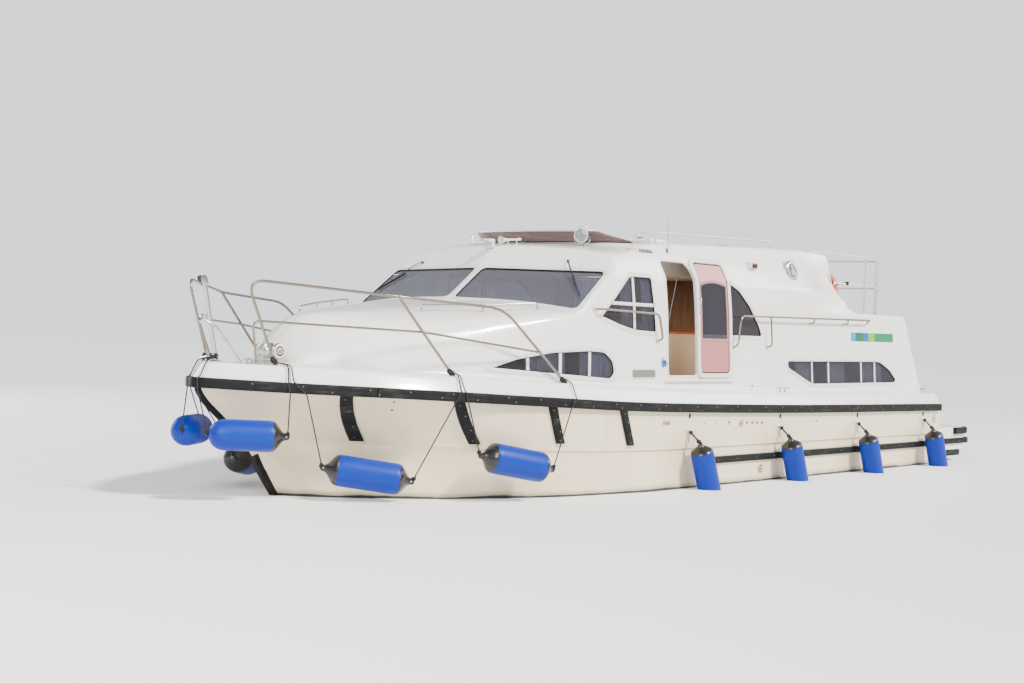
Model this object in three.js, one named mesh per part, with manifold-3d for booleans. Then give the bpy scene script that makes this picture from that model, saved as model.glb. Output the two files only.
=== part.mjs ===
// A river houseboat of the cruiser type, 13.3 m long, afloat: moulded hull and deck, flybridge,
// sliding side doors, rails, fenders, propeller, rudder and both steering positions.
// Millimetres, +X to the bow, +Y to port, +Z up; the origin is amidships on the waterline.
import * as THREE from "three";
import { mergeVertices } from "three/addons/utils/BufferGeometryUtils.js";
import Module from "manifold-3d";

const wasm = await Module();
wasm.setup();

// Driving dimensions
const gap = 0.3; // between pieces that touch
const noseX = 6600; // front of the hull at the sheer
const fullX = 1500; // the plan narrows forward of this
const halfBeam = 2000; // hull side at the sheer, without the strake
const planRound = 2.2; // how late the bow narrows
const planBlunt = 0.7; // how blunt its nose is
const hullWall = 15;
const deckWall = 14;
const strakeDeep = 100; // gunwale rubbing strake, height and how far it stands out
const strakeOut = 48;
const bandHigh = 150; // deck edge above the strake
const bandLean = 75;
const transomTopX = -5320;
const transomRake = 0.1875; // forward for each unit up
const platformAftX = -6650;
const knuckleZ = 2400; // the deck and flybridge mouldings meet here
const flySoleZ = 2450;
const aftRoofZ = 2105;
const screenAt = { x: 3120, z: 2040, fall: 0.74, sweep: 0.155 }; // windscreen planes, foot of the ridge
const doorway = { aftX: 700, foreX: 1300, sillZ: 1262, headZ: 2590 };
const door = { wide: 740, baseZ: 1236, topZ: 2640, standOff: 10, thick: 24, travel: 600, frame: 50 };
const railR = 14; // stainless rail tube
const shaft = { foreX: -2700, aftX: -4800, foreZ: -255, aftZ: -555, r: 20 };
const shaftBore = 20.8;
const propellerR = 220;
const rudderX = -5230;
const helm = { x: 2010, y: 820, z: 1500, r: 200 };
const flyHelm = { x: 300, y: 620, z: 2740, r: 170 };
const wheelTurns = 540; // degrees each way, lock to lock in three turns

// x, z of the strake's top edge
const sheerLine = [
  [-5320, 867],
  [-1180, 920],
  [1060, 967],
  [2200, 1000],
  [3550, 1061],
  [5170, 1133],
  [6000, 1161],
  [6600, 1185],
];
// x, z of the hull's lowest line, up the stem
const keelLine = [
  [-5700, -205],
  [-4500, -290],
  [-3600, -430],
  [-2500, -560],
  [0, -640],
  [3500, -600],
  [4600, -480],
  [5200, -280],
  [5580, 0],
  [5800, 286],
  [5870, 410],
  [6000, 560],
  [6300, 780],
  [6560, 1010],
  [6600, 1075],
];
// x, half-breadth at the waterline
const waterline = [
  [-5700, 1880],
  [-3000, 1930],
  [1620, 1930],
  [2570, 1810],
  [3120, 1700],
  [3790, 1450],
  [4370, 1150],
  [4730, 900],
  [5100, 580],
  [5440, 225],
  [5580, 10],
];
// x, half-breadth, z of the chine step
const chineLine = [
  [-5700, 1945, 440],
  [-3000, 1965, 460],
  [1500, 1965, 467],
  [2200, 1940, 477],
  [2750, 1890, 490],
  [3230, 1790, 502],
  [3750, 1650, 520],
  [4260, 1420, 538],
  [4760, 930, 552],
  [5040, 680, 556],
  [5320, 390, 558],
  [5600, 130, 560],
  [5800, 12, 560],
];
const stations = [
  -5700, -4500, -3000, -1500, 0, 1500, 2200, 2750, 3230, 3750, 4260, 4760, 5040, 5320, 5600, 5800,
  6000, 6160, 6300, 6420, 6510, 6560, 6585, 6597,
];

// Value in a column of a table whose first column rises, straight between its rows.
function along(rows, x, column = 1) {
  if (x <= rows[0][0]) return rows[0][column];
  for (let i = 1; i < rows.length; i++) {
    if (x > rows[i][0]) continue;
    const [a, b] = [rows[i - 1], rows[i]];
    return a[column] + ((b[column] - a[column]) * (x - a[0])) / (b[0] - a[0]);
  }
  return rows.at(-1)[column];
}

const sheerZ = (x) => along(sheerLine, x);

// Half-breadth of the hull at the sheer.
function planY(x) {
  if (x <= fullX) return halfBeam - Math.max(0, -x - 2500) * 0.012;
  const share = Math.min(1, (x - fullX) / (noseX - fullX));
  return halfBeam * (1 - share ** planRound) ** planBlunt;
}

// Solids and meshes
function solidOf(geometry) {
  const bare = geometry.index ? geometry.toNonIndexed() : geometry.clone();
  bare.deleteAttribute("normal");
  bare.deleteAttribute("uv");
  const merged = mergeVertices(bare, 1e-3);
  const mesh = new wasm.Mesh({
    numProp: 3,
    vertProperties: merged.attributes.position.array,
    triVerts: new Uint32Array(merged.index.array),
  });
  return new wasm.Manifold(mesh);
}

function geometryOf(solid) {
  const mesh = solid.getMesh();
  const geometry = new THREE.BufferGeometry();
  geometry.setAttribute("position", new THREE.BufferAttribute(mesh.vertProperties, 3));
  geometry.setIndex(new THREE.BufferAttribute(mesh.triVerts, 1));
  geometry.computeVertexNormals();
  return geometry;
}

// Closed solid through rings of [x, y, z] with equal counts, each end fanned from its middle.
function loft(rings) {
  const count = rings[0].length;
  const points = rings.flat();
  const faces = [];
  rings.slice(1).forEach((_, r) => {
    for (let i = 0; i < count; i++) {
      const j = (i + 1) % count;
      const [a, b] = [r * count, (r + 1) * count];
      faces.push(a + i, a + j, b + j, a + i, b + j, b + i);
    }
  });
  for (const [ring, first] of [
    [rings[0], 0],
    [rings.at(-1), (rings.length - 1) * count],
  ]) {
    const middle = points.length;
    points.push([0, 1, 2].map((k) => ring.reduce((sum, p) => sum + p[k], 0) / count));
    for (let i = 0; i < count; i++) {
      const j = (i + 1) % count;
      if (first === 0) faces.push(middle, first + j, first + i);
      else faces.push(middle, first + i, first + j);
    }
  }
  const geometry = new THREE.BufferGeometry();
  geometry.setAttribute("position", new THREE.Float32BufferAttribute(points.flat(), 3));
  geometry.setIndex(faces);
  return outward(geometry);
}

// Turns a closed surface's faces outwards.
function outward(geometry) {
  const p = geometry.attributes.position;
  const index = geometry.index.array;
  const corner = [0, 1, 2].map(() => new THREE.Vector3());
  let volume = 0;
  for (let i = 0; i < index.length; i += 3) {
    corner.forEach((c, k) => c.fromBufferAttribute(p, index[i + k]));
    volume += corner[0].dot(corner[1].clone().cross(corner[2]));
  }
  if (volume < 0)
    for (let i = 0; i < index.length; i += 3) [index[i], index[i + 1]] = [index[i + 1], index[i]];
  return geometry;
}

function lifted(solid, dx, dy, dz) {
  return solidOf(geometryOf(solid).translate(dx, dy, dz));
}

function block(x0, x1, y0, y1, z0, z1) {
  const box = new THREE.BoxGeometry(Math.abs(x1 - x0), Math.abs(y1 - y0), Math.abs(z1 - z0));
  return solidOf(box.translate((x0 + x1) / 2, (y0 + y1) / 2, (z0 + z1) / 2));
}

// An outline of [x, z] points carried across from y0 to y1.
function acrossY(outline, y0, y1) {
  return solidOf(loft([y0, y1].map((y) => outline.map(([x, z]) => [x, y, z]))));
}

// An outline of [y, z] points carried along from x0 to x1.
function alongX(outline, x0, x1) {
  return solidOf(loft([x0, x1].map((x) => outline.map(([y, z]) => [x, y, z]))));
}

// The same for outlines that aren't star-shaped, through a three.js extrusion.
function outlineX(outline, x0, x1) {
  const shape = new THREE.Shape(outline.map(([y, z]) => new THREE.Vector2(y, z)));
  const body = new THREE.ExtrudeGeometry(shape, { depth: x1 - x0, bevelEnabled: false });
  body.applyMatrix4(new THREE.Matrix4().set(0, 0, 1, x0, 1, 0, 0, 0, 0, 1, 0, 0, 0, 0, 0, 1));
  return solidOf(body);
}

function outlineY(outline, y0, y1) {
  const shape = new THREE.Shape(outline.map(([x, z]) => new THREE.Vector2(x, -z)));
  const body = new THREE.ExtrudeGeometry(shape, { depth: y1 - y0, bevelEnabled: false });
  body.applyMatrix4(new THREE.Matrix4().set(1, 0, 0, 0, 0, 0, 1, y0, 0, -1, 0, 0, 0, 0, 0, 1));
  return solidOf(body);
}

function outlineZ(outline, z0, z1) {
  const shape = new THREE.Shape(outline.map(([x, y]) => new THREE.Vector2(x, y)));
  const body = new THREE.ExtrudeGeometry(shape, { depth: z1 - z0, bevelEnabled: false });
  return solidOf(body.translate(0, 0, z0));
}

// Round bar between two points, its radius r0 at the first and r1 at the second.
function bar(from, to, r0, r1 = r0, sides = 12) {
  const a = new THREE.Vector3(...from);
  const b = new THREE.Vector3(...to);
  const body = new THREE.CylinderGeometry(r1, r0, a.distanceTo(b), sides);
  const turn = new THREE.Quaternion().setFromUnitVectors(
    new THREE.Vector3(0, 1, 0),
    b.clone().sub(a).normalize(),
  );
  body.applyQuaternion(turn);
  return solidOf(body.translate(...a.add(b).multiplyScalar(0.5).toArray()));
}

function ball(at, r, sides = 10) {
  return solidOf(new THREE.SphereGeometry(r, sides, sides / 2 + 1).translate(...at));
}

// A bent tube through points, with a round bend of radius `bend` at each corner.
function bentTube(points, r, bend = 110, sides = 6) {
  const at = points.map((p) => new THREE.Vector3(...p));
  const path = [at[0].clone()];
  for (let i = 1; i + 1 < at.length; i++) {
    const back = at[i - 1].clone().sub(at[i]);
    const on = at[i + 1].clone().sub(at[i]);
    const reach = Math.min(bend, back.length() * 0.45, on.length() * 0.45);
    const start = at[i].clone().addScaledVector(back.normalize(), reach);
    const end = at[i].clone().addScaledVector(on.normalize(), reach);
    const curve = new THREE.QuadraticBezierCurve3(start, at[i], end);
    path.push(...curve.getPoints(3));
  }
  path.push(at.at(-1).clone());
  return solidOf(tubeAlong(path, r, sides));
}

// A tube whose rings stand at the given points.
function tubeAlong(path, r, sides) {
  let side = new THREE.Vector3(0.31, 0.17, 0.93);
  const rings = path.map((p, i) => {
    const before = path[Math.max(0, i - 1)];
    const after = path[Math.min(path.length - 1, i + 1)];
    const ahead = after.clone().sub(before).normalize();
    side = side.clone().addScaledVector(ahead, -side.dot(ahead)).normalize();
    const up = ahead.clone().cross(side);
    return Array.from({ length: sides }, (_, k) => {
      const turn = (2 * Math.PI * k) / sides;
      return p
        .clone()
        .addScaledVector(side, r * Math.cos(turn))
        .addScaledVector(up, r * Math.sin(turn))
        .toArray();
    });
  });
  return loft(rings);
}

const join = (solids) => solids.reduce((whole, next) => whole.add(next));
const mirrorY = (points) => points.map(([x, y, z]) => [x, -y, z]);

const finishes = {
  gelcoat: { color: 0xf2f0ea, roughness: 0.25, metalness: 0 },
  hullCream: { color: 0xe6ddc6, roughness: 0.35, metalness: 0 },
  rubber: { color: 0x2a2c2f, roughness: 0.8, metalness: 0 },
  stainless: { color: 0xb8bbbd, roughness: 0.2, metalness: 1 },
  bronze: { color: 0xa87f3d, roughness: 0.4, metalness: 1 },
  glass: { color: 0x5d5f6b, roughness: 0.05, metalness: 0 },
  roseGlass: { color: 0x8d6a68, roughness: 0.08, metalness: 0 },
  fenderBlue: { color: 0x0b4fb0, roughness: 0.35, metalness: 0 },
  wood: { color: 0x8a5a36, roughness: 0.5, metalness: 0 },
  fabric: { color: 0xd8cfc0, roughness: 0.9, metalness: 0 },
  iron: { color: 0x4a5056, roughness: 0.6, metalness: 0.4 },
  orange: { color: 0xd8481c, roughness: 0.5, metalness: 0 },
  black: { color: 0x1a1b1d, roughness: 0.5, metalness: 0 },
};
const finishOf = (name) => new THREE.MeshStandardMaterial(finishes[name]);

const boat = new THREE.Group();
boat.name = "houseboat";

function addPiece(name, solid, finish) {
  const mesh = new THREE.Mesh(geometryOf(solid), finishOf(finish));
  mesh.name = name;
  boat.add(mesh);
}

// Hull
// Half section at x, from the keel to the sheer, grown outwards by `grow`.
function hullHalf(x, grow = 0) {
  const keelZ = along(keelLine, x);
  const topZ = sheerZ(x);
  const topY = planY(x);
  const [chineY, chineZ] = [along(chineLine, x), along(chineLine, x, 2)];
  const waterY = along(waterline, x);
  let half;
  if (keelZ < -1)
    half = [
      [0, keelZ],
      [waterY * 0.42, keelZ * 0.93],
      [waterY * 0.82, keelZ * 0.55],
      [waterY, 0],
      [chineY - 22, chineZ - 14],
      [chineY, chineZ],
    ];
  else if (keelZ < chineZ - 1)
    half = [0, 0.25, 0.5, 0.75, 0.95, 1].map((t) => [chineY * t, keelZ + (chineZ - keelZ) * t]);
  else
    half = [0, 0.06, 0.12, 0.18, 0.24, 0.3].map((t) => [topY * t, keelZ + (topZ - keelZ) * t * 0.9]);
  half.push([topY, topZ - strakeDeep * 0.99], [topY, topZ]);
  return half.map(([y, z]) => [y > 0 ? Math.max(y + grow, 2) : 0, z - (z < 400 ? grow : 0)]);
}

function ringOf(x, half) {
  return [...half.map(([y, z]) => [x, y, z]), ...half.slice(1).reverse().map(([y, z]) => [x, -y, z])];
}

// What lies behind the sloping transom, moved forward by `ahead`.
function behindTransom(ahead = 0) {
  const x = (z) => transomTopX + (z - 867) * transomRake + ahead;
  return acrossY([[x(3400), 3400], [x(-1400), -1400], [-8000, -1400], [-8000, 3400]], -3000, 3000);
}

function hullBlock(grow = 0) {
  const rings = stations.map((x) => ringOf(x, hullHalf(x, grow)));
  return solidOf(loft(rings)).subtract(behindTransom(-grow));
}

// Inside of the hull, `wall` in from its skin and open at the top.
function hullInside(wall) {
  const rings = stations
    .filter((x) => x < 6400)
    .map((x) => {
      const half = hullHalf(x).map(([y, z], i) => [
        i ? Math.max(y - wall * (1 + 1.4 * Math.max(0, x - 3500) / 2900), 1 + i * 0.3) : 0,
        i > 6 ? z + 60 : z + (z < 440 || x > 5500 ? wall * (1 + Math.max(0, x - 5000) / 900) : 0),
      ]);
      return ringOf(x, half);
    });
  return solidOf(loft(rings)).subtract(behindTransom(wall));
}

const keel = { half: 55, foreX: 4500, riseX: 3700, aftX: -4350, bottomZ: -800 };
const shaftTilt = (shaft.foreZ - shaft.aftZ) / (shaft.foreX - shaft.aftX);
const shaftZ = (x) => shaft.aftZ + (x - shaft.aftX) * shaftTilt;

function keelBlock(grow = 0) {
  const outline = [
    [keel.foreX + grow, -430],
    [keel.riseX + grow, keel.bottomZ - grow],
    [keel.aftX - grow, keel.bottomZ - grow],
    [keel.aftX - grow, -250],
    [0, -250],
  ];
  return outlineY(outline, -keel.half - grow, keel.half + grow);
}

const engine = { foreX: -1650, aftX: -2650, half: 300, bottomZ: -330, topZ: 330 };

function engineBeds() {
  return join(
    [-1, 1].map((side) =>
      block(engine.aftX - 250, engine.foreX + 250, side * 170, side * 250, -620, engine.bottomZ - gap),
    ),
  );
}

const hullSkin = hullBlock();
const hullNear = join([hullBlock(gap), ...[[1, 0], [0, 1], [1, -1]].map(([dx, dz]) =>
  lifted(hullSkin, dx * gap, 0, dz * gap))]);
const hullHollow = hullInside(hullWall);
const insideFit = hullInside(hullWall + 0.5);

function makeHull() {
  const bore = bar([-3300, 0, shaftZ(-3300)], [-4500, 0, shaftZ(-4500)], shaftBore, shaftBore, 24);
  const stockHole = bar([rudderX, 0, -500], [rudderX, 0, 60], 22.8, 22.8, 24);
  return hullSkin
    .add(keelBlock())
    .subtract(hullHollow)
    .add(engineBeds().intersect(hullBlock(-4)))
    .add(bar([rudderX, 0, -232], [rudderX, 0, 40], 50, 50, 16))
    .subtract(bore)
    .subtract(stockHole);
}

addPiece("hull", makeHull(), "hullCream");

// Band down the stem and along the keel, whose aft end carries the rudder's heel
const band = { deep: 22, half: 40, aftX: -5300 };

function makeKeelBand() {
  const line = [[5872, 410], [5800, 286], [5580, 0], [5200, -280], [4600, -480], [4330, -545],
    [keel.riseX, keel.bottomZ], [band.aftX, keel.bottomZ]];
  const outer = line.map(([x, z], i) => (i < 5 ? [x + band.deep, z - 12] : [x + (i < 7 ? 14 : 0), z - band.deep]));
  const inner = line.map(([x, z], i) => (i < 5 ? [x - 30, z + 16] : [x, i < 7 ? z + 22 : z - gap]));
  inner[6][1] = keel.bottomZ + 12;
  const strip = outlineY([...outer, ...inner.reverse()], -band.half, band.half);
  const heelHole = bar([rudderX, 0, keel.bottomZ - 60], [rudderX, 0, keel.bottomZ + 20], 14.8, 14.8, 24);
  const behindKeel = block(-6000, keel.aftX + 1, -200, 200, keel.bottomZ - gap, 0);
  return strip.subtract(hullNear).subtract(keelBlock(gap)).subtract(behindKeel).subtract(heelHole);
}

addPiece("keel_band", makeKeelBand(), "iron");

// Rubbing strakes: bands on the hull's skin, cut to it
// Sides of the hull's plan at the shared stations, from the transom round the bow and back.
function planPath(aftX, foreX = noseX) {
  const xs = [aftX, ...stations.filter((x) => x > aftX && x < foreX)];
  if (foreX < noseX) xs.push(foreX);
  return xs;
}

function outwardAt(x) {
  const step = 2;
  const slope = (planY(Math.min(x + step, noseX - 0.5)) - planY(x - step)) / (2 * step);
  return new THREE.Vector2(-slope, 1).normalize();
}

function strakeRings(xs, side, inset, out, z0, z1) {
  return xs.map((x) => {
    const away = outwardAt(x);
    const at = (d, z) => [x + away.x * d, side * (planY(x) + away.y * d), z];
    const chamfer = (z1(x) - z0(x)) * 0.18;
    return [
      at(inset, z0(x)),
      at(out * 0.8, z0(x)),
      at(out, z0(x) + chamfer),
      at(out, z1(x) - chamfer),
      at(out * 0.8, z1(x)),
      at(inset, z1(x)),
    ];
  });
}

// Tops and feet along x of the upright strips on the bow.
const stripTable = [
  { topX: 5530, footX: 5060 },
  { topX: 4520, footX: 4210 },
  { topX: 3450, footX: 3260 },
  { topX: 2420, footX: 2230 },
];
const stripWide = 100;
const stripOut = 34;

// A point on the topside, `share` of the way down from the strake to the chine.
function topside(x, share) {
  const half = hullHalf(x);
  const [a, b] = [half[6], half[5]];
  return [a[0] + (b[0] - a[0]) * share, a[1] + (b[1] - a[1]) * share];
}

function bowStrip({ topX, footX }, side) {
  const rings = [-0.08, 0, 0.3, 0.6, 0.93].map((share) => {
    const midX = topX + (footX - topX) * share;
    const edge = (x, out) => {
      const [y, z] = topside(x, Math.max(share, 0));
      const away = outwardAt(x);
      const up = share < 0 ? 40 : 0;
      return [x + away.x * out, side * (y + away.y * out), z + up];
    };
    const [x0, x1] = [midX - stripWide / 2, midX + stripWide / 2];
    return [edge(x0, -30), edge(x0, stripOut * 0.7), edge(x0 + 15, stripOut), edge(x1 - 15, stripOut),
      edge(x1, stripOut * 0.7), edge(x1, -30)];
  });
  return solidOf(loft(rings));
}

// The black strip down the upper stem, under the strake.
function stemStrip(points, half) {
  const rings = points.map(([x, z]) => [[x - 60, -half, z], [x + 22, -half, z], [x + 30, 0, z],
    [x + 22, half, z], [x - 60, half, z]]);
  return solidOf(loft(rings));
}

function makeStrake() {
  const bottom = (x) => sheerZ(x) - strakeDeep;
  const sides = planPath(transomTopX + 15);
  const ring = [
    ...strakeRings(sides, 1, -20, strakeOut, bottom, sheerZ),
    ...strakeRings(sides.toReversed(), -1, -20, strakeOut, bottom, sheerZ),
  ];
  const strips = stripTable.flatMap((row) => [bowStrip(row, 1), bowStrip(row, -1)]);
  const stem = stemStrip([[6595, 1100], [6565, 1010], [6300, 780], [6075, 612]], 26);
  const noseTip = block(6560, 6597.4, -62, 62, 1060, 1110);
  return join([solidOf(loft(ring)), ...strips, stem]).subtract(hullNear).subtract(noseTip);
}

// x, half-breadth of the hull's side at the lower strake's height
const lowSide = (x, z) => {
  const half = hullHalf(x);
  const t = z / (half[4][1] - half[3][1]);
  return half[3][0] + (half[4][0] - half[3][0]) * t;
};

const lowStrake = { z0: 262, z1: 342, foreX: 620 };

function lowStrakeSide(side) {
  const xs = [-5480, -4500, -3000, -1500, 0, lowStrake.foreX];
  const { z0, z1 } = lowStrake;
  const rings = xs.map((x) => {
    const y = (d, z) => side * (lowSide(x, z) + d);
    return [[x, y(-15, z0), z0], [x, y(30, z0 + 8), z0 + 8], [x, y(38, z0 + 30), z0 + 30],
      [x, y(38, z1 - 20), z1 - 20], [x, y(30, z1), z1], [x, y(-15, z1), z1]];
  });
  return solidOf(loft(rings));
}

// Swim platform
const platform = { half: 1850, topZ: 505, baseZ: 170, corner: 260 };

function platformPlan(out = 0, inset = 0) {
  const y = platform.half + out;
  const aft = platformAftX + strakeOut - out;
  return [[-5200 - inset, y], [aft + platform.corner, y], [aft + 75, y - 75], [aft, y - platform.corner],
    [aft, -y + platform.corner], [aft + 75, -y + 75], [aft + platform.corner, -y], [-5200 - inset, -y]];
}

function makePlatform() {
  const whole = outlineZ(platformPlan(), platform.baseZ, platform.topZ);
  const under = outlineZ(platformPlan(-30), platform.baseZ - 50, platform.topZ - 40);
  return whole.subtract(under).subtract(hullNear);
}

// The lower strake runs along both sides and round the platform.
function makeLowStrake() {
  const { z0, z1 } = lowStrake;
  const round = outlineZ(platformPlan(strakeOut), z0, z1).subtract(block(-5300, -4000, -3000, 3000, 0, 600));
  const corners = sides.map(([, side]) =>
    block(-5470, -5560, side * (platform.half + 2), side * 1985, z0 + 8, z1));
  return join([round, ...corners, lowStrakeSide(1), lowStrakeSide(-1)])
    .subtract(outlineZ(platformPlan(gap), 0, 900))
    .subtract(hullNear);
}

const sides = [["port", 1], ["starboard", -1]];
addPiece("swim_platform", makePlatform(), "gelcoat");
addPiece("lower_strake", makeLowStrake(), "rubber");

// Deck, coachroof and cabin sides
// x, foot half-breadth, shoulder half-breadth and z, crown z of the coachroof
const coachTable = [
  [2300, 1778, 1722, 1930, 2075],
  [2900, 1725, 1690, 1925, 2062],
  [3600, 1555, 1440, 1850, 1992],
  [4300, 1290, 1110, 1790, 1925],
  [4800, 1030, 820, 1730, 1875],
  [5100, 830, 620, 1680, 1828],
  [5330, 640, 440, 1610, 1755],
  [5500, 450, 290, 1500, 1640],
  [5610, 260, 160, 1385, 1470],
  [5660, 150, 90, 1345, 1365],
];
// y, z of the cabin side's outer section, from deck to coaming
const sideSection = [
  [1790, 900],
  [1752, 1400],
  [1716, 2000],
  [1672, 2370],
  [1545, 2620],
  [1425, 2800],
  [1330, 3000],
];
// x, z of the cabin's side profile, from the foot of the aft wall up and forward
const houseProfile = [
  [-5090, 1040],
  [-4870, 1555],
  [-4835, 1562],
  [-4640, 2070],
  [-4600, aftRoofZ],
  [-3740, aftRoofZ + 5],
  [-3460, 2165],
  [-3240, 2320],
  [-3080, 2480],
  [-3005, 2640],
  [-2985, 2885],
  [-2100, 2900],
  [-1000, 2868],
  [-300, 2845],
  [700, 2808],
  [1500, 2775],
  [1640, 2725],
  [2000, 2690],
  [2300, 2650],
  [2480, 2590],
  [2620, 2480],
  [3400, 2300],
];

// z of a windscreen plane at x and y, moved down its normal by `inset`.
const screenDrop = Math.hypot(1, screenAt.fall, screenAt.sweep);
function screenZ(x, y, inset = 0) {
  const { x: x0, z: z0, fall, sweep } = screenAt;
  return z0 - fall * (x - x0) - sweep * Math.abs(y) - inset * screenDrop;
}

// The space above one windscreen plane.
function aboveScreen(side, inset) {
  const rings = [0, 3000].map((y) => [
    [1500, side * y, screenZ(1500, y, inset)],
    [4600, side * y, screenZ(4600, y, inset)],
    [4600, side * y, 6000],
    [1500, side * y, 6000],
  ]);
  rings[0].forEach((p) => (p[1] -= side * 0.01));
  return solidOf(loft(rings));
}

const mirrored = (half) => [...half, ...half.map(([y, z]) => [-y, z]).reverse()];

function houseBlock(inset) {
  const side = alongX(mirrored(sideSection.map(([y, z]) => [y - inset, z])), -6000, 3400);
  const foot = inset > 0
    ? [[3400, 700], [-5100 + inset, 700]]
    : inset < 0
    ? [[3400, 700], [-5110 + inset, 700], [-5110 + inset, 1025]]
    : [3400, 2200, 1060, -1180, -5110].map((x) => [x, sheerZ(x) + bandHigh - 30]);
  const profile = [...houseProfile.map(([x, z], i) => [x + (x < -2980 ? inset : 0), z - inset * (i > 2)]), ...foot];
  const plan = [[-7000, 2500], [2250, 2500], [2300, 1785 - inset], [2950, 1695 - inset], [3400, 1480 - inset]];
  return side
    .intersect(outlineY(profile, -2500, 2500))
    .intersect(outlineZ(mirrored(plan.map(([x, y]) => [y, x])).map(([y, x]) => [x, y]), 0, 4000))
    .subtract(aboveScreen(1, inset))
    .subtract(aboveScreen(-1, inset));
}

function coachBlock(inset) {
  const rings = coachTable.map(([x, footY, shoulderY, shoulderZ, crownZ], i) => {
    const foot = sheerZ(x) + 60;
    const half = [[footY - inset, foot], [(footY * 2 + shoulderY) / 3 - inset, (foot + shoulderZ * 2) / 3],
      [shoulderY - inset * 0.7, shoulderZ - inset * 0.5],
      [shoulderY * 0.78, shoulderZ + (crownZ - shoulderZ) * 0.55 - inset], [0, crownZ - inset]];
    const shift = i > 6 ? -inset : 0;
    return [...half, ...half.slice(0, -1).reverse().map(([y, z]) => [-y, z])].map(([y, z]) => [x + shift, y, z]);
  });
  return solidOf(loft(rings));
}

function deckBlock(inset) {
  const rings = stations
    .map((x) => {
      const y = Math.max(planY(x) - 3, 10);
      const back = 90 * Math.max(0, (x - fullX) / (noseX - fullX)) ** 4;
      const lean = Math.min(bandLean, y * 0.6);
      const half = [
        [x, y - inset * 1.6, sheerZ(x) + (inset ? -30 : gap)],
        [x - back, y - lean - inset * 1.6, sheerZ(x) + bandHigh - inset],
        [x - back, y * 0.5, sheerZ(x) + bandHigh + 16 - inset],
      ].map(([px, py, pz]) => [px, Math.max(py, 4), pz]);
      return [...half, ...mirrorY(half).reverse()];
    })
    .filter((ring) => !inset || ring[0][0] < 6450);
  return solidOf(loft(rings)).subtract(behindTransom(inset));
}

const slab = (z0, z1) => block(-9000, 9000, -4000, 4000, z0, z1);

const skin = 25; // cabin and flybridge walls, with their liners

// The open well of the flybridge, from its console back over the aft cabin's top, `grow` wider and deeper.
function flyWell(grow = 0) {
  const half = 1225 + grow;
  return block(-3050 - grow, 900 + grow, -half, half, flySoleZ - grow, 4000)
    .add(block(-5200, -3049 + grow, -half, half, aftRoofZ + 1 - grow, 4000));
}

// The inside of the cabins and of the flybridge's coamings, `wall` in from the outer form.
const cabinInside = (wall) => houseBlock(wall).subtract(flyWell(wall));

// Windows as [x, z] outlines on the cabin sides
const windowOutlines = {
  quarter: [[2000, 2385], [1570, 2385], [1510, 1745], [1930, 1760], [2230, 1815], [2560, 1905]],
  lower: [[4060, 1330], [3700, 1450], [3260, 1530], [2760, 1556], [2500, 1545], [2350, 1440], [2320, 1300],
    [2400, 1225], [3200, 1275]],
  aftQuarter: [[640, 2250], [560, 2340], [400, 2385], [-60, 2385], [-260, 2310], [-480, 2130],
    [-700, 1870], [-745, 1770], [-715, 1735], [640, 1735]],
  aft: [[-1500, 1440], [-1700, 1466], [-3830, 1470], [-4180, 1330], [-4330, 1200], [-4290, 1160],
    [-2130, 1146], [-1960, 1165], [-1560, 1370]],
};
const coachWindows = ["lower"];

// Half-breadth of the surface that a window lies in.
function wallY(name, x, z) {
  if (coachWindows.includes(name)) {
    const footY = along(coachTable, x, 1);
    const shoulderY = along(coachTable, x, 2);
    const shoulderZ = along(coachTable, x, 3);
    const foot = sheerZ(x) + 60;
    const knee = [(footY * 2 + shoulderY) / 3, (foot + shoulderZ * 2) / 3];
    return along([[foot, footY], [knee[1], knee[0]], [shoulderZ, shoulderY]], z);
  }
  return along(sideSection.map(([y, zz]) => [zz, y]), z);
}

// A plate on a wall between two depths in from its face.
function wallPlate(name, side, d0, d1, shrink = 0) {
  const outline = windowOutlines[name];
  const cx = outline.reduce((s, p) => s + p[0], 0) / outline.length;
  const cz = outline.reduce((s, p) => s + p[1], 0) / outline.length;
  const pulled = outline.map(([x, z]) => {
    const reach = Math.hypot(x - cx, z - cz);
    return [x - ((x - cx) / reach) * shrink, z - ((z - cz) / reach) * shrink];
  });
  const rings = [d0, d1].map((d) => pulled.map(([x, z]) => [x, side * (wallY(name, x, z) - d), z]));
  return solidOf(loft(rings));
}

// Corners of the port windscreen pane as [x, y].
const paneCorners = [[3075, 48], [2865, 1625], [2310, 1578], [2600, 48]];

function screenPlate(side, above, below, shrink = 0) {
  const cx = 2710;
  const cy = 800;
  const pulled = paneCorners.map(([x, y]) => [x + Math.sign(cx - x) * shrink, y + Math.sign(cy - y) * shrink]);
  const rings = [above, below].map((d) =>
    pulled.map(([x, y]) => [x + (d * screenAt.fall) / screenDrop, side * (y + (d * screenAt.sweep) / screenDrop),
      screenZ(x, y) + d / screenDrop]),
  );
  return solidOf(loft(rings));
}

function doorCut(side) {
  const { aftX, foreX, sillZ, headZ } = doorway;
  const outline = [[aftX, sillZ], [foreX, sillZ], [foreX, headZ - 40], [foreX - 40, headZ], [aftX + 90, headZ],
    [aftX, headZ - 90]];
  return acrossY(outline, side * 1300, side * 2200);
}

const outerShell = deckBlock(0).add(houseBlock(0)).add(coachBlock(0)).subtract(flyWell());
const innerVoid = deckBlock(deckWall).add(cabinInside(skin)).add(coachBlock(deckWall));
const openings = join([
  ...sides.flatMap(([, side]) => Object.keys(windowOutlines).map((name) => wallPlate(name, side, -90, 160))),
  ...sides.map(([, side]) => screenPlate(side, 90, -130)),
  ...sides.map(([, side]) => doorCut(side)),
]);
const shell = outerShell.subtract(innerVoid).subtract(openings);

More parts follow.
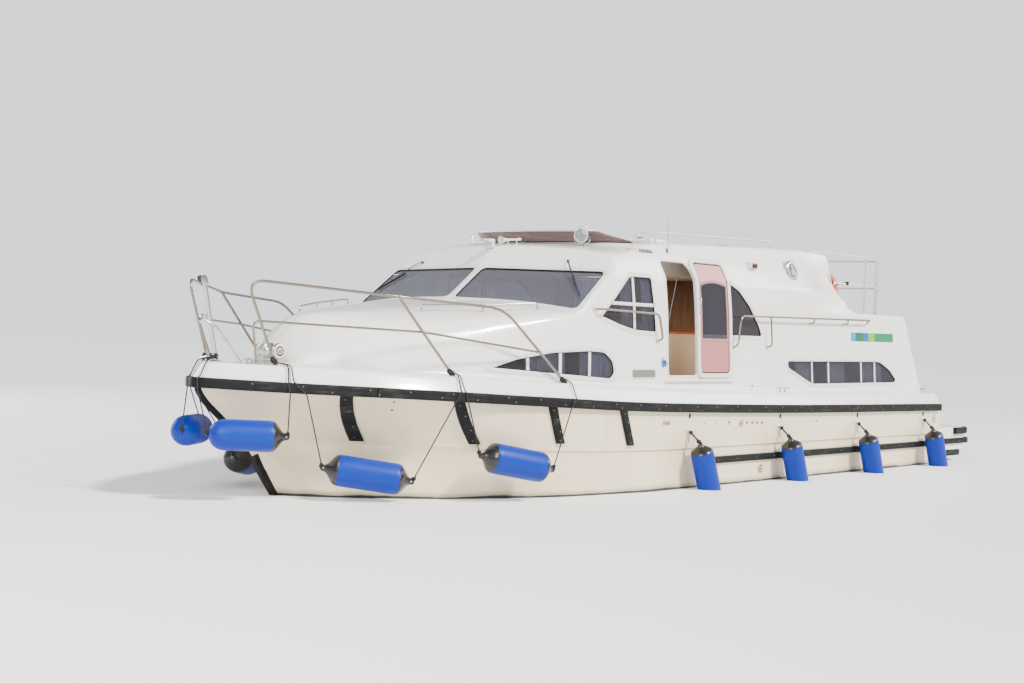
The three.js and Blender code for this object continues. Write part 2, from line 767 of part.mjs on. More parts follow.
// The cabin side's section between two heights, stood off by d.
function sideCurve(d, z0, z1) {
  const heights = [z0, ...sideSection.map((p) => p[1]).filter((z) => z > z0 + 20 && z < z1 - 20), z1];
  return heights.map((z) => [wallY("side", 0, z) + d, z]);
}

function doorPlate(side, x0, x1, d0, d1, z0, z1) {
  const outline = [...sideCurve(d0, z0, z1), ...sideCurve(d1, z0, z1).reverse()];
  return outlineX(outline.map(([y, z]) => [side * y, z]), x0, x1);
}

// The moulded ledge that a sliding door runs on.
function doorLedge(side) {
  const { baseZ, standOff, thick, travel, wide } = door;
  return doorPlate(side, -60, wide + travel + 20, -8, standOff + thick + 10, baseZ - gap - 26, baseZ - gap);
}

const ledges = sides.map(([, side]) => doorLedge(side));

// The deck lies round the cabin, whose moulding is let into it.
const cabinForm = (grow) => houseBlock(-grow).add(coachBlock(-grow));
const belowKnuckle = shell.intersect(slab(0, knuckleZ));

addPiece("rubbing_strake", makeStrake().subtract(lifted(outerShell, 0, 0, -gap)), "rubber");
addPiece("deck_moulding", belowKnuckle.subtract(cabinForm(gap)), "gelcoat");
addPiece("cabin_moulding", join([belowKnuckle.intersect(cabinForm(0)), ...ledges]), "gelcoat");
addPiece("flybridge_moulding", shell.intersect(slab(knuckleZ + gap, 4000)), "gelcoat");

// Glass
const paneNames = { quarter: "quarter_window", lower: "lower_window", aftQuarter: "aft_quarter_window",
  aft: "aft_window" };
for (const [sideName, side] of sides) {
  for (const [key, name] of Object.entries(paneNames))
    addPiece(`${name}_${sideName}`, wallPlate(key, side, 6, 12, 0.6), "glass");
  addPiece(`windscreen_${sideName}`, screenPlate(side, -8, -14, 0.6), "glass");
}

// Sliding doors
// The door with its aft edge at x0: a frame, its glass left thin in the middle, its top corners round.
function makeDoor(side, x0) {
  const { wide, baseZ, topZ, standOff, thick, frame } = door;
  const panel = doorPlate(side, x0, x0 + wide, standOff, standOff + thick, baseZ, topZ);
  const recess = (d0, d1) =>
    doorPlate(side, x0 + frame, x0 + wide - frame, d0, d1, baseZ + frame, topZ - frame);
  const corner = (x, dx) =>
    acrossY([[x, topZ - 120], [x + dx * 12, topZ - 55], [x + dx * 42, topZ - 16], [x + dx * 110, topZ + 1],
      [x - dx * 5, topZ + 5]], side * 1300, side * 2200);
  return panel
    .subtract(recess(standOff - 1, standOff + 9))
    .subtract(recess(standOff + 15, standOff + thick + 1))
    .subtract(corner(x0, 1))
    .subtract(corner(x0 + wide, -1));
}

const doorRest = { port: -20, starboard: 580 };
for (const [sideName, side] of sides)
  addPiece(`door_${sideName}`, makeDoor(side, doorRest[sideName]), "roseGlass");

// Inside: sole, bulkheads, helm, seat, galley unit and engine
const soleZ = 640;

addPiece("saloon_sole", block(-900, 2450, -2100, 2100, soleZ - 30, soleZ).intersect(insideFit), "wood");
addPiece("fore_bulkhead", block(2450 + gap, 2475, -1660, 1660, soleZ - 30, 1690), "wood");
const inCabin = cabinInside(skin + gap).subtract(slab(-1000, 900)).add(insideFit.intersect(slab(-1000, 901)));
addPiece("aft_bulkhead",
  block(-925, -900 - gap, -2000, 2000, soleZ - 30, flySoleZ - skin - gap).intersect(inCabin), "wood");
addPiece("engine", block(engine.aftX, engine.foreX, -engine.half, engine.half, engine.bottomZ, engine.topZ),
  "iron");

// Running gear
function makeShaft() {
  return bar([shaft.foreX + 45, 0, shaftZ(shaft.foreX + 45)], [shaft.aftX - 60, 0, shaftZ(shaft.aftX - 60)],
    shaft.r, shaft.r, 24);
}

function makePropeller() {
  const hub = bar([-4655, 0, shaftZ(-4655)], [-4815, 0, shaftZ(-4815)], 46, 38, 24);
  const blades = [0, 1, 2].map((k) => {
    const pitch = 330;
    const radii = [[30, 95, 16], [80, 150, 13], [140, 185, 9], [190, 150, 6], [propellerR, 60, 4]];
    const rings = radii.map(([r, chord, thick]) => {
      const lean = Math.atan(pitch / (2 * Math.PI * r));
      const [c, s] = [Math.cos(lean), Math.sin(lean)];
      return [[-chord / 2, 0], [0, thick / 2], [chord / 2, 0], [0, -thick / 2]].map(([u, v]) => [
        u * s - v * c, u * c + v * s, r]);
    });
    const blade = loft(rings);
    blade.rotateX((k * 2 * Math.PI) / 3);
    blade.rotateY(-Math.atan(shaftTilt));
    blade.translate(-4735, 0, shaftZ(-4735));
    return solidOf(blade);
  });
  const bore = bar([-4500, 0, shaftZ(-4500)], [-5000, 0, shaftZ(-5000)], shaft.r + gap, shaft.r + gap, 24);
  return join([hub, ...blades]).subtract(bore);
}

addPiece("propeller_shaft", makeShaft(), "stainless");
addPiece("propeller", makePropeller(), "bronze");

function makeRudder() {
  const outline = [[-5060, -330], [-5470, -330], [-5500, -700], [-5440, -780], [-5090, -780]];
  const blade = outlineY(outline, -16, 16);
  const stock = bar([rudderX, 0, -400], [rudderX, 0, 130], 22, 22, 24);
  const heel = bar([rudderX, 0, -700], [rudderX, 0, keel.bottomZ - 20], 14, 14, 24);
  return join([blade, stock, heel]);
}

addPiece("rudder", makeRudder(), "iron");

// Steering wheels and consoles
function wheelAt({ x, y, z, r }, rake) {
  const rim = new THREE.TorusGeometry(r, 13, 6, 24);
  const wheel = join([
    solidOf(rim),
    ...[90, 210, 330].map((a) => {
      const turn = THREE.MathUtils.degToRad(a);
      return bar([0, 0, 0], [r * Math.cos(turn), r * Math.sin(turn), 0], 9, 9, 8);
    }),
    bar([0, 0, -70], [0, 0, 12], 28, 28, 16),
  ]);
  const geometry = geometryOf(wheel);
  geometry.rotateY(-Math.PI / 2);
  geometry.rotateX(Math.PI);
  geometry.rotateY(rake);
  return solidOf(geometry.translate(x, y, z));
}

const wheelRake = THREE.MathUtils.degToRad(20);
const wheelAxis = [Math.cos(wheelRake), -Math.sin(wheelRake)];

// A console whose aft face is square to the wheel's axis.
function consoleBox(at, floorZ, half, foreX, topZ) {
  const [ax, az] = wheelAxis;
  const face = [at.x + ax * (70 + gap), at.z + az * (70 + gap)];
  const along1 = (t) => [face[0] - az * t, face[1] + ax * t];
  const outline = [along1(-240), along1(topZ - at.z), [foreX, topZ - 30], [foreX, floorZ],
    [along1(-240)[0] + 120, floorZ]];
  return outlineY(outline, at.y - half, at.y + half);
}

addPiece("helm_console", consoleBox(helm, soleZ + gap, 420, 2440, 1700), "wood");
addPiece("helm_wheel", wheelAt(helm, wheelRake), "black");
addPiece("fly_console", consoleBox(flyHelm, flySoleZ + gap, 480, 780, 2900), "gelcoat");
addPiece("fly_wheel", wheelAt(flyHelm, wheelRake), "black");

function seat(x0, x1, y0, y1, baseZ, seatZ, backZ) {
  const base = block(x0, x1, y0, y1, baseZ, seatZ);
  return base.add(block(x0, x0 + 110, y0, y1, baseZ, backZ));
}

addPiece("helm_seat", seat(1080, 1580, 500, 1300, soleZ + gap, 1180, 1720), "fabric");
addPiece("saloon_dinette", seat(-600, 500, -1640, -700, soleZ + gap, 1100, 1560), "fabric");
addPiece("galley_unit", block(-600, 450, 760, 1560, soleZ + gap, 1560)
  .add(block(415, 450, 760, 1560, soleZ + gap, 1770)), "wood");
addPiece("fly_seat", seat(-900, -350, -1150, 1150, flySoleZ + gap, 2700, 2890), "fabric");

// What stands on the deck and roof is cut to them, a gap clear.
const roofNear = lifted(outerShell, 0, 0, gap);
const onRoof = (solid) => solid.subtract(roofNear).subtract(outerShell);

// z of the flybridge's coaming or roof at x
const roofZ = (x) => along(houseProfile.slice(3, -1).map(([px, z]) => [px, z]), x);

// Tinted screen round the upper helm, leaning forward
function makeFlyScreen() {
  const thick = 8;
  // x and y at the foot, x and y at the head, and the head's height above the foot
  const table = [
    [1170, 1150, 1180, 1165, 20],
    [1500, 850, 1660, 900, 130],
    [1560, 0, 1740, 0, 145],
  ];
  const half = [...table, ...table.slice(0, -1).reverse().map(([a, b, c, d, e]) => [a, -b, c, -d, e])];
  const rings = half.map(([x0, y0, x1, y1, rise]) => {
    const [foot, head] = [roofZ(x0) + gap, roofZ(x0) + rise];
    return [[x0, y0, foot], [x1, y1, head], [x1 + thick, y1, head], [x0 + thick, y0, foot]];
  });
  return solidOf(loft(rings));
}

addPiece("fly_screen", makeFlyScreen(), "roseGlass");

// Rails
const pad = ([x, y, z], r = 34, side = 1) => bar([x, side * y, z - 40], [x, side * y, z + 10], r, r, 12);
const deckZ = (x) => sheerZ(x) + bandHigh;
const between = (a, b, t) => a.map((v, i) => v + (b[i] - v) * t);

const railFeet = { fore: [6070, 500, deckZ(6070)], mid: [4530, 1400, deckZ(4530)], aft: [3130, 1720, deckZ(3130)] };
const railTops = { fore: [6400, 430, 2130], mid: [5250, 1310, 2020], aft: [4080, 1650, 1945] };

function pulpit(side, grow = 0) {
  const s = ([x, y, z]) => [x, side * y, z];
  const [feet, tops, r] = [railFeet, railTops, railR + grow];
  const low = (p) => [p[0], p[1], p[2] - 10];
  const upper = bentTube([low(feet.fore), between(feet.fore, tops.fore, 0.86), tops.fore, tops.mid, tops.aft,
    low(feet.aft)].map(s), r, 200);
  const lower = bentTube([between(feet.fore, tops.fore, 0.52), between(feet.mid, tops.mid, 0.56),
    between(feet.aft, tops.aft, 0.42)].map(s), railR * 0.8, 60);
  const stanchion = bar(s(low(feet.mid)), s(tops.mid), r, r, 6);
  const pads = Object.values(feet).map(([x, y, z]) => pad([x, y, z + grow], 34 + grow, side));
  return onRoof(join([upper, lower, stanchion, ...pads]));
}

for (const [sideName, side] of sides) addPiece(`pulpit_${sideName}`, pulpit(side), "stainless");

// Grab rails on the cabin side: their ends turn in to the wall.
function sideRail(side, points) {
  const s = ([x, y, z]) => [x, side * y, z];
  return onRoof(bentTube(points.map(s), 12.5, 70));
}

const sideOut = (z, d) => wallY("side", 0, z) + d;
const foreRail = [[2640, 1700, 1985], [2600, sideOut(1990, 75), 1992], [1560, sideOut(1990, 75), 1965],
  [1500, sideOut(1700, 75), 1690], [1500, sideOut(1660, -12), 1640]];
const aftRailing = [[-60, sideOut(1640, -12), 1600], [-75, sideOut(1660, 75), 1640], [-160, sideOut(2000, 80), 1990],
  [-3430, sideOut(2015, 80), 2015], [-3490, sideOut(2015, -12), 1985]];
const aftRailLegs = [[-840, 1640], [-1900, 1955], [-2800, 1965]];

function aftGrabRail(side) {
  const legs = aftRailLegs.map(([x, z]) =>
    sideRail(side, [[x, sideOut(2000, 80), 2006], [x - 10, sideOut(z, 80), z], [x - 14, sideOut(z, -12), z - 22]]));
  return join([sideRail(side, aftRailing), ...legs]);
}

for (const [sideName, side] of sides) {
  addPiece(`fore_handrail_${sideName}`, sideRail(side, foreRail), "stainless");
  addPiece(`aft_handrail_${sideName}`, aftGrabRail(side), "stainless");
}

// Rail on the flybridge coaming, round behind the tinted screen's wings, and the rail round the aft deck
function flyRail(side) {
  const y = 1300;
  const s = ([x, py, z]) => [x, side * py, z];
  const top = [[1330, 1240, roofZ(1330) - 10], [1330, 1262, 2880], [900, y, 2930], [-1900, y, 2985],
    [-2380, y, 2972], [-2520, y - 10, 2885]];
  const posts = [[1050, 2905], [-300, 2950], [-1500, 2974]];
  return onRoof(join([bentTube(top.map(s), railR, 120),
    ...posts.map(([x, z]) => bar(s([x - 70, y, roofZ(x) - 10]), s([x, y, z]), 11, 11, 6))]));
}

for (const [sideName, side] of sides) addPiece(`fly_rail_${sideName}`, flyRail(side), "stainless");

// Port half of the rail round the aft deck, its top and middle tubes
const aftRailPaths = [
  [[-2600, 1300, 2880], [-2700, 1305, 2912], [-3400, 1380, 2904], [-3870, 1455, 2886], [-4440, 1480, 2862]],
  [[-3090, 1315, 2440], [-3190, 1330, 2515], [-3870, 1455, 2500], [-4440, 1480, 2476]],
];
const aftPosts = [[-3870, 1455, 2886], [-4200, 1470, 2874], [-4440, 1320, 2862], [-4440, 450, 2862]];

function makeAftRail() {
  const tubes = aftRailPaths.map((half) => bentTube([...half, ...mirrorY(half).reverse()], railR, 150));
  const posts = [...aftPosts, ...mirrorY(aftPosts)].map(([x, y, z]) =>
    bar([x, y, aftRoofZ - 20], [x, y, z], railR, railR, 6));
  return onRoof(join([...tubes, ...posts]));
}

addPiece("aft_rail", makeAftRail(), "stainless");

// Lifebuoy hung inside the port cheek of the aft deck
function makeLifebuoy() {
  const ring = new THREE.TorusGeometry(208, 47, 8, 20);
  return solidOf(ring.rotateX(Math.PI / 2).translate(-3330, 1225 - 47 - gap, 2390));
}

addPiece("lifebuoy", makeLifebuoy(), "orange");

// Bow post with its roller, and the windlass
function makeBowPost() {
  const [foot, head] = [[6380, 0, deckZ(6380) - 20], [6560, 0, 2110]];
  const post = bar(foot, head, 24, 24, 14);
  const fork = [-1, 1].map((side) => outlineY([[6520, 2060], [6590, 2060], [6625, 2145], [6560, 2165]],
    side > 0 ? 26 : -34, side > 0 ? 34 : -26));
  const roller = bar([6588, -27, 2118], [6588, 27, 2118], 27, 27, 14);
  const axle = bar([6588, -34, 2118], [6588, 34, 2118], 9, 9, 10);
  const crown = block(6530, 6580, -30, 30, 2068, 2092);
  return onRoof(join([post, ...fork, crown, roller, axle, pad([6388, 0, deckZ(6388)], 70)]));
}

addPiece("bow_post", makeBowPost(), "stainless");

const windlass = { x: 5800, y: 90, z: 1448, r: 78, half: 168 };

function makeWindlass() {
  const { x, y, z, half } = windlass;
  const gearbox = block(x - 95, x + 75, y - half, y + 20, deckZ(x) - 30, z + 62);
  const axle = bar([x, y, z], [x, y + half + 18, z], 16, 16, 16);
  return onRoof(gearbox.add(axle));
}

function makeDrum() {
  const { x, y, z, r, half } = windlass;
  const profile = [[17, 26], [r, 26], [r, 40], [r * 0.72, 62], [r * 0.62, 92], [r * 0.72, 124], [r, 140],
    [r, half], [17, half]].map(([rr, h]) => new THREE.Vector2(rr, h));
  const drum = new THREE.LatheGeometry([...profile, profile[0].clone()], 20);
  return solidOf(drum.translate(x, y, z));
}

addPiece("windlass", makeWindlass(), "iron");
addPiece("windlass_drum", makeDrum(), "stainless");

// Fenders, each hung by ropes that start at its eyes
function fender(from, to, r) {
  const a = new THREE.Vector3(...from);
  const b = new THREE.Vector3(...to);
  const long = a.distanceTo(b);
  const end = [[0, 0], [24, 0], [0.42 * r, 55], [0.86 * r, 118], [r, 165]];
  const profile = [...end, ...end.map(([rr, h]) => [rr, long - h]).reverse()];
  const body = new THREE.LatheGeometry(profile.map(([rr, h]) => new THREE.Vector2(rr, h)), 10);
  body.applyQuaternion(new THREE.Quaternion().setFromUnitVectors(new THREE.Vector3(0, 1, 0),
    b.clone().sub(a).normalize()));
  return solidOf(body.translate(...from));
}

const ropeR = 7;
const rope = (points) => bentTube(points, ropeR, 40, 4);
const clear = strakeOut + ropeR + 8;
const overStrake = (x) => {
  const away = outwardAt(x);
  return [-strakeDeep - 5, 10].map((dz) => [x + away.x * clear, planY(x) + away.y * clear, sheerZ(x) + dz]);
};

// Ends of the three fenders along the port bow, fore end first, and the foot that each rope is tied to
const bowFenders = [
  { fore: [6620, 190, 655], aft: [5990, 640, 640], r: 150, ties: [null, "fore"] },
  { fore: [5560, 640, 330], aft: [4850, 1215, 205], r: 155, ties: ["fore", "mid"] },
  { fore: [4380, 1650, 485], aft: [3580, 1970, 330], r: 155, ties: ["mid", "aft"] },
];

function makeBowFenders(side) {
  const s = ([x, y, z]) => [x, side * y, z];
  const parts = bowFenders.flatMap(({ fore, aft, r, ties }) => {
    const ends = [fore, aft];
    const ropes = ties.map((tie, i) => {
      const end = ends[i];
      if (!tie) {
        const nose = [6690, 60, sheerZ(6600) - strakeDeep - 10];
        return [end, nose, [6690, 58, sheerZ(6600) + 12], [6500, 60, deckZ(6500) + 40], [6070, 480, deckZ(6070) + 52]];
      }
      const foot = railFeet[tie];
      const x = (foot[0] * 2 + end[0]) / 3;
      return [end, ...overStrake(x), [foot[0], foot[1] + 40, foot[2] + 50], [foot[0], foot[1] + 20, foot[2] + 52]];
    });
    return [fender(fore, aft, r), ...ropes.map((r1) => rope(r1))];
  });
  const knots = Object.values(railFeet).map(([x, y, z]) => ball([x, y + 12, z + 52], 36, 8));
  const lashing = rope([railFeet.fore, railFeet.mid, railFeet.aft].map(([x, y, z]) => [x, y + 44, z + 50]));
  const whole = join([...parts, ...knots, lashing]);
  const turned = side > 0 ? whole : solidOf(outward(mirroredGeometry(whole)));
  return onRoof(turned.subtract(pulpit(side, gap)).subtract(hullNear));
}

function mirroredGeometry(solid) {
  const geometry = geometryOf(solid);
  geometry.scale(1, -1, 1);
  return geometry;
}

for (const [sideName, side] of sides) addPiece(`bow_fenders_${sideName}`, makeBowFenders(side), "fenderBlue");

// Fenders along the sides, hung from eyes on the topside, their feet swept aft
const sideEyes = [1177, -811, -2798, -4785];
const sideFender = { r: 132, drop: 120, long: 860, sweep: 0.26, out: 190, eyeZ: 662 };

function makeSideFender(x, side) {
  const { r, drop, long, sweep, out, eyeZ } = sideFender;
  const wall = lowSide(x, 342);
  const head = [x - 20, side * (wall + out), eyeZ - drop];
  const foot = [x - 20 - long * sweep, side * (wall + out + 10), eyeZ - drop - long];
  const eye = [x, side * (topside(x, 0.5)[0] + 20), eyeZ];
  const hang = rope([[x, side * (topside(x, 0.5)[0] - 15), eyeZ + 4], eye, [head[0], head[1], head[2] + 20],
    [head[0] - 4, head[1], head[2] - 30]]);
  const boss = bar([x, side * (topside(x, 0.5)[0] - 10), eyeZ], [x, side * (topside(x, 0.5)[0] + 14), eyeZ], 24, 20, 10);
  return join([fender(head, foot, r), hang, boss]).subtract(hullNear);
}

for (const [sideName, side] of sides)
  sideEyes.forEach((x, i) => addPiece(`side_fender_${sideName}_${i + 1}`, makeSideFender(x, side), "fenderBlue"));

// Searchlight on the roof's port side
function makeSearchlight() {
  const at = [1840, 880, 0];
  at[2] = roofZ(at[0]);
  const [x, y, z] = at;
  const lamp = bar([x - 60, y, z + 120], [x + 60, y, z + 120], 62, 84, 20);
  return onRoof(join([lamp, bar([x, y, z - 20], [x, y, z + 80], 14, 14, 10), bar([x, y, z - 20], [x, y, z + 12], 44, 44, 16)]));
}

addPiece("searchlight", makeSearchlight(), "stainless");

export default boat;
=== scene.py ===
import math

import bmesh
import bpy
import numpy as np
from mathutils import Matrix, Vector, geometry
from mathutils.bvhtree import BVHTree


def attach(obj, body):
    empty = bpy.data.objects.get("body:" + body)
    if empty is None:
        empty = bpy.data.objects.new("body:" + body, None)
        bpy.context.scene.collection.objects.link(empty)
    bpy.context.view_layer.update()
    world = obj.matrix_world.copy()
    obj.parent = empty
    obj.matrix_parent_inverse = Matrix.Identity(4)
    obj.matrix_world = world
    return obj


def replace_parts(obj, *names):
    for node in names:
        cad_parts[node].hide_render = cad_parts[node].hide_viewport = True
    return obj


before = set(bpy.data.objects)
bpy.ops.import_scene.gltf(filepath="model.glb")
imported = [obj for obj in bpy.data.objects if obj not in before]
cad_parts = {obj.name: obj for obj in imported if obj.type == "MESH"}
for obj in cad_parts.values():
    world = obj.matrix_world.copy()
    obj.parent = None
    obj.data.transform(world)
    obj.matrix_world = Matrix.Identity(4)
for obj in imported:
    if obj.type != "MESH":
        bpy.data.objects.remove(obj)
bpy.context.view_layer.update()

# Camera
photoCamera = {"place": (16.3207, 12.0534, 1.8082), "yaw": -2.4429, "pitch": -0.0117, "roll": 0.0366, "lens": 56.25}


def addCamera(facts):
    yaw, pitch, roll = facts["yaw"], facts["pitch"], facts["roll"]
    ahead = Vector((math.cos(pitch) * math.cos(yaw), math.cos(pitch) * math.sin(yaw), math.sin(pitch)))
    level = Vector((math.sin(yaw), -math.cos(yaw), 0))
    upright = level.cross(ahead)
    right = level * math.cos(roll) + upright * math.sin(roll)
    top = upright * math.cos(roll) - level * math.sin(roll)
    data = bpy.data.cameras.new("photoCamera")
    data.lens, data.sensor_width, data.clip_end = facts["lens"], 36, 500
    camera = bpy.data.objects.new("photoCamera", data)
    turn = Matrix((right, top, -ahead)).transposed().to_4x4()
    camera.matrix_world = Matrix.Translation(facts["place"]) @ turn
    bpy.context.scene.collection.objects.link(camera)
    bpy.context.scene.camera = camera


addCamera(photoCamera)
print("camera ready")


# Shared shader groups
def feed(tree, made, inputs):
    # Each input takes a value of its own or another node's output
    for key, value in inputs.items():
        socket = made.inputs[int(key[1:]) if key[1:].isdigit() else key.replace("_", " ")]
        if isinstance(value, bpy.types.NodeSocket):
            tree.links.new(value, socket)
        else:
            socket.default_value = value
    return made


def addNode(tree, kind, settings=None, **inputs):
    made = tree.nodes.new(f"ShaderNode{kind}")
    for key, value in (settings or {}).items():
        setattr(made, key, value)
    return feed(tree, made, inputs)


def newGroup(name, inputs, *outputs):
    tree = bpy.data.node_groups.new(name, "ShaderNodeTree")
    for key in [*inputs, *outputs]:
        kind = "NodeSocketColor" if key in ("Clean", "Stain", "Colour") else "NodeSocketFloat"
        socket = tree.interface.new_socket(key, in_out="INPUT" if key in inputs else "OUTPUT", socket_type=kind)
        if key in inputs:
            socket.default_value = inputs[key]
    return tree, tree.nodes.new("NodeGroupInput").outputs, tree.nodes.new("NodeGroupOutput")


def placeGroup(tree, group, **inputs):
    return feed(tree, addNode(tree, "Group", {"node_tree": group}), inputs).outputs


def ramp(tree, source, low, high):
    return addNode(tree, "MapRange", Value=source, From_Min=low, From_Max=high).outputs[0]


def times(tree, a, b):
    return addNode(tree, "Math", {"operation": "MULTIPLY"}, n0=a, n1=b).outputs[0]


def mixColour(tree, factor, a, b):
    return addNode(tree, "Mix", {"data_type": "RGBA"}, n0=factor, n6=a, n7=b).outputs[2]


def noise(tree, place, scale, detail):
    return addNode(tree, "TexNoise", Vector=place, Scale=scale, Detail=detail).outputs[0]


def brokenStreaks(tree, given, stretch, details, limits):
    # Drawn-out streaks that show only where a rounder noise lets them
    place = addNode(tree, "TexCoord").outputs["Object"]
    drawn = addNode(tree, "Mapping", Vector=place, Scale=stretch).outputs[0]
    streaks, blotches = [ramp(tree, noise(tree, spot, given["Scale"], detail), *limit)
        for spot, detail, limit in zip((drawn, place), details, limits)]
    return times(tree, times(tree, streaks, blotches), given["Amount"])


def stainGroup():
    # Run-off streaks and soft blotches over a clean colour
    tree, given, put = newGroup("gelcoatStains", {"Clean": (0.8, 0.8, 0.8, 1), "Stain": (0.4, 0.36, 0.28, 1),
        "Amount": 0.2, "Scale": 1.5}, "Colour", "Mask")
    mask = brokenStreaks(tree, given, (5, 5, 0.6), (4, 6), ((0.48, 0.75), (0.35, 0.7)))
    feed(tree, put, {"Colour": mixColour(tree, mask, given["Clean"], given["Stain"]), "Mask": mask})
    return tree


def grainGroup():
    # Height of a fine grain over a slow ripple
    tree, given, put = newGroup("surfaceGrain", {"Fine": 300, "Slow": 4, "Share": 0.3}, "Height")
    place = addNode(tree, "TexCoord").outputs["Object"]
    mixed = addNode(tree, "Mix", {"data_type": "FLOAT"}, n0=given["Share"], n2=noise(tree, place, given["Slow"], 1),
        n3=noise(tree, place, given["Fine"], 3))
    feed(tree, put, {"Height": mixed.outputs[0]})
    return tree


def scuffGroup():
    # Mask of scratches along the length with rubbed patches
    tree, given, put = newGroup("scuffs", {"Scale": 6, "Amount": 0.5}, "Mask")
    feed(tree, put, {"Mask": brokenStreaks(tree, given, (0.5, 0.5, 9), (8, 5), ((0.5, 0.68), (0.42, 0.68)))})
    return tree


stains, grains, scuffs = stainGroup(), grainGroup(), scuffGroup()
finishes = {}


def newFinish(name, colour, roughness, metallic=0, coat=0, stain=None, grain=(300, 0.3, 0.02), slow=4, scuff=None,
        **sockets):
    # stain and scuff: colour, amount, scale; grain: fineness, its share of the relief, bump
    made = finishes[name] = bpy.data.materials.new(name)
    made.use_nodes = True
    tree, top, clean = made.node_tree, None, (*colour, 1)
    shader = feed(tree, tree.nodes["Principled BSDF"], {"Base_Color": clean, "Roughness": roughness,
        "Metallic": metallic, "Coat_Weight": coat, **sockets})
    if stain:
        spots = placeGroup(tree, stains, Clean=clean, Stain=(*stain[0], 1), Amount=stain[1], Scale=stain[2])
        top = spots["Colour"]
        rough = addNode(tree, "MapRange", Value=spots["Mask"], To_Min=roughness, To_Max=roughness + 0.35)
        feed(tree, shader, {"Roughness": rough.outputs[0]})
    if scuff:
        rub = placeGroup(tree, scuffs, Amount=scuff[1], Scale=scuff[2])
        top = mixColour(tree, rub["Mask"], top or clean, (*scuff[0], 1))
    if top:
        feed(tree, shader, {"Base_Color": top})
    height = placeGroup(tree, grains, Fine=grain[0], Slow=slow, Share=grain[1])["Height"]
    relief = addNode(tree, "Bump", Strength=grain[2], Distance=0.002, Height=height)
    feed(tree, shader, {"Normal": relief.outputs[0]})
    return tree, shader


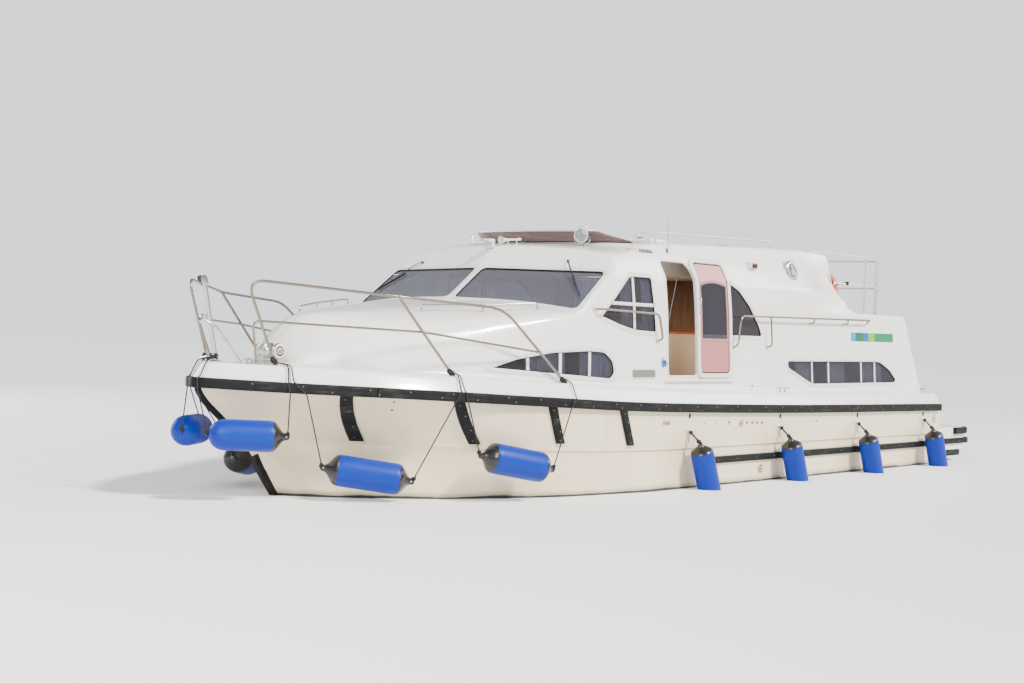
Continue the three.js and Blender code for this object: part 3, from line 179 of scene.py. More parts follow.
# Each finish: colour, roughness, metallic, coat, stain, grain and, where they differ, slow ripple and scuffs
finishTable = {"whiteGelcoat": ((0.86, 0.85, 0.81), 0.2, 0, 0.35, ((0.50, 0.44, 0.30), 0.24, 1.5), (300, 0.12, 0.05),
        3),
    "nonSlip": ((0.60, 0.59, 0.55), 0.75, 0, 0, ((0.3, 0.28, 0.22), 0.5, 2.5), (150, 0.9, 0.7)),
    "whiteFrame": ((0.70, 0.70, 0.68), 0.34, 0, 0, ((0.3, 0.29, 0.25), 0.4, 6), (300, 0.3, 0.05)),
    "blackPlastic": ((0.012, 0.012, 0.013), 0.38, 0, 0, None, (500, 0.3, 0.12)),
    "boltHead": ((0.18, 0.175, 0.165), 0.5, 0.7, 0, ((0.25, 0.15, 0.08), 0.6, 12), (300, 0.3, 0.1)),
    # Steel of the pulpit, handrails and hull bezels: its brown base colour is a painted reflection of dark
    # surroundings
    "bowSteel": ((0.25, 0.205, 0.165), 0.26, 0.9, 0, ((0.26, 0.18, 0.11), 0.4, 9), (120, 0.3, 0.04)),
    "railSteel": ((0.72, 0.70, 0.66), 0.28, 0.85, 0, ((0.36, 0.27, 0.18), 0.35, 9), (120, 0.3, 0.04)),
    "polishedSteel": ((0.5, 0.5, 0.495), 0.2, 1, 0, ((0.3, 0.24, 0.17), 0.25, 9), (120, 0.3, 0.04)),
    "dullAluminium": ((0.66, 0.67, 0.67), 0.36, 0.9, 0, ((0.35, 0.33, 0.3), 0.3, 7), (300, 0.3, 0.1)),
    "castIron": ((0.06, 0.065, 0.07), 0.55, 0.6, 0, ((0.12, 0.05, 0.02), 0.7, 6), (160, 0.7, 0.4)),
    "agedBronze": ((0.42, 0.24, 0.08), 0.38, 1, 0, ((0.08, 0.12, 0.07), 0.6, 8), (200, 0.3, 0.15)),
    "fenderBlack": ((0.006, 0.006, 0.007), 0.3, 0, 0.2, None, (200, 0.3, 0.15), 4, ((0.12, 0.12, 0.12), 0.3, 6)),
    "blackRope": ((0.014, 0.014, 0.016), 0.85, 0, 0, None, (700, 0.9, 0.9)),
    "paleRope": ((0.5, 0.48, 0.42), 0.85, 0, 0, ((0.3, 0.27, 0.2), 0.5, 1.5), (700, 0.9, 0.7)),
    "buoyOrange": ((0.75, 0.13, 0.02), 0.45, 0, 0, ((0.3, 0.1, 0.04), 0.35, 1.5), (300, 0.3, 0.2)),
    "bandWhite": ((0.62, 0.62, 0.6), 0.35, 0, 0, ((0.4, 0.36, 0.3), 0.4, 1.5), (500, 0.3, 0.2)),
    "drumRed": ((0.11, 0.007, 0.009), 0.4, 0, 0, ((0.1, 0.02, 0.01), 0.4, 1.5), (200, 0.3, 0.05)),
    "redLens": ((0.07, 0.005, 0.006), 0.12, 0, 0.6, None, (90, 0.3, 0.1)),
    "greenLens": ((0.01, 0.16, 0.05), 0.12, 0, 0.6, None, (90, 0.3, 0.1)),
    "blueCap": ((0.008, 0.11, 0.36), 0.35, 0, 0, None, (300, 0.3, 0.1)),
    "ventGreen": ((0.17, 0.18, 0.14), 0.45, 0, 0, ((0.1, 0.1, 0.08), 0.4, 1.5), (300, 0.3, 0.1)),
    "roseTrim": ((0.38, 0.15, 0.14), 0.35, 0, 0, ((0.35, 0.22, 0.19), 0.4, 1.5), (300, 0.3, 0.04)),
    "varnishedWood": ((0.2, 0.105, 0.05), 0.32, 0, 0.4, ((0.05, 0.02, 0.008), 0.8, 5), (60, 0.3, 0.12)),
    "innerLining": ((0.66, 0.60, 0.51), 0.7, 0, 0, ((0.34, 0.27, 0.19), 0.3, 1.5), (260, 0.3, 0.1)),
    "cabinLining": ((0.5, 0.42, 0.31), 0.6, 0, 0, ((0.3, 0.24, 0.16), 0.3, 1.5), (260, 0.3, 0.1)),
    "panelBeige": ((0.62, 0.44, 0.27), 0.45, 0, 0, ((0.42, 0.28, 0.16), 0.25, 1.5), (260, 0.3, 0.05)),
    "orangeTrim": ((0.62, 0.08, 0.015), 0.4, 0, 0, ((0.3, 0.06, 0.02), 0.3, 1.5), (300, 0.3, 0.04)),
    "whiteVinyl": ((0.68, 0.66, 0.6), 0.48, 0, 0, ((0.35, 0.31, 0.24), 0.3, 1.5), (340, 0.7, 0.3)),
    "soleVinyl": ((0.16, 0.11, 0.07), 0.5, 0, 0, ((0.07, 0.05, 0.03), 0.6, 3), (80, 0.3, 0.15)),
    "engineGreen": ((0.03, 0.09, 0.06), 0.45, 0, 0, ((0.04, 0.03, 0.02), 0.8, 5), (150, 0.3, 0.3)),
    "paleFloor": ((0.86, 0.87, 0.88), 0.6, 0, 0, ((0.80, 0.81, 0.82), 0.3, 0.4))}
for name, row in finishTable.items():
    newFinish(name, *row)
for name, colour in {"Sky": (0.02, 0.25, 0.52), "Pine": (0.0, 0.13, 0.06), "Blue": (0.0, 0.14, 0.3),
        "Lime": (0.19, 0.45, 0.0), "Green": (0.0, 0.2, 0.07)}.items():
    newFinish(f"stripe{name}", colour, 0.35, 0, 0.1, ((0.1, 0.14, 0.1), 0.2, 1.5), (300, 0.3, 0.03))
newFinish("blackRubber", (0.006, 0.0065, 0.007), 0.6, 0, 0, ((0.035, 0.032, 0.027), 0.6, 4), (180, 0.7, 0.5), 4,
    ((0.12, 0.12, 0.115), 0.26, 5), Specular_IOR_Level=0.16)
newFinish("fenderBlue", (0.0, 0.022, 0.27), 0.42, 0, 0, None, (220, 0.5, 0.12), 9, ((0.008, 0.05, 0.28), 0.35, 7),
    Specular_IOR_Level=0.22)
newFinish("seatCloth", (0.42, 0.34, 0.24), 0.9, 0, 0, ((0.25, 0.2, 0.14), 0.3, 1.5), (900, 0.85, 0.6),
    Sheen_Weight=0.3)
newFinish("curtainCloth", (0.60, 0.63, 0.68), 0.9, 0, 0, None, (1100, 0.9, 0.5), Sheen_Weight=0.4)


def newGlass(name, colour, roughness, dusty, transmission):
    # Tinted safety glass with faint haze, the tint deeper where dust has settled
    tree, shader = newFinish(name, colour, roughness, grain=(30, 0.1, 0.03), slow=2, IOR=1.45,
        Transmission_Weight=transmission)
    dust = placeGroup(tree, stains, Clean=(*colour, 1), Stain=(*dusty, 1), Amount=0.4, Scale=0.8)
    feed(tree, shader, {"Base_Color": dust["Colour"]})


for name, *row in (("tintedGlass", (0.32, 0.31, 0.37), 0.02, (0.38, 0.36, 0.40), 0.95),
        ("screenGlass", (0.36, 0.36, 0.45), 0.02, (0.42, 0.42, 0.48), 0.86),
        ("roseGlass", (0.50, 0.30, 0.27), 0.06, (0.56, 0.38, 0.33), 0.6),
        ("smokedScreen", (0.27, 0.17, 0.17), 0.05, (0.36, 0.25, 0.25), 0.6),
        ("lampGlass", (0.85, 0.86, 0.86), 0.05, (0.7, 0.68, 0.6), 0.9),
        ("rosePanel", (0.47, 0.19, 0.18), 0.2, (0.54, 0.26, 0.24), 0.06)):
    newGlass(name, *row)


def hullFinish():
    # Cream topsides, a dark uneven line at the water and dark bottom paint
    tree, shader = newFinish("creamHull", (0.76, 0.64, 0.46), 0.26, coat=0.3, grain=(300, 0.1, 0.05), slow=2)
    clean = placeGroup(tree, stains, Clean=(0.78, 0.66, 0.46, 1), Stain=(0.40, 0.28, 0.15, 1), Amount=0.3, Scale=1.3)
    place = addNode(tree, "TexCoord").outputs["Object"]
    height = addNode(tree, "SeparateXYZ", Vector=place).outputs[2]
    swell = addNode(tree, "Math", {"operation": "MULTIPLY_ADD"}, n0=noise(tree, place, 2.2, 5), n1=-0.05,
        n2=height).outputs[0]
    yellowed = mixColour(tree, ramp(tree, swell, 0.055, -0.005), clean["Colour"], (0.34, 0.30, 0.17, 1))
    wet = ramp(tree, swell, 0.004, -0.004)
    rough = addNode(tree, "MapRange", Value=wet, To_Min=0.26, To_Max=0.75).outputs[0]
    feed(tree, shader, {"Base_Color": mixColour(tree, wet, yellowed, (0.02, 0.022, 0.024, 1)), "Roughness": rough})


hullFinish()
print(len(finishes), "finishes ready")

# Mesh helpers
upward = Vector((0, 0, 1))


def smoothCurve(rows, column=1):
    xs = np.array([row[0] for row in rows], float)
    ys = np.array([row[column] for row in rows], float)
    step = np.diff(xs)
    slope = np.diff(ys) / step
    tangent = np.zeros_like(xs)
    tangent[0], tangent[-1] = slope[0], slope[-1]
    for i in range(1, len(xs) - 1):
        if slope[i - 1] * slope[i] > 0:
            w1, w2 = 2 * step[i] + step[i - 1], step[i] + 2 * step[i - 1]
            tangent[i] = (w1 + w2) / (w1 / slope[i - 1] + w2 / slope[i])

    def at(x):
        x = min(max(x, xs[0]), xs[-1])
        i = min(int(np.searchsorted(xs, x, side="right")) - 1, len(step) - 1)
        t = (x - xs[i]) / step[i]
        return float(ys[i] * (1 + 2 * t) * (1 - t) ** 2 + ys[i + 1] * t * t * (3 - 2 * t) + tangent[i] * step[i] * t *
            (1 - t) ** 2 - tangent[i + 1] * step[i] * t * t * (1 - t))
    return at


def easeStep(low, high, x):
    t = min(1.0, max(0.0, (x - low) / (high - low)))
    return t * t * (3 - 2 * t)


def straightCurve(rows):
    xs, ys = zip(*rows)
    return lambda x: float(np.interp(x, xs, ys))


def mm(*pairs):
    # A small section or turning profile written in millimetres
    return [(a / 1000, b / 1000) for a, b in pairs]


def placeObject(name, data):
    made = bpy.data.objects.new(name, data)
    bpy.context.scene.collection.objects.link(made)
    return made


def makeObject(name, points, faces, finish, body=None, smooth=True, sharpAngle=34):
    mesh = bpy.data.meshes.new(name)
    mesh.from_pydata([tuple(p) for p in points], [], faces)
    made = placeObject(name, mesh)
    tidyMesh(made, smooth, sharpAngle)
    mesh.materials.append(finishes[finish])
    if body:
        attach(made, body)
    return made


def tidyMesh(made, smooth=True, sharpAngle=34, outward=True):
    work = bmesh.new()
    work.from_mesh(made.data)
    bmesh.ops.remove_doubles(work, verts=work.verts, dist=0.00005)
    bmesh.ops.dissolve_degenerate(work, edges=work.edges, dist=0.00002)
    bmesh.ops.delete(work, geom=[v for v in work.verts if not v.link_faces], context="VERTS")
    if outward:
        bmesh.ops.recalc_face_normals(work, faces=work.faces)
    for face in work.faces:
        face.smooth = smooth
    limit = math.radians(sharpAngle)
    for edge in work.edges:
        edge.smooth = len(edge.link_faces) != 2 or edge.calc_face_angle(0) < limit
    work.to_mesh(made.data)
    work.free()


def settle(made):
    # Modifiers applied to the mesh
    bpy.context.view_layer.update()
    old = made.data
    mesh = bpy.data.meshes.new_from_object(made.evaluated_get(bpy.context.evaluated_depsgraph_get()))
    made.modifiers.clear()
    made.data = mesh
    bpy.data.meshes.remove(old)


def thicken(made, thick, offset=0, inside=0):
    # A wall of even thickness on a skin
    wall = made.modifiers.new("wall", "SOLIDIFY")
    wall.thickness, wall.offset, wall.material_offset = thick, offset, inside
    settle(made)


def joinParts(name, parts, body=None):
    # Several objects made one, materials kept
    work = bmesh.new()
    slots = []
    for part in parts:
        for material in part.data.materials:
            if material not in slots:
                slots.append(material)
        turn = {i: slots.index(material) for i, material in enumerate(part.data.materials)}
        start = len(work.faces)
        mesh = part.data.copy()
        mesh.transform(part.matrix_world)
        work.from_mesh(mesh)
        work.faces.ensure_lookup_table()
        for face in work.faces[start:]:
            face.material_index = turn.get(face.material_index, 0)
        bpy.data.meshes.remove(mesh)
    whole = bpy.data.meshes.new(name)
    work.to_mesh(whole)
    work.free()
    for material in slots:
        whole.materials.append(material)
    made = placeObject(name, whole)
    for part in parts:
        old = part.data
        bpy.data.objects.remove(part)
        if old.users == 0:
            bpy.data.meshes.remove(old)
    made.name = name
    if body:
        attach(made, body)
    return made


def showAs(node, parts, body="boat", ending="built"):
    # The parts joined into one piece that stands for the plain solid
    made = joinParts(f"{node}_{ending}", parts, body)
    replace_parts(made, node)


def gridFaces(rows, columns, closed=False):
    faces = []
    for r in range(rows - 1):
        for c in range(columns if closed else columns - 1):
            d = (c + 1) % columns
            faces.append((r * columns + c, r * columns + d, (r + 1) * columns + d, (r + 1) * columns + c))
    return faces


def bendCorner(before, corner, after, reach, count):
    a, b = before - corner, after - corner
    start = corner + a * min(1, reach / max(a.length, 1e-9))
    end = corner + b * min(1, reach / max(b.length, 1e-9))
    steps = [i / (count - 1) for i in range(count)]
    return [start * (1 - t) ** 2 + corner * 2 * t * (1 - t) + end * t * t for t in steps]


def roundPath(points, reach, count=5, closed=False):
    points = [Vector(p) for p in points]
    path = []
    for i, corner in enumerate(points):
        if not closed and i in (0, len(points) - 1):
            path.append(corner)
            continue
        before, after = points[i - 1], points[(i + 1) % len(points)]
        near = min(reach, (before - corner).length * 0.46, (after - corner).length * 0.46)
        path += bendCorner(before, corner, after, near, count)
    return path


def loft(name, rows, finish, body=None, around=True, caps=True, sharpAngle=34):
    # Rows of points joined into a skin, closed round each row and over both ends
    count, wide = len(rows), len(rows[0])
    faces = gridFaces(count, wide, around)
    if caps:
        faces += [tuple(range(wide)), tuple(range((count - 1) * wide, count * wide))]
    return makeObject(name, [p for row in rows for p in row], faces, finish, body, sharpAngle=sharpAngle)


def sweep(name, path, profile, finish, closed=False, up=None, sharpAngle=34):
    # A profile of (side, up) points carried along a path; `up` is one direction or one for each point
    path = [Vector(p) for p in path]
    count = len(path)
    side = Vector((0.31, 0.17, 0.93))
    rows = []
    for i, place in enumerate(path):
        ahead = path[(i + 1) % count] - path[i - 1] if closed or 0 < i < count - 1 else (path[1] - path[0] if i == 0
            else path[-1] - path[-2])
        ahead.normalize()
        if up:
            side = ahead.cross(Vector(up[i] if isinstance(up, list) else up)).normalized()
        else:
            side = (side - ahead * side.dot(ahead)).normalized()
        rise = side.cross(ahead)
        rows.append([place + side * a + rise * b for a, b in profile])
    if closed:
        rows.append(rows[0])
    return loft(name, rows, finish, caps=not closed, sharpAngle=sharpAngle)


def squareTo(axis):
    # An axis and two directions square to it
    axis = Vector(axis).normalized()
    side = axis.orthogonal().normalized()
    return axis, side, axis.cross(side)


def ringPoints(centre, side, other, radius, count):
    return [Vector(centre) + (side * math.cos(a) + other * math.sin(a)) * radius
        for a in [2 * math.pi * k / count for k in range(count)]]


def circle(radius, sides):
    return [(radius * math.cos(2 * math.pi * k / sides), radius * math.sin(2 * math.pi * k / sides))
        for k in range(sides)]


def tube(name, points, radius, finish, bend=0.11, sides=14, corners=7):
    return sweep(name, roundPath(points, bend, corners), circle(radius, sides), finish)


def turned(name, centre, axis, profile, finish, sides=32, sharpAngle=34):
    # A profile of (radius, along) points turned about an axis
    axis, side, other = squareTo(axis)
    points = []
    for radius, along in profile:
        points += ringPoints(Vector(centre) + axis * along, side, other, radius, sides)
    faces = gridFaces(len(profile), sides, True)
    faces += [tuple(range(k * sides, (k + 1) * sides)) for k in (0, len(profile) - 1) if profile[k][0] > 1e-5]
    return makeObject(name, points, faces, finish, sharpAngle=sharpAngle)


def softenEdges(made, reach, segments=3):
    bevel = made.modifiers.new("soften", "BEVEL")
    bevel.width, bevel.segments, bevel.limit_method = reach, segments, "ANGLE"
    bevel.angle_limit = math.radians(40)
    bevel.use_clamp_overlap = True
    settle(made)
    tidyMesh(made)
    return made


def roundedBlock(name, low, high, reach, finish, segments=3, turn=None):
    points = [(x, y, z) for x in (low[0], high[0]) for y in (low[1], high[1]) for z in (low[2], high[2])]
    faces = [(0, 1, 3, 2), (4, 6, 7, 5), (0, 4, 5, 1), (2, 3, 7, 6), (0, 2, 6, 4), (1, 5, 7, 3)]
    made = makeObject(name, points, faces, finish)
    if turn is not None:
        centre = (Vector(low) + Vector(high)) / 2
        made.data.transform(Matrix.Translation(centre) @ turn @ Matrix.Translation(-centre))
    return softenEdges(made, reach, segments)


def blockAt(name, centre, half, *rest, **more):
    return roundedBlock(name, centre - Vector(half), centre + Vector(half), *rest, **more)


def prism(name, outline, direction, finish, reach, segments=3):
    # A flat outline of 3-D points pushed along a direction, with softened edges
    count = len(outline)
    faces = [tuple(range(count)), tuple(range(count, 2 * count))]
    faces += [(k, (k + 1) % count, count + (k + 1) % count, count + k) for k in range(count)]
    points = [Vector(p) for p in outline]
    made = makeObject(name, points + [p + Vector(direction) for p in points], faces, finish)
    return softenEdges(made, reach, segments)


def mirrored(points):
    return [Vector((p[0], -p[1], p[2])) for p in points]


def bothSides(rows):
    # The points and faces of one side's rows and of their mirror image, and where that image starts
    points = [p for row in rows for p in row]
    base = len(points)
    faces = gridFaces(len(rows), len(rows[0]))
    return points + mirrored(points), faces + [tuple(base + k for k in reversed(face)) for face in faces], base


# Hull
hullLines = {"sheer": [(-5.72, 0.86), (-5.32, 0.867), (-1.18, 0.92), (1.06, 0.967), (2.2, 1.0), (3.55, 1.061),
        (5.17, 1.133), (6.0, 1.161), (6.6, 1.185)],
    "keel": [(-5.7, -0.205), (-4.5, -0.29), (-3.6, -0.43), (-2.5, -0.56), (0, -0.64), (3.5, -0.6), (4.6, -0.48),
        (5.05, -0.34)],
    "water": [(-5.7, 1.88), (-3.0, 1.93), (1.62, 1.93), (2.57, 1.81), (3.12, 1.7), (3.79, 1.45), (4.37, 1.15),
        (4.73, 0.9), (5.1, 0.58), (5.44, 0.225), (5.58, 0.0)],
    "chine": [(-5.7, 1.945, 0.44), (-3.0, 1.965, 0.46), (1.5, 1.965, 0.467), (2.2, 1.94, 0.477), (2.75, 1.89, 0.49),
        (3.23, 1.79, 0.502), (3.75, 1.65, 0.52), (4.26, 1.42, 0.538), (4.76, 0.93, 0.552), (5.04, 0.68, 0.556),
        (5.32, 0.39, 0.558), (5.6, 0.13, 0.56), (5.8, 0.03, 0.56), (5.99, 0.0, 0.56)],
    "stem": [(-0.34, 5.05), (-0.28, 5.2), (0, 5.58), (0.286, 5.8), (0.41, 5.87), (0.56, 6.0), (0.78, 6.3),
        (1.01, 6.56), (1.075, 6.596), (1.2, 6.597)],
    "stations": 120, "wall": 0.024}
sheerZ = smoothCurve(hullLines["sheer"])
stemX = smoothCurve(hullLines["stem"])
stemZ = smoothCurve([(x, z) for z, x in hullLines["stem"]])


def planY(x):
    if x <= 1.5:
        return 2.0 - max(0.0, -x - 2.5) * 0.012
    share = min(1.0, (x - 1.5) / 5.1)
    return 2.0 * (1 - share ** 2.2) ** 0.7


def transomX(z):
    return -5.32 + (z - 0.867) * 0.1875


def buildHull(facts):
    keelZ, waterY = smoothCurve(facts["keel"]), smoothCurve(facts["water"])
    chineY, chineZ = smoothCurve(facts["chine"]), smoothCurve(facts["chine"], 2)
    belly = smoothCurve([(0, 0), (0.42, 0.42), (0.82, 0.82), (1, 1)])
    bellyDepth = smoothCurve([(0, 1), (0.42, 0.93), (0.82, 0.55), (1, 0)])
    rows = []
    for i in range(facts["stations"] + 1):
        u = i / facts["stations"]
        run = 0.35 * u + 0.65 * math.sin(math.pi / 2 * u)

        def at(z):
            return transomX(z) + (stemX(z) - transomX(z)) * run
        row = []
        keelX = at(-0.34)
        waterX = at(0.0)
        depth = keelZ(keelX)
        for v in [0, 0.06, 0.14, 0.24, 0.35, 0.46, 0.57, 0.67, 0.76, 0.84, 0.91, 0.96, 1]:
            share = bellyDepth(v)
            row.append(Vector((keelX + (waterX - keelX) * (1 - share), waterY(waterX) * belly(v), depth * share)))
        chineX = at(0.556)
        outer = Vector((chineX, chineY(chineX), chineZ(chineX)))
        step = min(0.022, outer.y * 0.4)
        inner = Vector((chineX, max(outer.y - step, 0), outer.z - 0.014))
        row += [row[-1].lerp(inner, t) for t in (0.25, 0.5, 0.75, 0.94)]
        row += [inner, outer - Vector((0, 0, 0.004)), outer + Vector((0, 0, 0.004))]
        for t in (0.08, 0.2, 0.35, 0.5, 0.65, 0.8, 0.9, 1.0):
            z = outer.z + (sheerZ(at(1.1)) - 0.02 - outer.z) * t
            endZ = 0.56 + 0.6 * t
            x = transomX(z) + (stemX(endZ) - transomX(z)) * run
            foot = max(chineZ(x), stemZ(x))
            share = min(1.0, max(0.0, (z - foot) / max(sheerZ(x) - 0.02 - foot, 0.001)))
            near = chineY(x)
            row.append(Vector((x, near + (planY(x + 0.003 * u) - near) * share ** (1 + 0.3 * easeStep(5.0, 6.3, x)),
                z)))
        if u == 1:
            row = [Vector((p.x, 0, p.z)) for p in row]
        rows.append(row)
    points, faces, base = bothSides(rows)
    faces += [(k, k + 1, base + k + 1, base + k) for k in range(len(row) - 1)]
    made = makeObject("hullShell", points, faces, "creamHull", sharpAngle=30)
    thicken(made, facts["wall"], -1)
    tidyMesh(made, sharpAngle=30)
    return made


hullShell = buildHull(hullLines)
print("hull", len(hullShell.data.polygons))

# Deck, cabin and flybridge, one skin through sections that stand square to the boat or swept at the bow
upper = {
    "profile": [(-5.09, 1.02), (-4.87, 1.555), (-4.835, 1.562), (-4.64, 2.07), (-4.6, 2.105), (-3.37, 2.11),
                (-3.18, 2.132), (-3.08, 2.172), (-3.0, 2.24), (-2.93, 2.325), (-2.882, 2.42), (-2.866, 2.5),
                (-2.856, 2.885), (-2.1, 2.9),
                (-1.0, 2.868), (-0.3, 2.845), (0.7, 2.808), (1.5, 2.775), (1.64, 2.725), (2.0, 2.69), (2.3, 2.65),
                (2.75, 2.58)],
    "sideLow": [(0.9, 1.79), (1.4, 1.752), (2.0, 1.716), (2.385, 1.672)],
    "sideHigh": [(2.385, 1.672), (2.62, 1.545), (2.8, 1.425), (3.0, 1.33)],
    "knee": 2.385, "wellHalf": 1.225, "wellFloor": 2.45, "aftFloor": 2.106, "wellFore": 0.9, "wellAft": -2.88,
    "coach": [(2.3, 1.778, 1.722, 1.93, 2.075), (2.9, 1.725, 1.69, 1.925, 2.062), (3.6, 1.555, 1.44, 1.85, 1.992),
              (4.3, 1.29, 1.11, 1.79, 1.925), (4.8, 1.03, 0.82, 1.73, 1.875)],
    "screen": (3.12, 2.04, 0.74, 0.155), "band": 0.15, "lean": 0.075,
    "swept": [(1.9, 1.9, 1.9), (2.42, 2.17, 2.15), (2.6, 2.31, 2.3), (3.12, 2.89, 2.89), (3.6, 3.5, 3.52),
              (4.0, 4.0, 4.08)],
    "bow": [  # share, foot x y, shoulder x y z, centre x z, sheer x
        (0.0, 4.0, 1.407, 4.0, 1.251, 1.816, 4.0, 1.954, 4.08),
        (0.2, 4.45, 1.212, 4.42, 1.04, 1.776, 4.28, 1.927, 4.66),
        (0.4, 4.86, 0.99, 4.80, 0.82, 1.73, 4.54, 1.901, 5.22),
        (0.6, 5.20, 0.756, 5.12, 0.606, 1.676, 4.76, 1.879, 5.72),
        (0.8, 5.47, 0.484, 5.38, 0.396, 1.585, 4.92, 1.861, 6.18),
        (0.92, 5.61, 0.26, 5.53, 0.215, 1.50, 4.98, 1.852, 6.44),
        (0.97, 5.648, 0.12, 5.585, 0.1, 1.47, 4.995, 1.849, 6.545),
        (1.0, 5.66, 0.0, 5.60, 0.0, 1.46, 5.0, 1.847, 6.597)],
    "wall": 0.024, "sternFoot": 0.867, "sternRake": 0.1875}

sideLow, sideHigh = smoothCurve(upper["sideLow"]), smoothCurve(upper["sideHigh"])
footY, shoulderY, shoulderZ, crownZ = [smoothCurve(upper["coach"], k) for k in (1, 2, 3, 4)]
bowCurves = [smoothCurve(upper["bow"], k) for k in range(1, 9)]
sweptFoot, sweptSheer = smoothCurve(upper["swept"], 1), smoothCurve(upper["swept"], 2)
roundedProfile = [(p.x, p.z) for p in roundPath([(x, 0, z) for x, z in upper["profile"]], 0.07, 7)]
profileZ = straightCurve(roundedProfile)


def softLeast(a, b, reach):
    h = max(reach - abs(a - b), 0) / reach
    return min(a, b) - h * h * reach / 4


def softMost(a, b, reach):
    return -softLeast(-a, -b, reach)


def sideY(z):
    return sideLow(z) if z <= upper["knee"] else sideHigh(z)


def wallY(x, z):
    plain = sideY(z)
    if x <= 1.9:
        return plain
    footZ, topZ, topY = sheerZ(x) + 0.06, shoulderZ(x), shoulderY(x)
    if z >= topZ:
        swept = plain + topY - sideY(topZ)
    else:
        t = max(0.0, (z - footZ) / (topZ - footZ))
        swept = footY(x) + (topY - footY(x)) * t ** 2.7
    ease = easeStep(1.9, 2.7, x)
    return plain + (swept - plain) * ease


def deckZ(x):
    return sheerZ(x) + upper["band"] + 0.012


def screenPlane(x, y):
    x0, z0, fall, sweep = upper["screen"]
    level = math.sqrt(y * y + 0.0004)
    visor = max(0.0, 2.57 - 0.19 * level - x)
    return z0 - fall * (x - x0) - sweep * level + 0.55 * visor * visor / (visor + 0.03)


def roofZ(x, y):
    front = easeStep(0.9, 2.2, x)
    return profileZ(x) + front * (0.045 - 0.085 * (y / 1.3) ** 2)


def coachZ(x, y):
    share = abs(y) / shoulderY(x)
    top = shoulderZ(x) + (crownZ(x) - shoulderZ(x)) * (1 - min(share, 1) ** 3)
    return top - max(0.0, share - 1) * 4


def topZ(x, y):
    if x < 1.6:
        return max(roofZ(x, y), deckZ(x))
    house = softLeast(roofZ(x, y), screenPlane(x, y), 0.045)
    return softMost(house, coachZ(x, y), 0.05) if x > 2.3 else house


def sheerNormal(x):
    step = 0.002
    if x > 6.59:
        return Vector((1, 0, 0))
    slope = (planY(x + step) - planY(x - step)) / (2 * step)
    return Vector((-slope, 1, 0)).normalized()


def sectionAt(foot, corner, centre, sheerX, wallAt, topAt, floor, bend):
    # Half a section from the sheer to the centre line
    normal = sheerNormal(sheerX)
    edge = Vector((sheerX, planY(sheerX) - 0.003 if sheerX < 6.59 else 0.0, sheerZ(sheerX) + 0.0005))
    lean = upper["lean"] if sheerX < 6.5 else upper["lean"] * 1.1
    rim = Vector((edge.x - normal.x * lean, max(edge.y - normal.y * lean, 0), sheerZ(sheerX) + upper["band"]))
    across = foot - rim
    reach = min(0.035, across.length * 0.3)
    rimEnd = rim + across.normalized() * reach
    height = corner.z - foot.z
    low = min(0.035, height * 0.3)
    high = min(bend, height * 0.4)
    footStart = foot - across.normalized() * min(0.035, across.length * 0.3)
    row = [edge] + bendCorner(rim + (edge - rim) * 0.3, rim, rimEnd, 9, 4)
    row += [rimEnd.lerp(footStart, t) for t in (0.25, 0.5, 0.75)]
    span = max(height, 1e-6)
    lowShare, highShare = low / span, 1 - high / span
    row += bendCorner(footStart, foot, wallAt(lowShare), 9, 4)
    knee = min(max((upper["knee"] - foot.z) / span, lowShare), highShare)
    row += [wallAt(lowShare + (knee - lowShare) * k / 20) for k in range(1, 21)]
    row += [wallAt(knee + (highShare - knee) * k / 7) for k in range(1, 8)]
    width = max(corner.y, 1e-6)
    inner = min(bend / max(width, bend * 2), 0.5)
    row += bendCorner(wallAt(highShare), corner, topAt(inner), 9, 6)[1:]
    well = max(1 - upper["wellHalf"] / width, inner + 0.01) if width > upper["wellHalf"] + 0.02 else inner + 0.02
    row += [topAt(inner + (well - inner) * k / 4) for k in (1, 2, 3)]
    lip = topAt(well)
    sunk = lip.z - floor if floor is not None else 0
    if sunk > 0.03:
        base = Vector((lip.x, lip.y, floor))
        round1 = min(0.02, sunk * 0.3)
        row += bendCorner(lip + Vector((0, min(round1, (topAt(inner).y - lip.y) * 0.4), 0)), lip,
            lip - Vector((0, 0, round1)), 9, 3)
        row += bendCorner(base + Vector((0, 0, round1)), base, base - Vector((0, round1 * 1.5, 0)), 9, 3)
        start = row[-1]
        row += [start.lerp(Vector((centre.x, 0, floor)), k / 14) for k in range(1, 15)]
    else:
        row += [lip] * 6
        row += [topAt(well + (1 - well) * k / 14) for k in range(1, 15)]
    return row


def houseSection(x):
    sweep = x > 1.9
    footX, sheerX = (sweptFoot(x), sweptSheer(x)) if sweep else (x, x)
    y = 1.5
    for _ in range(14):
        y = 0.5 * y + 0.5 * wallY(footX, topZ(footX, y))
    base = deckZ(footX)
    foot = Vector((footX, wallY(footX, base), base))
    isCoach = x > 3.1
    if isCoach:
        y = shoulderY(footX) + (wallY(footX, shoulderZ(footX)) - shoulderY(footX))
    corner = Vector((footX, y, max(topZ(footX, y), base + 0.0008)))
    if isCoach:
        corner.z = shoulderZ(footX) + 0.02
    centre = Vector((x, 0, topZ(x, 0)))

    def wallAt(t):
        z = foot.z + (corner.z - foot.z) * t
        return Vector((footX, wallY(footX, z), z))

    def topAt(t):
        across = corner.y * (1 - t)
        along = footX + (x - footX) * t
        return Vector((along, across, max(topZ(along, across), base + 0.0008)))
    floor = None
    if upper["wellAft"] + 0.012 < x < upper["wellFore"] - 0.012:
        floor = upper["wellFloor"]
    elif -4.6 < x < upper["wellAft"] - 0.008:
        floor = upper["aftFloor"]
    bend = 0.05 if x < 2.3 else 0.05 + 0.06 * easeStep(2.9, 3.3, x)
    return sectionAt(foot, corner, centre, sheerX, wallAt, topAt, floor, bend)


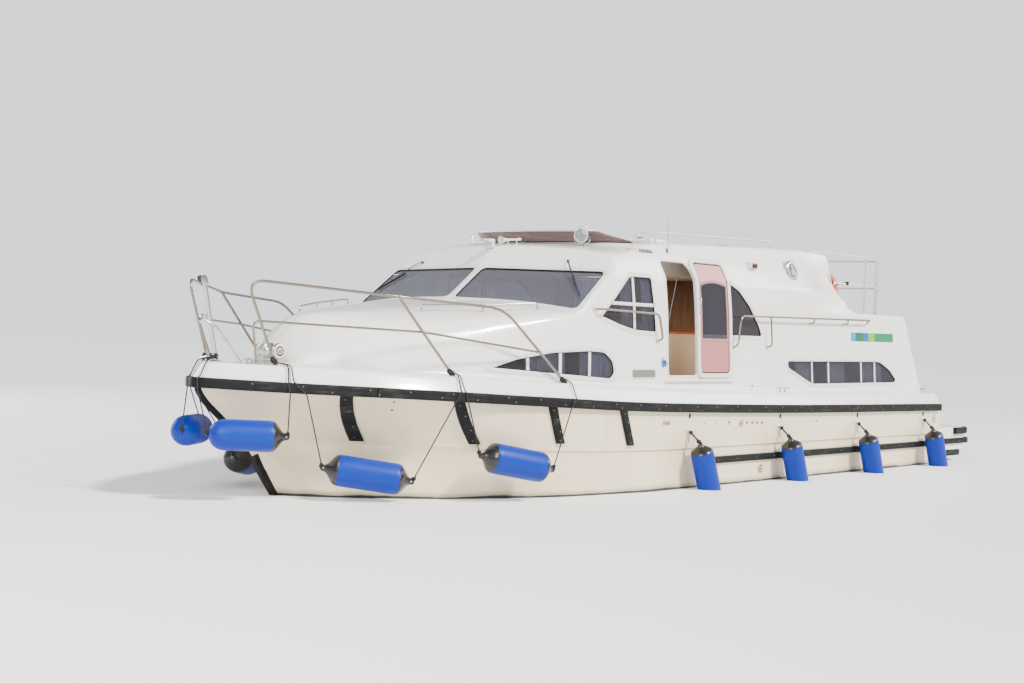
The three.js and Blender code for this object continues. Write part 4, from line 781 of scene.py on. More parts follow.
def bowSection(share):
    fx, fy, sx, sy, sz, cx, cz, px = [curve(share) for curve in bowCurves]
    if share > 0.9999:
        fy = sy = 0.0
    foot = Vector((fx, fy, deckZ(fx)))
    corner = Vector((sx, sy, sz + 0.02 * (1 - share)))
    centre = Vector((cx, 0, cz))

    def wallAt(t):
        p = t ** (2.7 - 1.2 * share)
        return Vector((fx + (corner.x - fx) * p, fy + (corner.y - fy) * p, foot.z + (corner.z - foot.z) * t))

    def topAt(t):
        rise = 1 - (1 - t) ** 3
        return Vector((corner.x + (cx - corner.x) * t, corner.y * (1 - t), sz + (cz - sz) * rise))
    row = sectionAt(foot, corner, centre, px, wallAt, topAt, None, 0.11)
    if share > 0.9999:
        row = [Vector((p.x, 0, p.z)) for p in row]
    return row


def stationList():
    knots = sorted({round(x, 4) for x, _ in roundedProfile if x < 1.88} | {-5.318, -5.26, -5.2, -5.14, -5.1, -2.894,
        -2.866, -2.886, -2.87, 0.88, 0.894, 0.906, 1.9})
    xs = []
    for a, b in zip(knots, knots[1:]):
        count = max(1, math.ceil((b - a) / 0.085))
        xs += [a + (b - a) * k / count for k in range(count)]
    xs += list(np.linspace(1.9, 3.3, 47)) + list(np.linspace(3.3, 4.0, 11))[1:-1]
    kept = []
    for x in xs:
        if not kept or x - kept[-1] > 0.0035:
            kept.append(float(x))
    return kept


# How far the coaming draws in towards its plumb aft end, by height
cheekIn = straightCurve([(2.1, 0), (2.165, -0.03), (2.24, -0.04), (2.3, -0.07), (2.37, -0.1), (2.45, -0.13),
    (2.53, -0.145), (2.64, -0.085), (2.75, -0.02), (2.885, 0.03), (3.0, 0.03)])


def buildUpper():
    rows = []
    for x in stationList():
        row = houseSection(x)
        if x < -1.9:
            row = [Vector((p.x, p.y + cheekIn(p.z) * easeStep(-1.9, -2.75, x) * easeStep(1.26, 1.36, p.y), p.z))
                for p in row]
        shift = easeStep(-5.09, -5.30, x)
        rows.append([Vector((p.x + (p.z - upper["sternFoot"]) * upper["sternRake"] * shift, p.y, p.z)) for p in row])
    rows += [bowSection(1 - (1 - k / 46) ** 1.25) for k in range(47)]
    points, faces, base = bothSides(rows)
    # The stern's upright edge under the aft deck
    lower = [Vector((transomX(0.868), p.y, 0.868)) for p in rows[0]]
    start, wide = len(points), len(lower)
    points += lower + mirrored(lower)
    faces += [(k, k + 1, start + k + 1, start + k) for k in range(wide - 1)]
    faces += [(base + k + 1, base + k, start + wide + k, start + wide + k + 1) for k in range(wide - 1)]
    return makeObject("upperSkin", points, faces, "whiteGelcoat", sharpAngle=42)


upperSkin = buildUpper()
print("upper skin", len(upperSkin.data.polygons))


# Windows, screens and doorways, laid on the skin
def skinTree(made):
    work = bmesh.new()
    work.from_mesh(made.data)
    tree = BVHTree.FromBMesh(work)
    work.free()
    return tree


skinCast = skinTree(upperSkin)


def castOn(tree, start, way):
    # The place where a ray meets a skin, and the skin's normal turned to face it
    place, normal, _, _ = tree.ray_cast(Vector(start), Vector(way))
    return place, normal if normal.dot(Vector(way)) <= 0 else -normal


def castSide(x, z, side):
    return castOn(skinCast, (x, side * 4, z), (0, -side, 0))


def castDown(x, y):
    return castOn(skinCast, (x, y, 6), (0, 0, -1))


def sideCast(side):
    return lambda x, z: castSide(x, z, side)


def finePath(points, reach, spacing=0.03, closed=True):
    # Rounded outline in a plane, its points no further apart than the spacing
    flat = roundPath([(a, 0, b) for a, b in points], reach, 6, closed)
    path = []
    count = len(flat)
    for i in range(count if closed else count - 1):
        a, b = flat[i], flat[(i + 1) % count]
        if (b - a).length < 1e-5:
            continue
        steps = max(1, math.ceil((b - a).length / spacing))
        path += [(a.lerp(b, k / steps).x, a.lerp(b, k / steps).z) for k in range(steps)]
    if not closed:
        path.append((flat[-1].x, flat[-1].z))
    return path


def shrinkOutline(path, by):
    count = len(path)
    area = sum(path[i][0] * path[(i + 1) % count][1] - path[(i + 1) % count][0] * path[i][1] for i in range(count))
    turn = 1 if area > 0 else -1
    made = []
    for i in range(count):
        (x0, z0), (x1, z1) = path[i - 1], path[(i + 1) % count]
        length = math.hypot(x1 - x0, z1 - z0) or 1
        made.append((path[i][0] - (z1 - z0) / length * by * turn, path[i][1] + (x1 - x0) / length * by * turn))
    return made


def fillFlat(path, spacing=0.09):
    # Triangles inside a flat outline, with inner points so that they can follow a curved wall
    loop = [Vector(p) for p in path]
    count = len(loop)
    lowA, highA = min(p.x for p in loop), max(p.x for p in loop)
    lowB, highB = min(p.y for p in loop), max(p.y for p in loop)
    inner = []
    for i in range(1, int((highA - lowA) / spacing) + 1):
        for j in range(1, int((highB - lowB) / spacing) + 1):
            p = Vector((lowA + i * spacing, lowB + j * spacing))
            inside = False
            near = min((p - q).length for q in loop)
            for k in range(count):
                a, b = loop[k], loop[k - 1]
                if (a.y > p.y) != (b.y > p.y) and p.x < (b.x - a.x) * (p.y - a.y) / (b.y - a.y) + a.x:
                    inside = not inside
            if inside and near > spacing * 0.45:
                inner.append(p)
    edges = [(k, (k + 1) % count) for k in range(count)]
    points, _, faces, _, _, _ = geometry.delaunay_2d_cdt(loop + inner, edges, [], 1, 1e-6)
    return [(p.x, p.y) for p in points], [tuple(face) for face in faces]


def closedPatch(name, faces, outer, inner, finish):
    # Two like skins joined round their rim
    count = len(outer)
    used = {(face[k], face[(k + 1) % len(face)]): True for face in faces for k in range(len(face))}
    whole = faces + [tuple(count + k for k in reversed(face)) for face in faces]
    whole += [(b, a, count + a, count + b) for a, b in used if (b, a) not in used]
    return makeObject(name, outer + inner, whole, finish)


def layPatch(name, path, cast, inset, thick, finish, spacing=0.09):
    # A pane that follows the skin, its outer face `inset` under it
    flat, faces = fillFlat(path, spacing)
    hits = [cast(a, b) for a, b in flat]
    outer, inner = [[place - normal * deep for place, normal in hits] for deep in (inset, inset + thick)]
    return closedPatch(name, faces, outer, inner, finish)


def cutterFor(path, cast, push):
    flat, faces = fillFlat(path, 0.4)
    outer, inner = [[cast(a, b)[0] + Vector(push) * reach for a, b in flat] for reach in (0.25, -0.25)]
    return closedPatch("cutter", faces, outer, inner, "blackPlastic")


def layFrame(name, path, cast, wide, high, finish, lift=0.0, closed=True, sunk=0.012):
    # A rounded strip laid along an outline on the skin
    hits = [cast(a, b) for a, b in path]
    places = [place + normal * lift for place, normal in hits]
    smooth = []
    count = len(hits)
    for k in range(count):
        near = [hits[(k + d) % count if closed else min(max(k + d, 0), count - 1)][1] for d in (-2, -1, 0, 1, 2)]
        smooth.append(sum(near, Vector()).normalized())
    half = wide / 2
    profile = [(-half, -sunk), (-half, high * 0.35), (-half * 0.8, high * 0.85), (-half * 0.45, high)]
    profile += [(-a, b) for a, b in reversed(profile)]
    return sweep(name, places, profile, finish, closed=closed, up=smooth, sharpAngle=50)


def layStuds(name, path, cast, radius, high, every, finish, lift=0.0):
    # Low domed heads spaced along an outline
    points, faces = [], []
    run = due = 0.0
    for a, b in zip(path, path[1:]):
        a, b = Vector(a), Vector(b)
        step = (b - a).length
        while due <= run + step:
            place, normal = cast(*a.lerp(b, (due - run) / step if step else 0))
            addStud(points, faces, place + normal * lift, normal, radius, high)
            due += every
        run += step
    return makeObject(name, points, faces, finish)


def addStud(points, faces, place, normal, radius, high, sides=8):
    side = normal.orthogonal().normalized()
    other = normal.cross(side)
    base = len(points)
    for share, rise in ((1, -0.002), (1, high * 0.35), (0.72, high * 0.85)):
        points += ringPoints(place + normal * rise, side, other, radius * share, sides)
    points.append(place + normal * high)
    faces += [tuple(base + k for k in face) for face in gridFaces(3, sides, True)]
    faces += [(base + 2 * sides + k, base + 2 * sides + (k + 1) % sides, base + 3 * sides) for k in range(sides)]
    faces.append(tuple(base + k for k in reversed(range(sides))))


windows = {"quarter_window": {"outline": [(2.0, 2.385), (1.57, 2.385), (1.51, 1.745), (1.93, 1.76), (2.23, 1.815),
        (2.56, 1.905)], "round": 0.06, "frame": 0.05, "bars": [[(1.545, 2.06), (2.42, 2.065)],
        [(1.93, 1.765), (1.93, 2.38)]]},
    "lower_window": {"outline": [(4.06, 1.33), (3.7, 1.45), (3.26, 1.53), (2.76, 1.556), (2.5, 1.545), (2.35, 1.44),
        (2.32, 1.3), (2.4, 1.225), (3.2, 1.275)], "round": 0.05, "frame": 0.05,
        "bars": [[(3.56, 1.30), (3.56, 1.48)], [(3.16, 1.275), (3.16, 1.54)], [(2.74, 1.25), (2.74, 1.556)]]},
    "aft_quarter_window": {"outline": [(0.64, 2.25), (0.56, 2.34), (0.4, 2.385), (-0.06, 2.385), (-0.26, 2.31),
        (-0.48, 2.13), (-0.7, 1.87), (-0.745, 1.77), (-0.715, 1.735), (0.64, 1.735)], "round": 0.05, "frame": 0.05,
        "bars": []},
    "aft_window": {"outline": [(-1.345, 1.466), (-3.82, 1.47), (-4.12, 1.36), (-4.31, 1.215), (-4.27, 1.156),
        (-1.95, 1.148), (-1.345, 1.362)], "round": 0.085, "frame": 0.044,
        "bars": [[(-1.976, 1.16), (-1.976, 1.466)], [(-2.405, 1.148), (-2.405, 1.467)],
        [(-3.302, 1.15), (-3.302, 1.468)], [(-3.692, 1.155), (-3.692, 1.47)]]}}
screens = {"corners": [(3.075, 0.048), (2.865, 1.625), (2.31, 1.578), (2.6, 0.048)], "round": 0.07}
doorHole = {"outline": [(0.7, 1.262), (1.3, 1.262), (1.3, 2.55), (1.26, 2.59), (0.79, 2.59), (0.7, 2.5)],
    "round": 0.05}
sideNames = {"port": 1, "starboard": -1}
cutters = []


def glaze():
    for sideName, side in sideNames.items():
        cast = sideCast(side)
        for name, facts in windows.items():
            path, wide = finePath(facts["outline"], facts["round"]), facts["frame"]
            cutters.append(cutterFor(path, cast, (0, side, 0)))
            bigger = shrinkOutline(path, -0.006)
            parts = [layPatch("pane", bigger, cast, 0.008, 0.006, "tintedGlass"),
                layFrame("rim", bigger, cast, wide, 0.008, "whiteFrame"),
                layFrame("gasket", shrinkOutline(path, wide * 0.4), cast, 0.012, 0.003, "blackRubber")]
            parts += [layFrame("bar", finePath(bar, 0.0, closed=False), cast, wide * 0.72, 0.004, "whiteFrame",
                lift=-0.004, closed=False) for bar in facts["bars"]]
            parts.append(layStuds("heads", path + path[:1], cast, 0.0055, 0.0035, 0.17, "polishedSteel", lift=0.008))
            showAs(f"{name}_{sideName}", parts, ending="glazed")
        path = finePath([(x, y * side) for x, y in screens["corners"]], screens["round"])
        cutters.append(cutterFor(path, castDown, (0, 0, 1)))
        parts = [layPatch("pane", shrinkOutline(path, -0.008), castDown, 0.006, 0.006, "screenGlass"),
            layFrame("rim", path, castDown, 0.02, 0.005, "blackRubber"),
            layFrame("surround", shrinkOutline(path, -0.03), castDown, 0.06, 0.011, "whiteFrame")]
        showAs(f"windscreen_{sideName}", parts, ending="glazed")
        path = finePath(doorHole["outline"], doorHole["round"])
        cutters.append(cutterFor(path, cast, (0, side, 0)))


glaze()


def cutSkin():
    tool = joinParts("cutters", cutters)
    cut = upperSkin.modifiers.new("holes", "BOOLEAN")
    cut.operation, cut.object, cut.solver = "DIFFERENCE", tool, "EXACT"
    settle(upperSkin)
    bpy.data.objects.remove(tool)
    # The cutters' own walls are taken out, so that each opening is a clean hole in the skin
    work = bmesh.new()
    work.from_mesh(upperSkin.data)
    stray = [face for face in work.faces if skinCast.find_nearest(face.calc_center_median())[3] > 0.003]
    bmesh.ops.delete(work, geom=stray, context="FACES")
    work.to_mesh(upperSkin.data)
    work.free()
    tidyMesh(upperSkin, sharpAngle=42)


cutSkin()


def splitSkin():
    # The lower moulding carries deck and cabin sides, the upper one the roof and the flybridge
    halves = {}
    for name, above in (("deckMoulding", False), ("flybridgeMoulding", True)):
        mesh = upperSkin.data.copy()
        work = bmesh.new()
        work.from_mesh(mesh)
        everything = work.verts[:] + work.edges[:] + work.faces[:]
        bmesh.ops.bisect_plane(work, geom=everything, dist=0.00001, plane_co=(0, 0, 2.4), plane_no=(0, 0, 1),
            clear_inner=above, clear_outer=not above)
        work.to_mesh(mesh)
        work.free()
        made = placeObject(name, mesh)
        mesh.materials.append(finishes["innerLining"])
        thicken(made, upper["wall"], -1, inside=1)
        tidyMesh(made, sharpAngle=42, outward=False)
        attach(made, "boat")
        halves[name] = made
    bpy.data.objects.remove(upperSkin)
    return halves


mouldings = splitSkin()
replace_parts(mouldings["deckMoulding"], "deck_moulding", "cabin_moulding")
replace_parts(mouldings["flybridgeMoulding"], "flybridge_moulding")
print("mouldings", [len(made.data.polygons) for made in mouldings.values()])

# Keel, engine beds and rudder tube under the hull
keelFacts = {"outline": [(4.5, -0.43), (3.7, -0.8), (-4.35, -0.8), (-4.35, -0.25), (0, -0.35)], "half": 0.055,
    "beds": (-2.9, -1.4, 0.17, 0.25, -0.6, -0.331)}


def addKeel(facts):
    half = facts["half"]
    parts = [prism("keelFin", [(x, -half, z) for x, z in facts["outline"]], (0, 2 * half, 0), "creamHull", reach=0.03,
        segments=4)]
    x0, x1, y0, y1, z0, z1 = facts["beds"]
    for side in (1, -1):
        low, high = sorted((y0 * side, y1 * side))
        parts.append(roundedBlock("bed", (x0, low, z0), (x1, high, z1), 0.01, "creamHull"))
    parts.append(turned("rudderTube", (-5.23, 0, -0.232), (0, 0, 1),
        mm((23.5, 0), (50, 0), (50, 250), (43, 262), (23.5, 262)), "creamHull"))
    whole = joinParts("hullBuilt", [hullShell] + parts, "boat")
    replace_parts(whole, "hull")
    return whole


hullBuilt = addKeel(keelFacts)

# Sliding doors, each on its own body
doorFacts = {"wide": 0.74, "low": 1.236, "high": 2.64, "standOff": 0.010, "rest": {"port": -0.02, "starboard": 0.58},
    "stile": 0.062, "lowerTop": 1.69, "midTop": 2.33, "midRise": 0.045}


def addDoor(sideName, side):
    x0 = doorFacts["rest"][sideName]
    x1 = x0 + doorFacts["wide"]
    low, high = doorFacts["low"] + 0.003, doorFacts["high"] - 0.004
    stile = doorFacts["stile"]
    off = doorFacts["standOff"]
    cast = sideCast(side)
    outline = [(x0, low), (x1, low), (x1, high), (x0, high)]
    whole = finePath(outline, 0.13)
    foot = finePath(outline, 0.03)
    whole = [p if p[1] > 1.9 else q for p, q in zip(whole, foot)] if len(whole) == len(foot) else whole
    ring = shrinkOutline(whole, stile / 2)
    parts = [layFrame("stiles", ring, cast, stile, 0.028, "whiteFrame", lift=off, sunk=0.002),
        layFrame("channel", shrinkOutline(whole, stile + 0.006), cast, 0.014, 0.018, "blackRubber", lift=off,
        sunk=0.001)]
    inner0, inner1 = x0 + stile, x1 - stile
    midLow, midHigh, rise = doorFacts["lowerTop"], doorFacts["midTop"], doorFacts["midRise"]
    arch = [(inner0 + (inner1 - inner0) * t, midHigh + rise * math.sin(math.pi * t))
        for t in [k / 10 for k in range(11)]]
    lower = [(inner0, low + stile), (inner1, low + stile), (inner1, midLow), (inner0, midLow)]
    middle = [(inner0, midLow)] + [(inner1, midLow)] + arch[::-1]
    cap = arch + [(inner1, high - stile - 0.06), (inner1 - 0.03, high - stile - 0.015), (inner1 - 0.08, high - stile),
        (inner0 + 0.08, high - stile), (inner0 + 0.03, high - stile - 0.015), (inner0, high - stile - 0.06)]
    parts.append(layPatch("lowerPanel", finePath(lower, 0), cast, -off - 0.014, 0.006, "rosePanel"))
    parts.append(layPatch("middlePane", finePath(middle, 0), cast, -off - 0.012, 0.005, "tintedGlass"))
    parts.append(layPatch("upperPanel", finePath(cap, 0), cast, -off - 0.014, 0.006, "rosePanel"))
    for line in ([(inner0, midLow), (inner1, midLow)], arch):
        parts.append(layFrame("bar", finePath(line, 0, closed=False), cast, 0.034, 0.006, "roseTrim",
            lift=off + 0.013, closed=False))
    for x in (inner0 + 0.026, inner1 - 0.026):
        parts.append(layFrame("edge", finePath([(x, midLow), (x, midHigh + 0.01)], 0, closed=False), cast, 0.036,
            0.004, "roseTrim", lift=off + 0.012, closed=False))
    gripX = x1 - stile * 0.5 if sideName == "port" else x0 + stile * 0.5
    place, normal = castSide(gripX, 2.08, side)
    top, base = castSide(gripX, 2.16, side)[0], castSide(gripX, 2.0, side)[0]
    lift = normal * (off + 0.028)
    parts.append(tube("grip", [base + lift, base + lift + normal * 0.03, top + lift + normal * 0.03, top + lift],
        0.0065, "polishedSteel", bend=0.02, sides=10, corners=5))
    for at in (top, base):
        parts.append(turned("rose", at + lift - normal * 0.002, normal, mm((14, 0), (14, 3), (9, 6)), "polishedSteel",
            sides=20))
    parts.append(turned("lock", place + lift - normal * 0.001 + Vector((0, 0, -0.14)), normal,
        mm((18, 0), (18, 4), (12, 8), (5, 9)), "polishedSteel", sides=20))
    showAs(f"door_{sideName}", parts, f"door_{sideName}")


for name, side in sideNames.items():
    addDoor(name, side)


def addDoorways():
    # Frames round the doorways and the ledges that the doors run on
    for sideName, side in sideNames.items():
        cast = sideCast(side)
        path = finePath(doorHole["outline"], doorHole["round"])
        parts = [layFrame("frame", path, cast, 0.03, 0.005, "whiteFrame")]
        ledge = []
        for z, out in ((1.2095, -0.006), (1.2095, 0.036), (1.215, 0.043), (1.23, 0.043), (1.2357, 0.036),
                (1.2357, -0.006)):
            ledge.append((sideY(z) + out, z))
        parts.append(loft("ledge", [[Vector((x, side * y, z)) for y, z in ledge] for x in (-0.06, 1.36)],
            "whiteGelcoat"))
        joinParts(f"doorway_{sideName}", parts, "boat")


addDoorways()
print("doors ready")

# Rubbing strakes, the strips on the bow and their bolts
strakeFacts = {"deep": 0.1, "out": 0.048, "joints": [-5.3, -2.55, 0.2, 2.95, 5.35], "gap": 0.0025,
    "section": mm((-20, -100), (33, -100), (43, -95), (48, -83), (46.5, -62), (46.5, -38), (48, -17), (43, -5),
        (33, 0), (-20, 0)),
    "boltEvery": [0.31, 0.09, 0.36, 0.27, 0.12, 0.33], "boltRise": [0.02, -0.021, 0.018, -0.02, 0.022, -0.018],
    "strips": [(5.53, 5.06), (4.52, 4.21), (3.45, 3.26), (2.42, 2.23)], "stripWide": 0.1, "stripOut": 0.034,
    "lower": {"z": (0.262, 0.342), "fore": 0.62, "out": 0.038, "aft": -5.45, "platformOut": 0.048}}
hullTree = skinTree(hullBuilt)


def castHull(x, z, side):
    return castOn(hullTree, (x, side * 4, z), (0, -side, 0))


def planSteps(x0, x1):
    xs = [x0]
    while xs[-1] < x1 - 1e-6:
        xs.append(min(x1, xs[-1] + max(0.0006, min(0.12, (6.598 - xs[-1]) * 0.16))))
    return xs


def strakePath(x0, x1, side):
    run = [Vector((x, side * planY(x), sheerZ(x))) for x in planSteps(x0, x1)]
    return run if side < 0 else run[::-1]


def outward(x, side):
    normal = sheerNormal(x)
    return Vector((normal.x, normal.y * side, 0))


def addBolts(name, spots, radius=0.0068, high=0.003):
    points, faces = [], []
    for place, normal in spots:
        addStud(points, faces, place, normal, radius, high)
    return makeObject(name, points, faces, "boltHead")


def addStrake(facts):
    joints, gap = facts["joints"], facts["gap"]
    nose = 6.597  # x of the stem head
    parts, spots = [], []
    for side in (1, -1):
        parts += [sweep("length", strakePath(a + gap, b - gap, side), facts["section"], "blackRubber", up=upward)
            for a, b in zip(joints, joints[1:])]
        at, k = -5.22, 0
        while at < 6.5:
            normal = outward(at, side)
            rise = facts["boltRise"][k % 6]
            spots.append((Vector((at, side * planY(at), sheerZ(at) - 0.05 + rise)) + normal * (facts["out"] - 0.001),
                normal))
            at += facts["boltEvery"][k % 6] * max(0.25, normal.y * side)
            k += 1
    bow = strakePath(joints[-1] + gap, nose, -1) + strakePath(joints[-1] + gap, nose, 1)
    parts.append(sweep("length", bow, facts["section"], "blackRubber", up=upward))
    half, out = facts["stripWide"] / 2, facts["stripOut"]
    for side in (1, -1):
        for topX, footX in facts["strips"]:
            rows = []
            for k in range(13):
                t = k / 12
                x = topX + (footX - topX) * t * 0.93
                lowZ = 0.57 if topX > 3 else 0.525
                z = sheerZ(x) - facts["deep"] + 0.004 + (lowZ - sheerZ(x) + facts["deep"]) * t
                across = [(-half, -0.012), (-half, out * 0.7), (-half + 0.007, out * 0.93), (-half + 0.016, out),
                    (half - 0.016, out), (half - 0.007, out * 0.93), (half, out * 0.7), (half, -0.012)]
                rows.append([castHull(x + a, z, side)[0] + outward(x + a, side) * lift for a, lift in across])
                if k in (1, 4, 8, 11):
                    a = 0.012 if k % 2 else -0.014
                    away = outward(x + a, side)
                    spots.append((castHull(x + a, z, side)[0] + away * (out - 0.001), away))
            parts.append(loft("strip", rows, "blackRubber"))
    stem = [Vector((stemX(z), 0, z)) for z in np.linspace(1.082, 0.612, 26)]
    section = mm((-26, -30), (-26, 6), (-21, 16), (-10, 23), (0, 25), (10, 23), (21, 16), (26, 6), (26, -30))
    ups = []
    for i in range(len(stem)):
        ahead = (stem[min(i + 1, 25)] - stem[max(i - 1, 0)]).normalized()
        ups.append(Vector((-ahead.z, 0, ahead.x)))
    parts.append(sweep("stemStrip", stem, section, "blackRubber", up=ups))
    parts.append(addBolts("bolts", spots))
    showAs("rubbing_strake", parts)


addStrake(strakeFacts)

# Swim platform, with the lower strake that runs along both sides and round it
platformFacts = {"half": 1.85, "aft": -6.602, "fore": -5.34, "corner": 0.25, "base": 0.17, "top": 0.505,
    "pads": [(-6.46, -5.52, 0.07, 0.86), (-6.46, -5.52, 0.93, 1.7)], "padHigh": 0.0025}


def platformPlan(out=0.0, fore=None):
    fore = platformFacts["fore"] if fore is None else fore
    y, aft = platformFacts["half"] + out, platformFacts["aft"] - out
    corners = [Vector((fore, y, 0)), Vector((aft, y, 0)), Vector((aft, -y, 0)), Vector((fore, -y, 0))]
    return roundPath(corners, platformFacts["corner"], 9)


def addPlatform(facts):
    levels = [(-0.03, facts["base"] + 0.01), (-0.012, facts["base"]), (0, facts["base"] + 0.014),
        (0, facts["top"] - 0.04), (-0.004, facts["top"] - 0.022), (-0.014, facts["top"] - 0.008),
        (-0.03, facts["top"]), (-0.06, facts["top"])]
    rows = [[Vector((p.x, p.y, z)) for p in platformPlan(out)] for out, z in levels]
    wide = len(rows[0])
    faces = gridFaces(len(rows), wide)
    points = [p for row in rows for p in row]
    last = (len(rows) - 1) * wide
    for k in range(wide // 2 - 1):  # across from side to side, so that no large face bends
        for start, flip in ((last, False), (0, True)):
            quad = (start + k, start + k + 1, start + wide - 2 - k, start + wide - 1 - k)
            faces.append(quad[::-1] if flip else quad)
    faces.append(tuple(r * wide for r in range(len(rows))) + tuple(r * wide + wide - 1
        for r in reversed(range(len(rows)))))
    parts = [makeObject("shell", points, faces, "whiteGelcoat")]
    for x0, x1, y0, y1 in facts["pads"]:
        for side in (1, -1):
            low, high = sorted((y0 * side, y1 * side))
            corners = roundPath([(x0, low, 0), (x1, low, 0), (x1, high, 0), (x0, high, 0)], 0.05, 5, True)
            outline = [(p.x, p.y, facts["top"] - 0.004) for p in corners]
            parts.append(prism("pad", outline, (0, 0, 0.004 + facts["padHigh"]), "nonSlip", reach=0.0012, segments=2))
    for side in (1, -1):
        # Rubber corner buffers and the bearer under each edge
        corner = [p + Vector((0, 0, facts["top"] - 0.05)) for p in platformPlan(0.002)]
        near = [p for p in corner if p.y * side > 0 and p.x < -6.3]
        start = Vector((-6.06, near[0 if side > 0 else -1].y, corner[0].z))
        near.insert(0, start) if side > 0 else near.append(start)
        section = mm((-4, -52), (36, -52), (46, -40), (46, 30), (36, 42), (-4, 42))
        parts.append(sweep("buffer", near, section, "blackRubber", up=upward))
        low, high = sorted((side * 1.7, side * 1.83))
        parts.append(roundedBlock("bearer", (-6.36, low, 0.075), (-5.34, high, 0.166), 0.02, "blackRubber"))
    showAs("swim_platform", parts)


def addLowerStrake(facts):
    low, high = facts["z"]
    middle = (low + high) / 2
    half = (high - low) / 2
    path, spots = [], []
    for x in np.arange(facts["fore"], facts["aft"], -0.15):
        path.append(Vector((x, castHull(x, middle, 1)[0].y + facts["out"], middle)))
    path.append(Vector((-5.39, castHull(-5.3, middle, 1)[0].y + facts["out"], middle)))
    path.append(Vector((-5.5, platformFacts["half"] + facts["platformOut"], middle)))
    around = [Vector((p.x, p.y, middle)) for p in platformPlan(facts["platformOut"], -5.56)]
    whole = path + around + [Vector((p.x, -p.y, p.z)) for p in reversed(path)]
    section = [(-0.055, -half), (-0.012, -half), (-0.004, -half + 0.006), (0, -half + 0.016), (0, half - 0.016),
        (-0.004, half - 0.006), (-0.012, half), (-0.055, half)]
    parts = [sweep("band", whole, section, "blackRubber", up=upward)]
    run, due = 0.0, 0.1
    for a, b in zip(whole, whole[1:]):
        ahead = (b - a).normalized()
        away = ahead.cross(upward)
        while due < run + (b - a).length:
            spots.append((a.lerp(b, (due - run) / (b - a).length) - away * 0.001, away))
            due += 0.42
        run += (b - a).length
    parts.append(addBolts("bolts", spots))
    showAs("lower_strake", parts)


addPlatform(platformFacts)
addLowerStrake(strakeFacts["lower"])
print("strakes and platform ready")

# Fenders, their ropes and knots
fenderFacts = {"bow": [{"fore": (6.62, 0.19, 0.655), "aft": (5.99, 0.64, 0.64), "radius": 0.15,
        "ties": (None, "fore")}, {"fore": (5.56, 0.64, 0.33), "aft": (4.85, 1.215, 0.205), "radius": 0.155,
        "ties": ("fore", "mid")}, {"fore": (4.38, 1.65, 0.485), "aft": (3.58, 1.97, 0.33), "radius": 0.155,
        "ties": ("mid", "aft")}],
    "end": [(0.0, 0.034), (0.2, 0.036), (0.25, 0.05), (0.27, 0.062), (0.36, 0.078), (0.55, 0.103), (0.74, 0.128),
        (0.88, 0.15), (0.965, 0.172), (0.972, 0.176), (0.955, 0.184), (0.8, 0.186)],
    "domed": [(0.0, 0.02), (0.2, 0.024), (0.4, 0.034), (0.58, 0.052), (0.74, 0.078), (0.86, 0.108), (0.94, 0.142),
        (0.985, 0.18), (1.002, 0.222), (1.002, 0.236)],
    "body": [(0.8, 0.182), (0.952, 0.182), (0.972, 0.19), (0.99, 0.205), (1.0, 0.23)],
    "side": {"eyes": [1.177, -0.811, -2.798, -4.785], "eyeZ": 0.662, "drop": 0.12, "long": 0.86, "sweep": 0.4,
        "radius": 0.132},
    "rope": 0.0072}
railFeet = {"fore": (6.07, 0.5), "mid": (4.53, 1.4), "aft": (3.13, 1.72)}
railTops = {"fore": (6.4, 0.43, 2.13), "mid": (5.25, 1.31, 2.02), "aft": (4.08, 1.65, 1.945)}


def deckSpot(x, y, side=1):
    place = castDown(x, y * side)[0]
    return Vector((x, y * side, place.z))


def sided(point, side):
    return Vector((point[0], point[1] * side, point[2]))


def laidRope(name, points, radius, finish, bend=0.04, step=0.011):
    # Three strands twisted along a rounded path
    rough = roundPath(points, bend, 6)
    path, due = [rough[0]], step
    run = 0.0
    for a, b in zip(rough, rough[1:]):
        length = (b - a).length
        while length > 1e-9 and due < run + length:
            path.append(a.lerp(b, (due - run) / length))
            due += step
        run += length
    path.append(rough[-1])
    side = Vector((0.31, 0.17, 0.93))
    rows = []
    for i, place in enumerate(path):
        ahead = (path[min(i + 1, len(path) - 1)] - path[max(i - 1, 0)]).normalized()
        side = (side - ahead * side.dot(ahead)).normalized()
        other = ahead.cross(side)
        twist = 2 * math.pi * i * step / 0.05
        row = []
        for k in range(9):
            angle = 2 * math.pi * k / 9
            reach = radius * (1.0 if k % 3 else 0.72)
            row.append(place + (side * math.cos(angle + twist) + other * math.sin(angle + twist)) * reach)
        rows.append(row)
    return loft(name, rows, finish, sharpAngle=60)


def ringAt(name, centre, axis, radius, thick, finish, sides=16, around=8):
    _, side, other = squareTo(axis)
    return sweep(name, ringPoints(centre, side, other, radius, sides), circle(thick, around), finish, closed=True)


def addFender(fore, aft, radius, cone=1.0, foreBlue=False):
    fore, aft = Vector(fore), Vector(aft)
    long = (aft - fore).length
    axis = (aft - fore).normalized()
    body = [(r * radius, h * cone) for r, h in fenderFacts["body"]]
    body = body + [(radius, 0.23 + (long - 0.46) * t) for t in (0.25, 0.5, 0.75)] + [(r, long - h)
        for r, h in reversed(body)]
    parts = [turned("skin", fore, axis, body, "fenderBlue", sides=40, sharpAngle=50)]
    for start, way in ((fore, axis), (aft, -axis)):
        blue = foreBlue and start == fore
        cap = [(r * radius, h * cone) for r, h in fenderFacts["domed" if blue else "end"]]
        parts.append(turned("end", start, way, cap, "fenderBlue" if blue else "fenderBlack", sides=40, sharpAngle=50))
        across = way.cross(upward)
        if across.length < 0.2:
            across = way.cross(Vector((1, 0, 0)))
        parts.append(ringAt("eye", start + way * 0.022, across, 0.021, 0.0115, "fenderBlack", sides=18, around=10))
    return parts


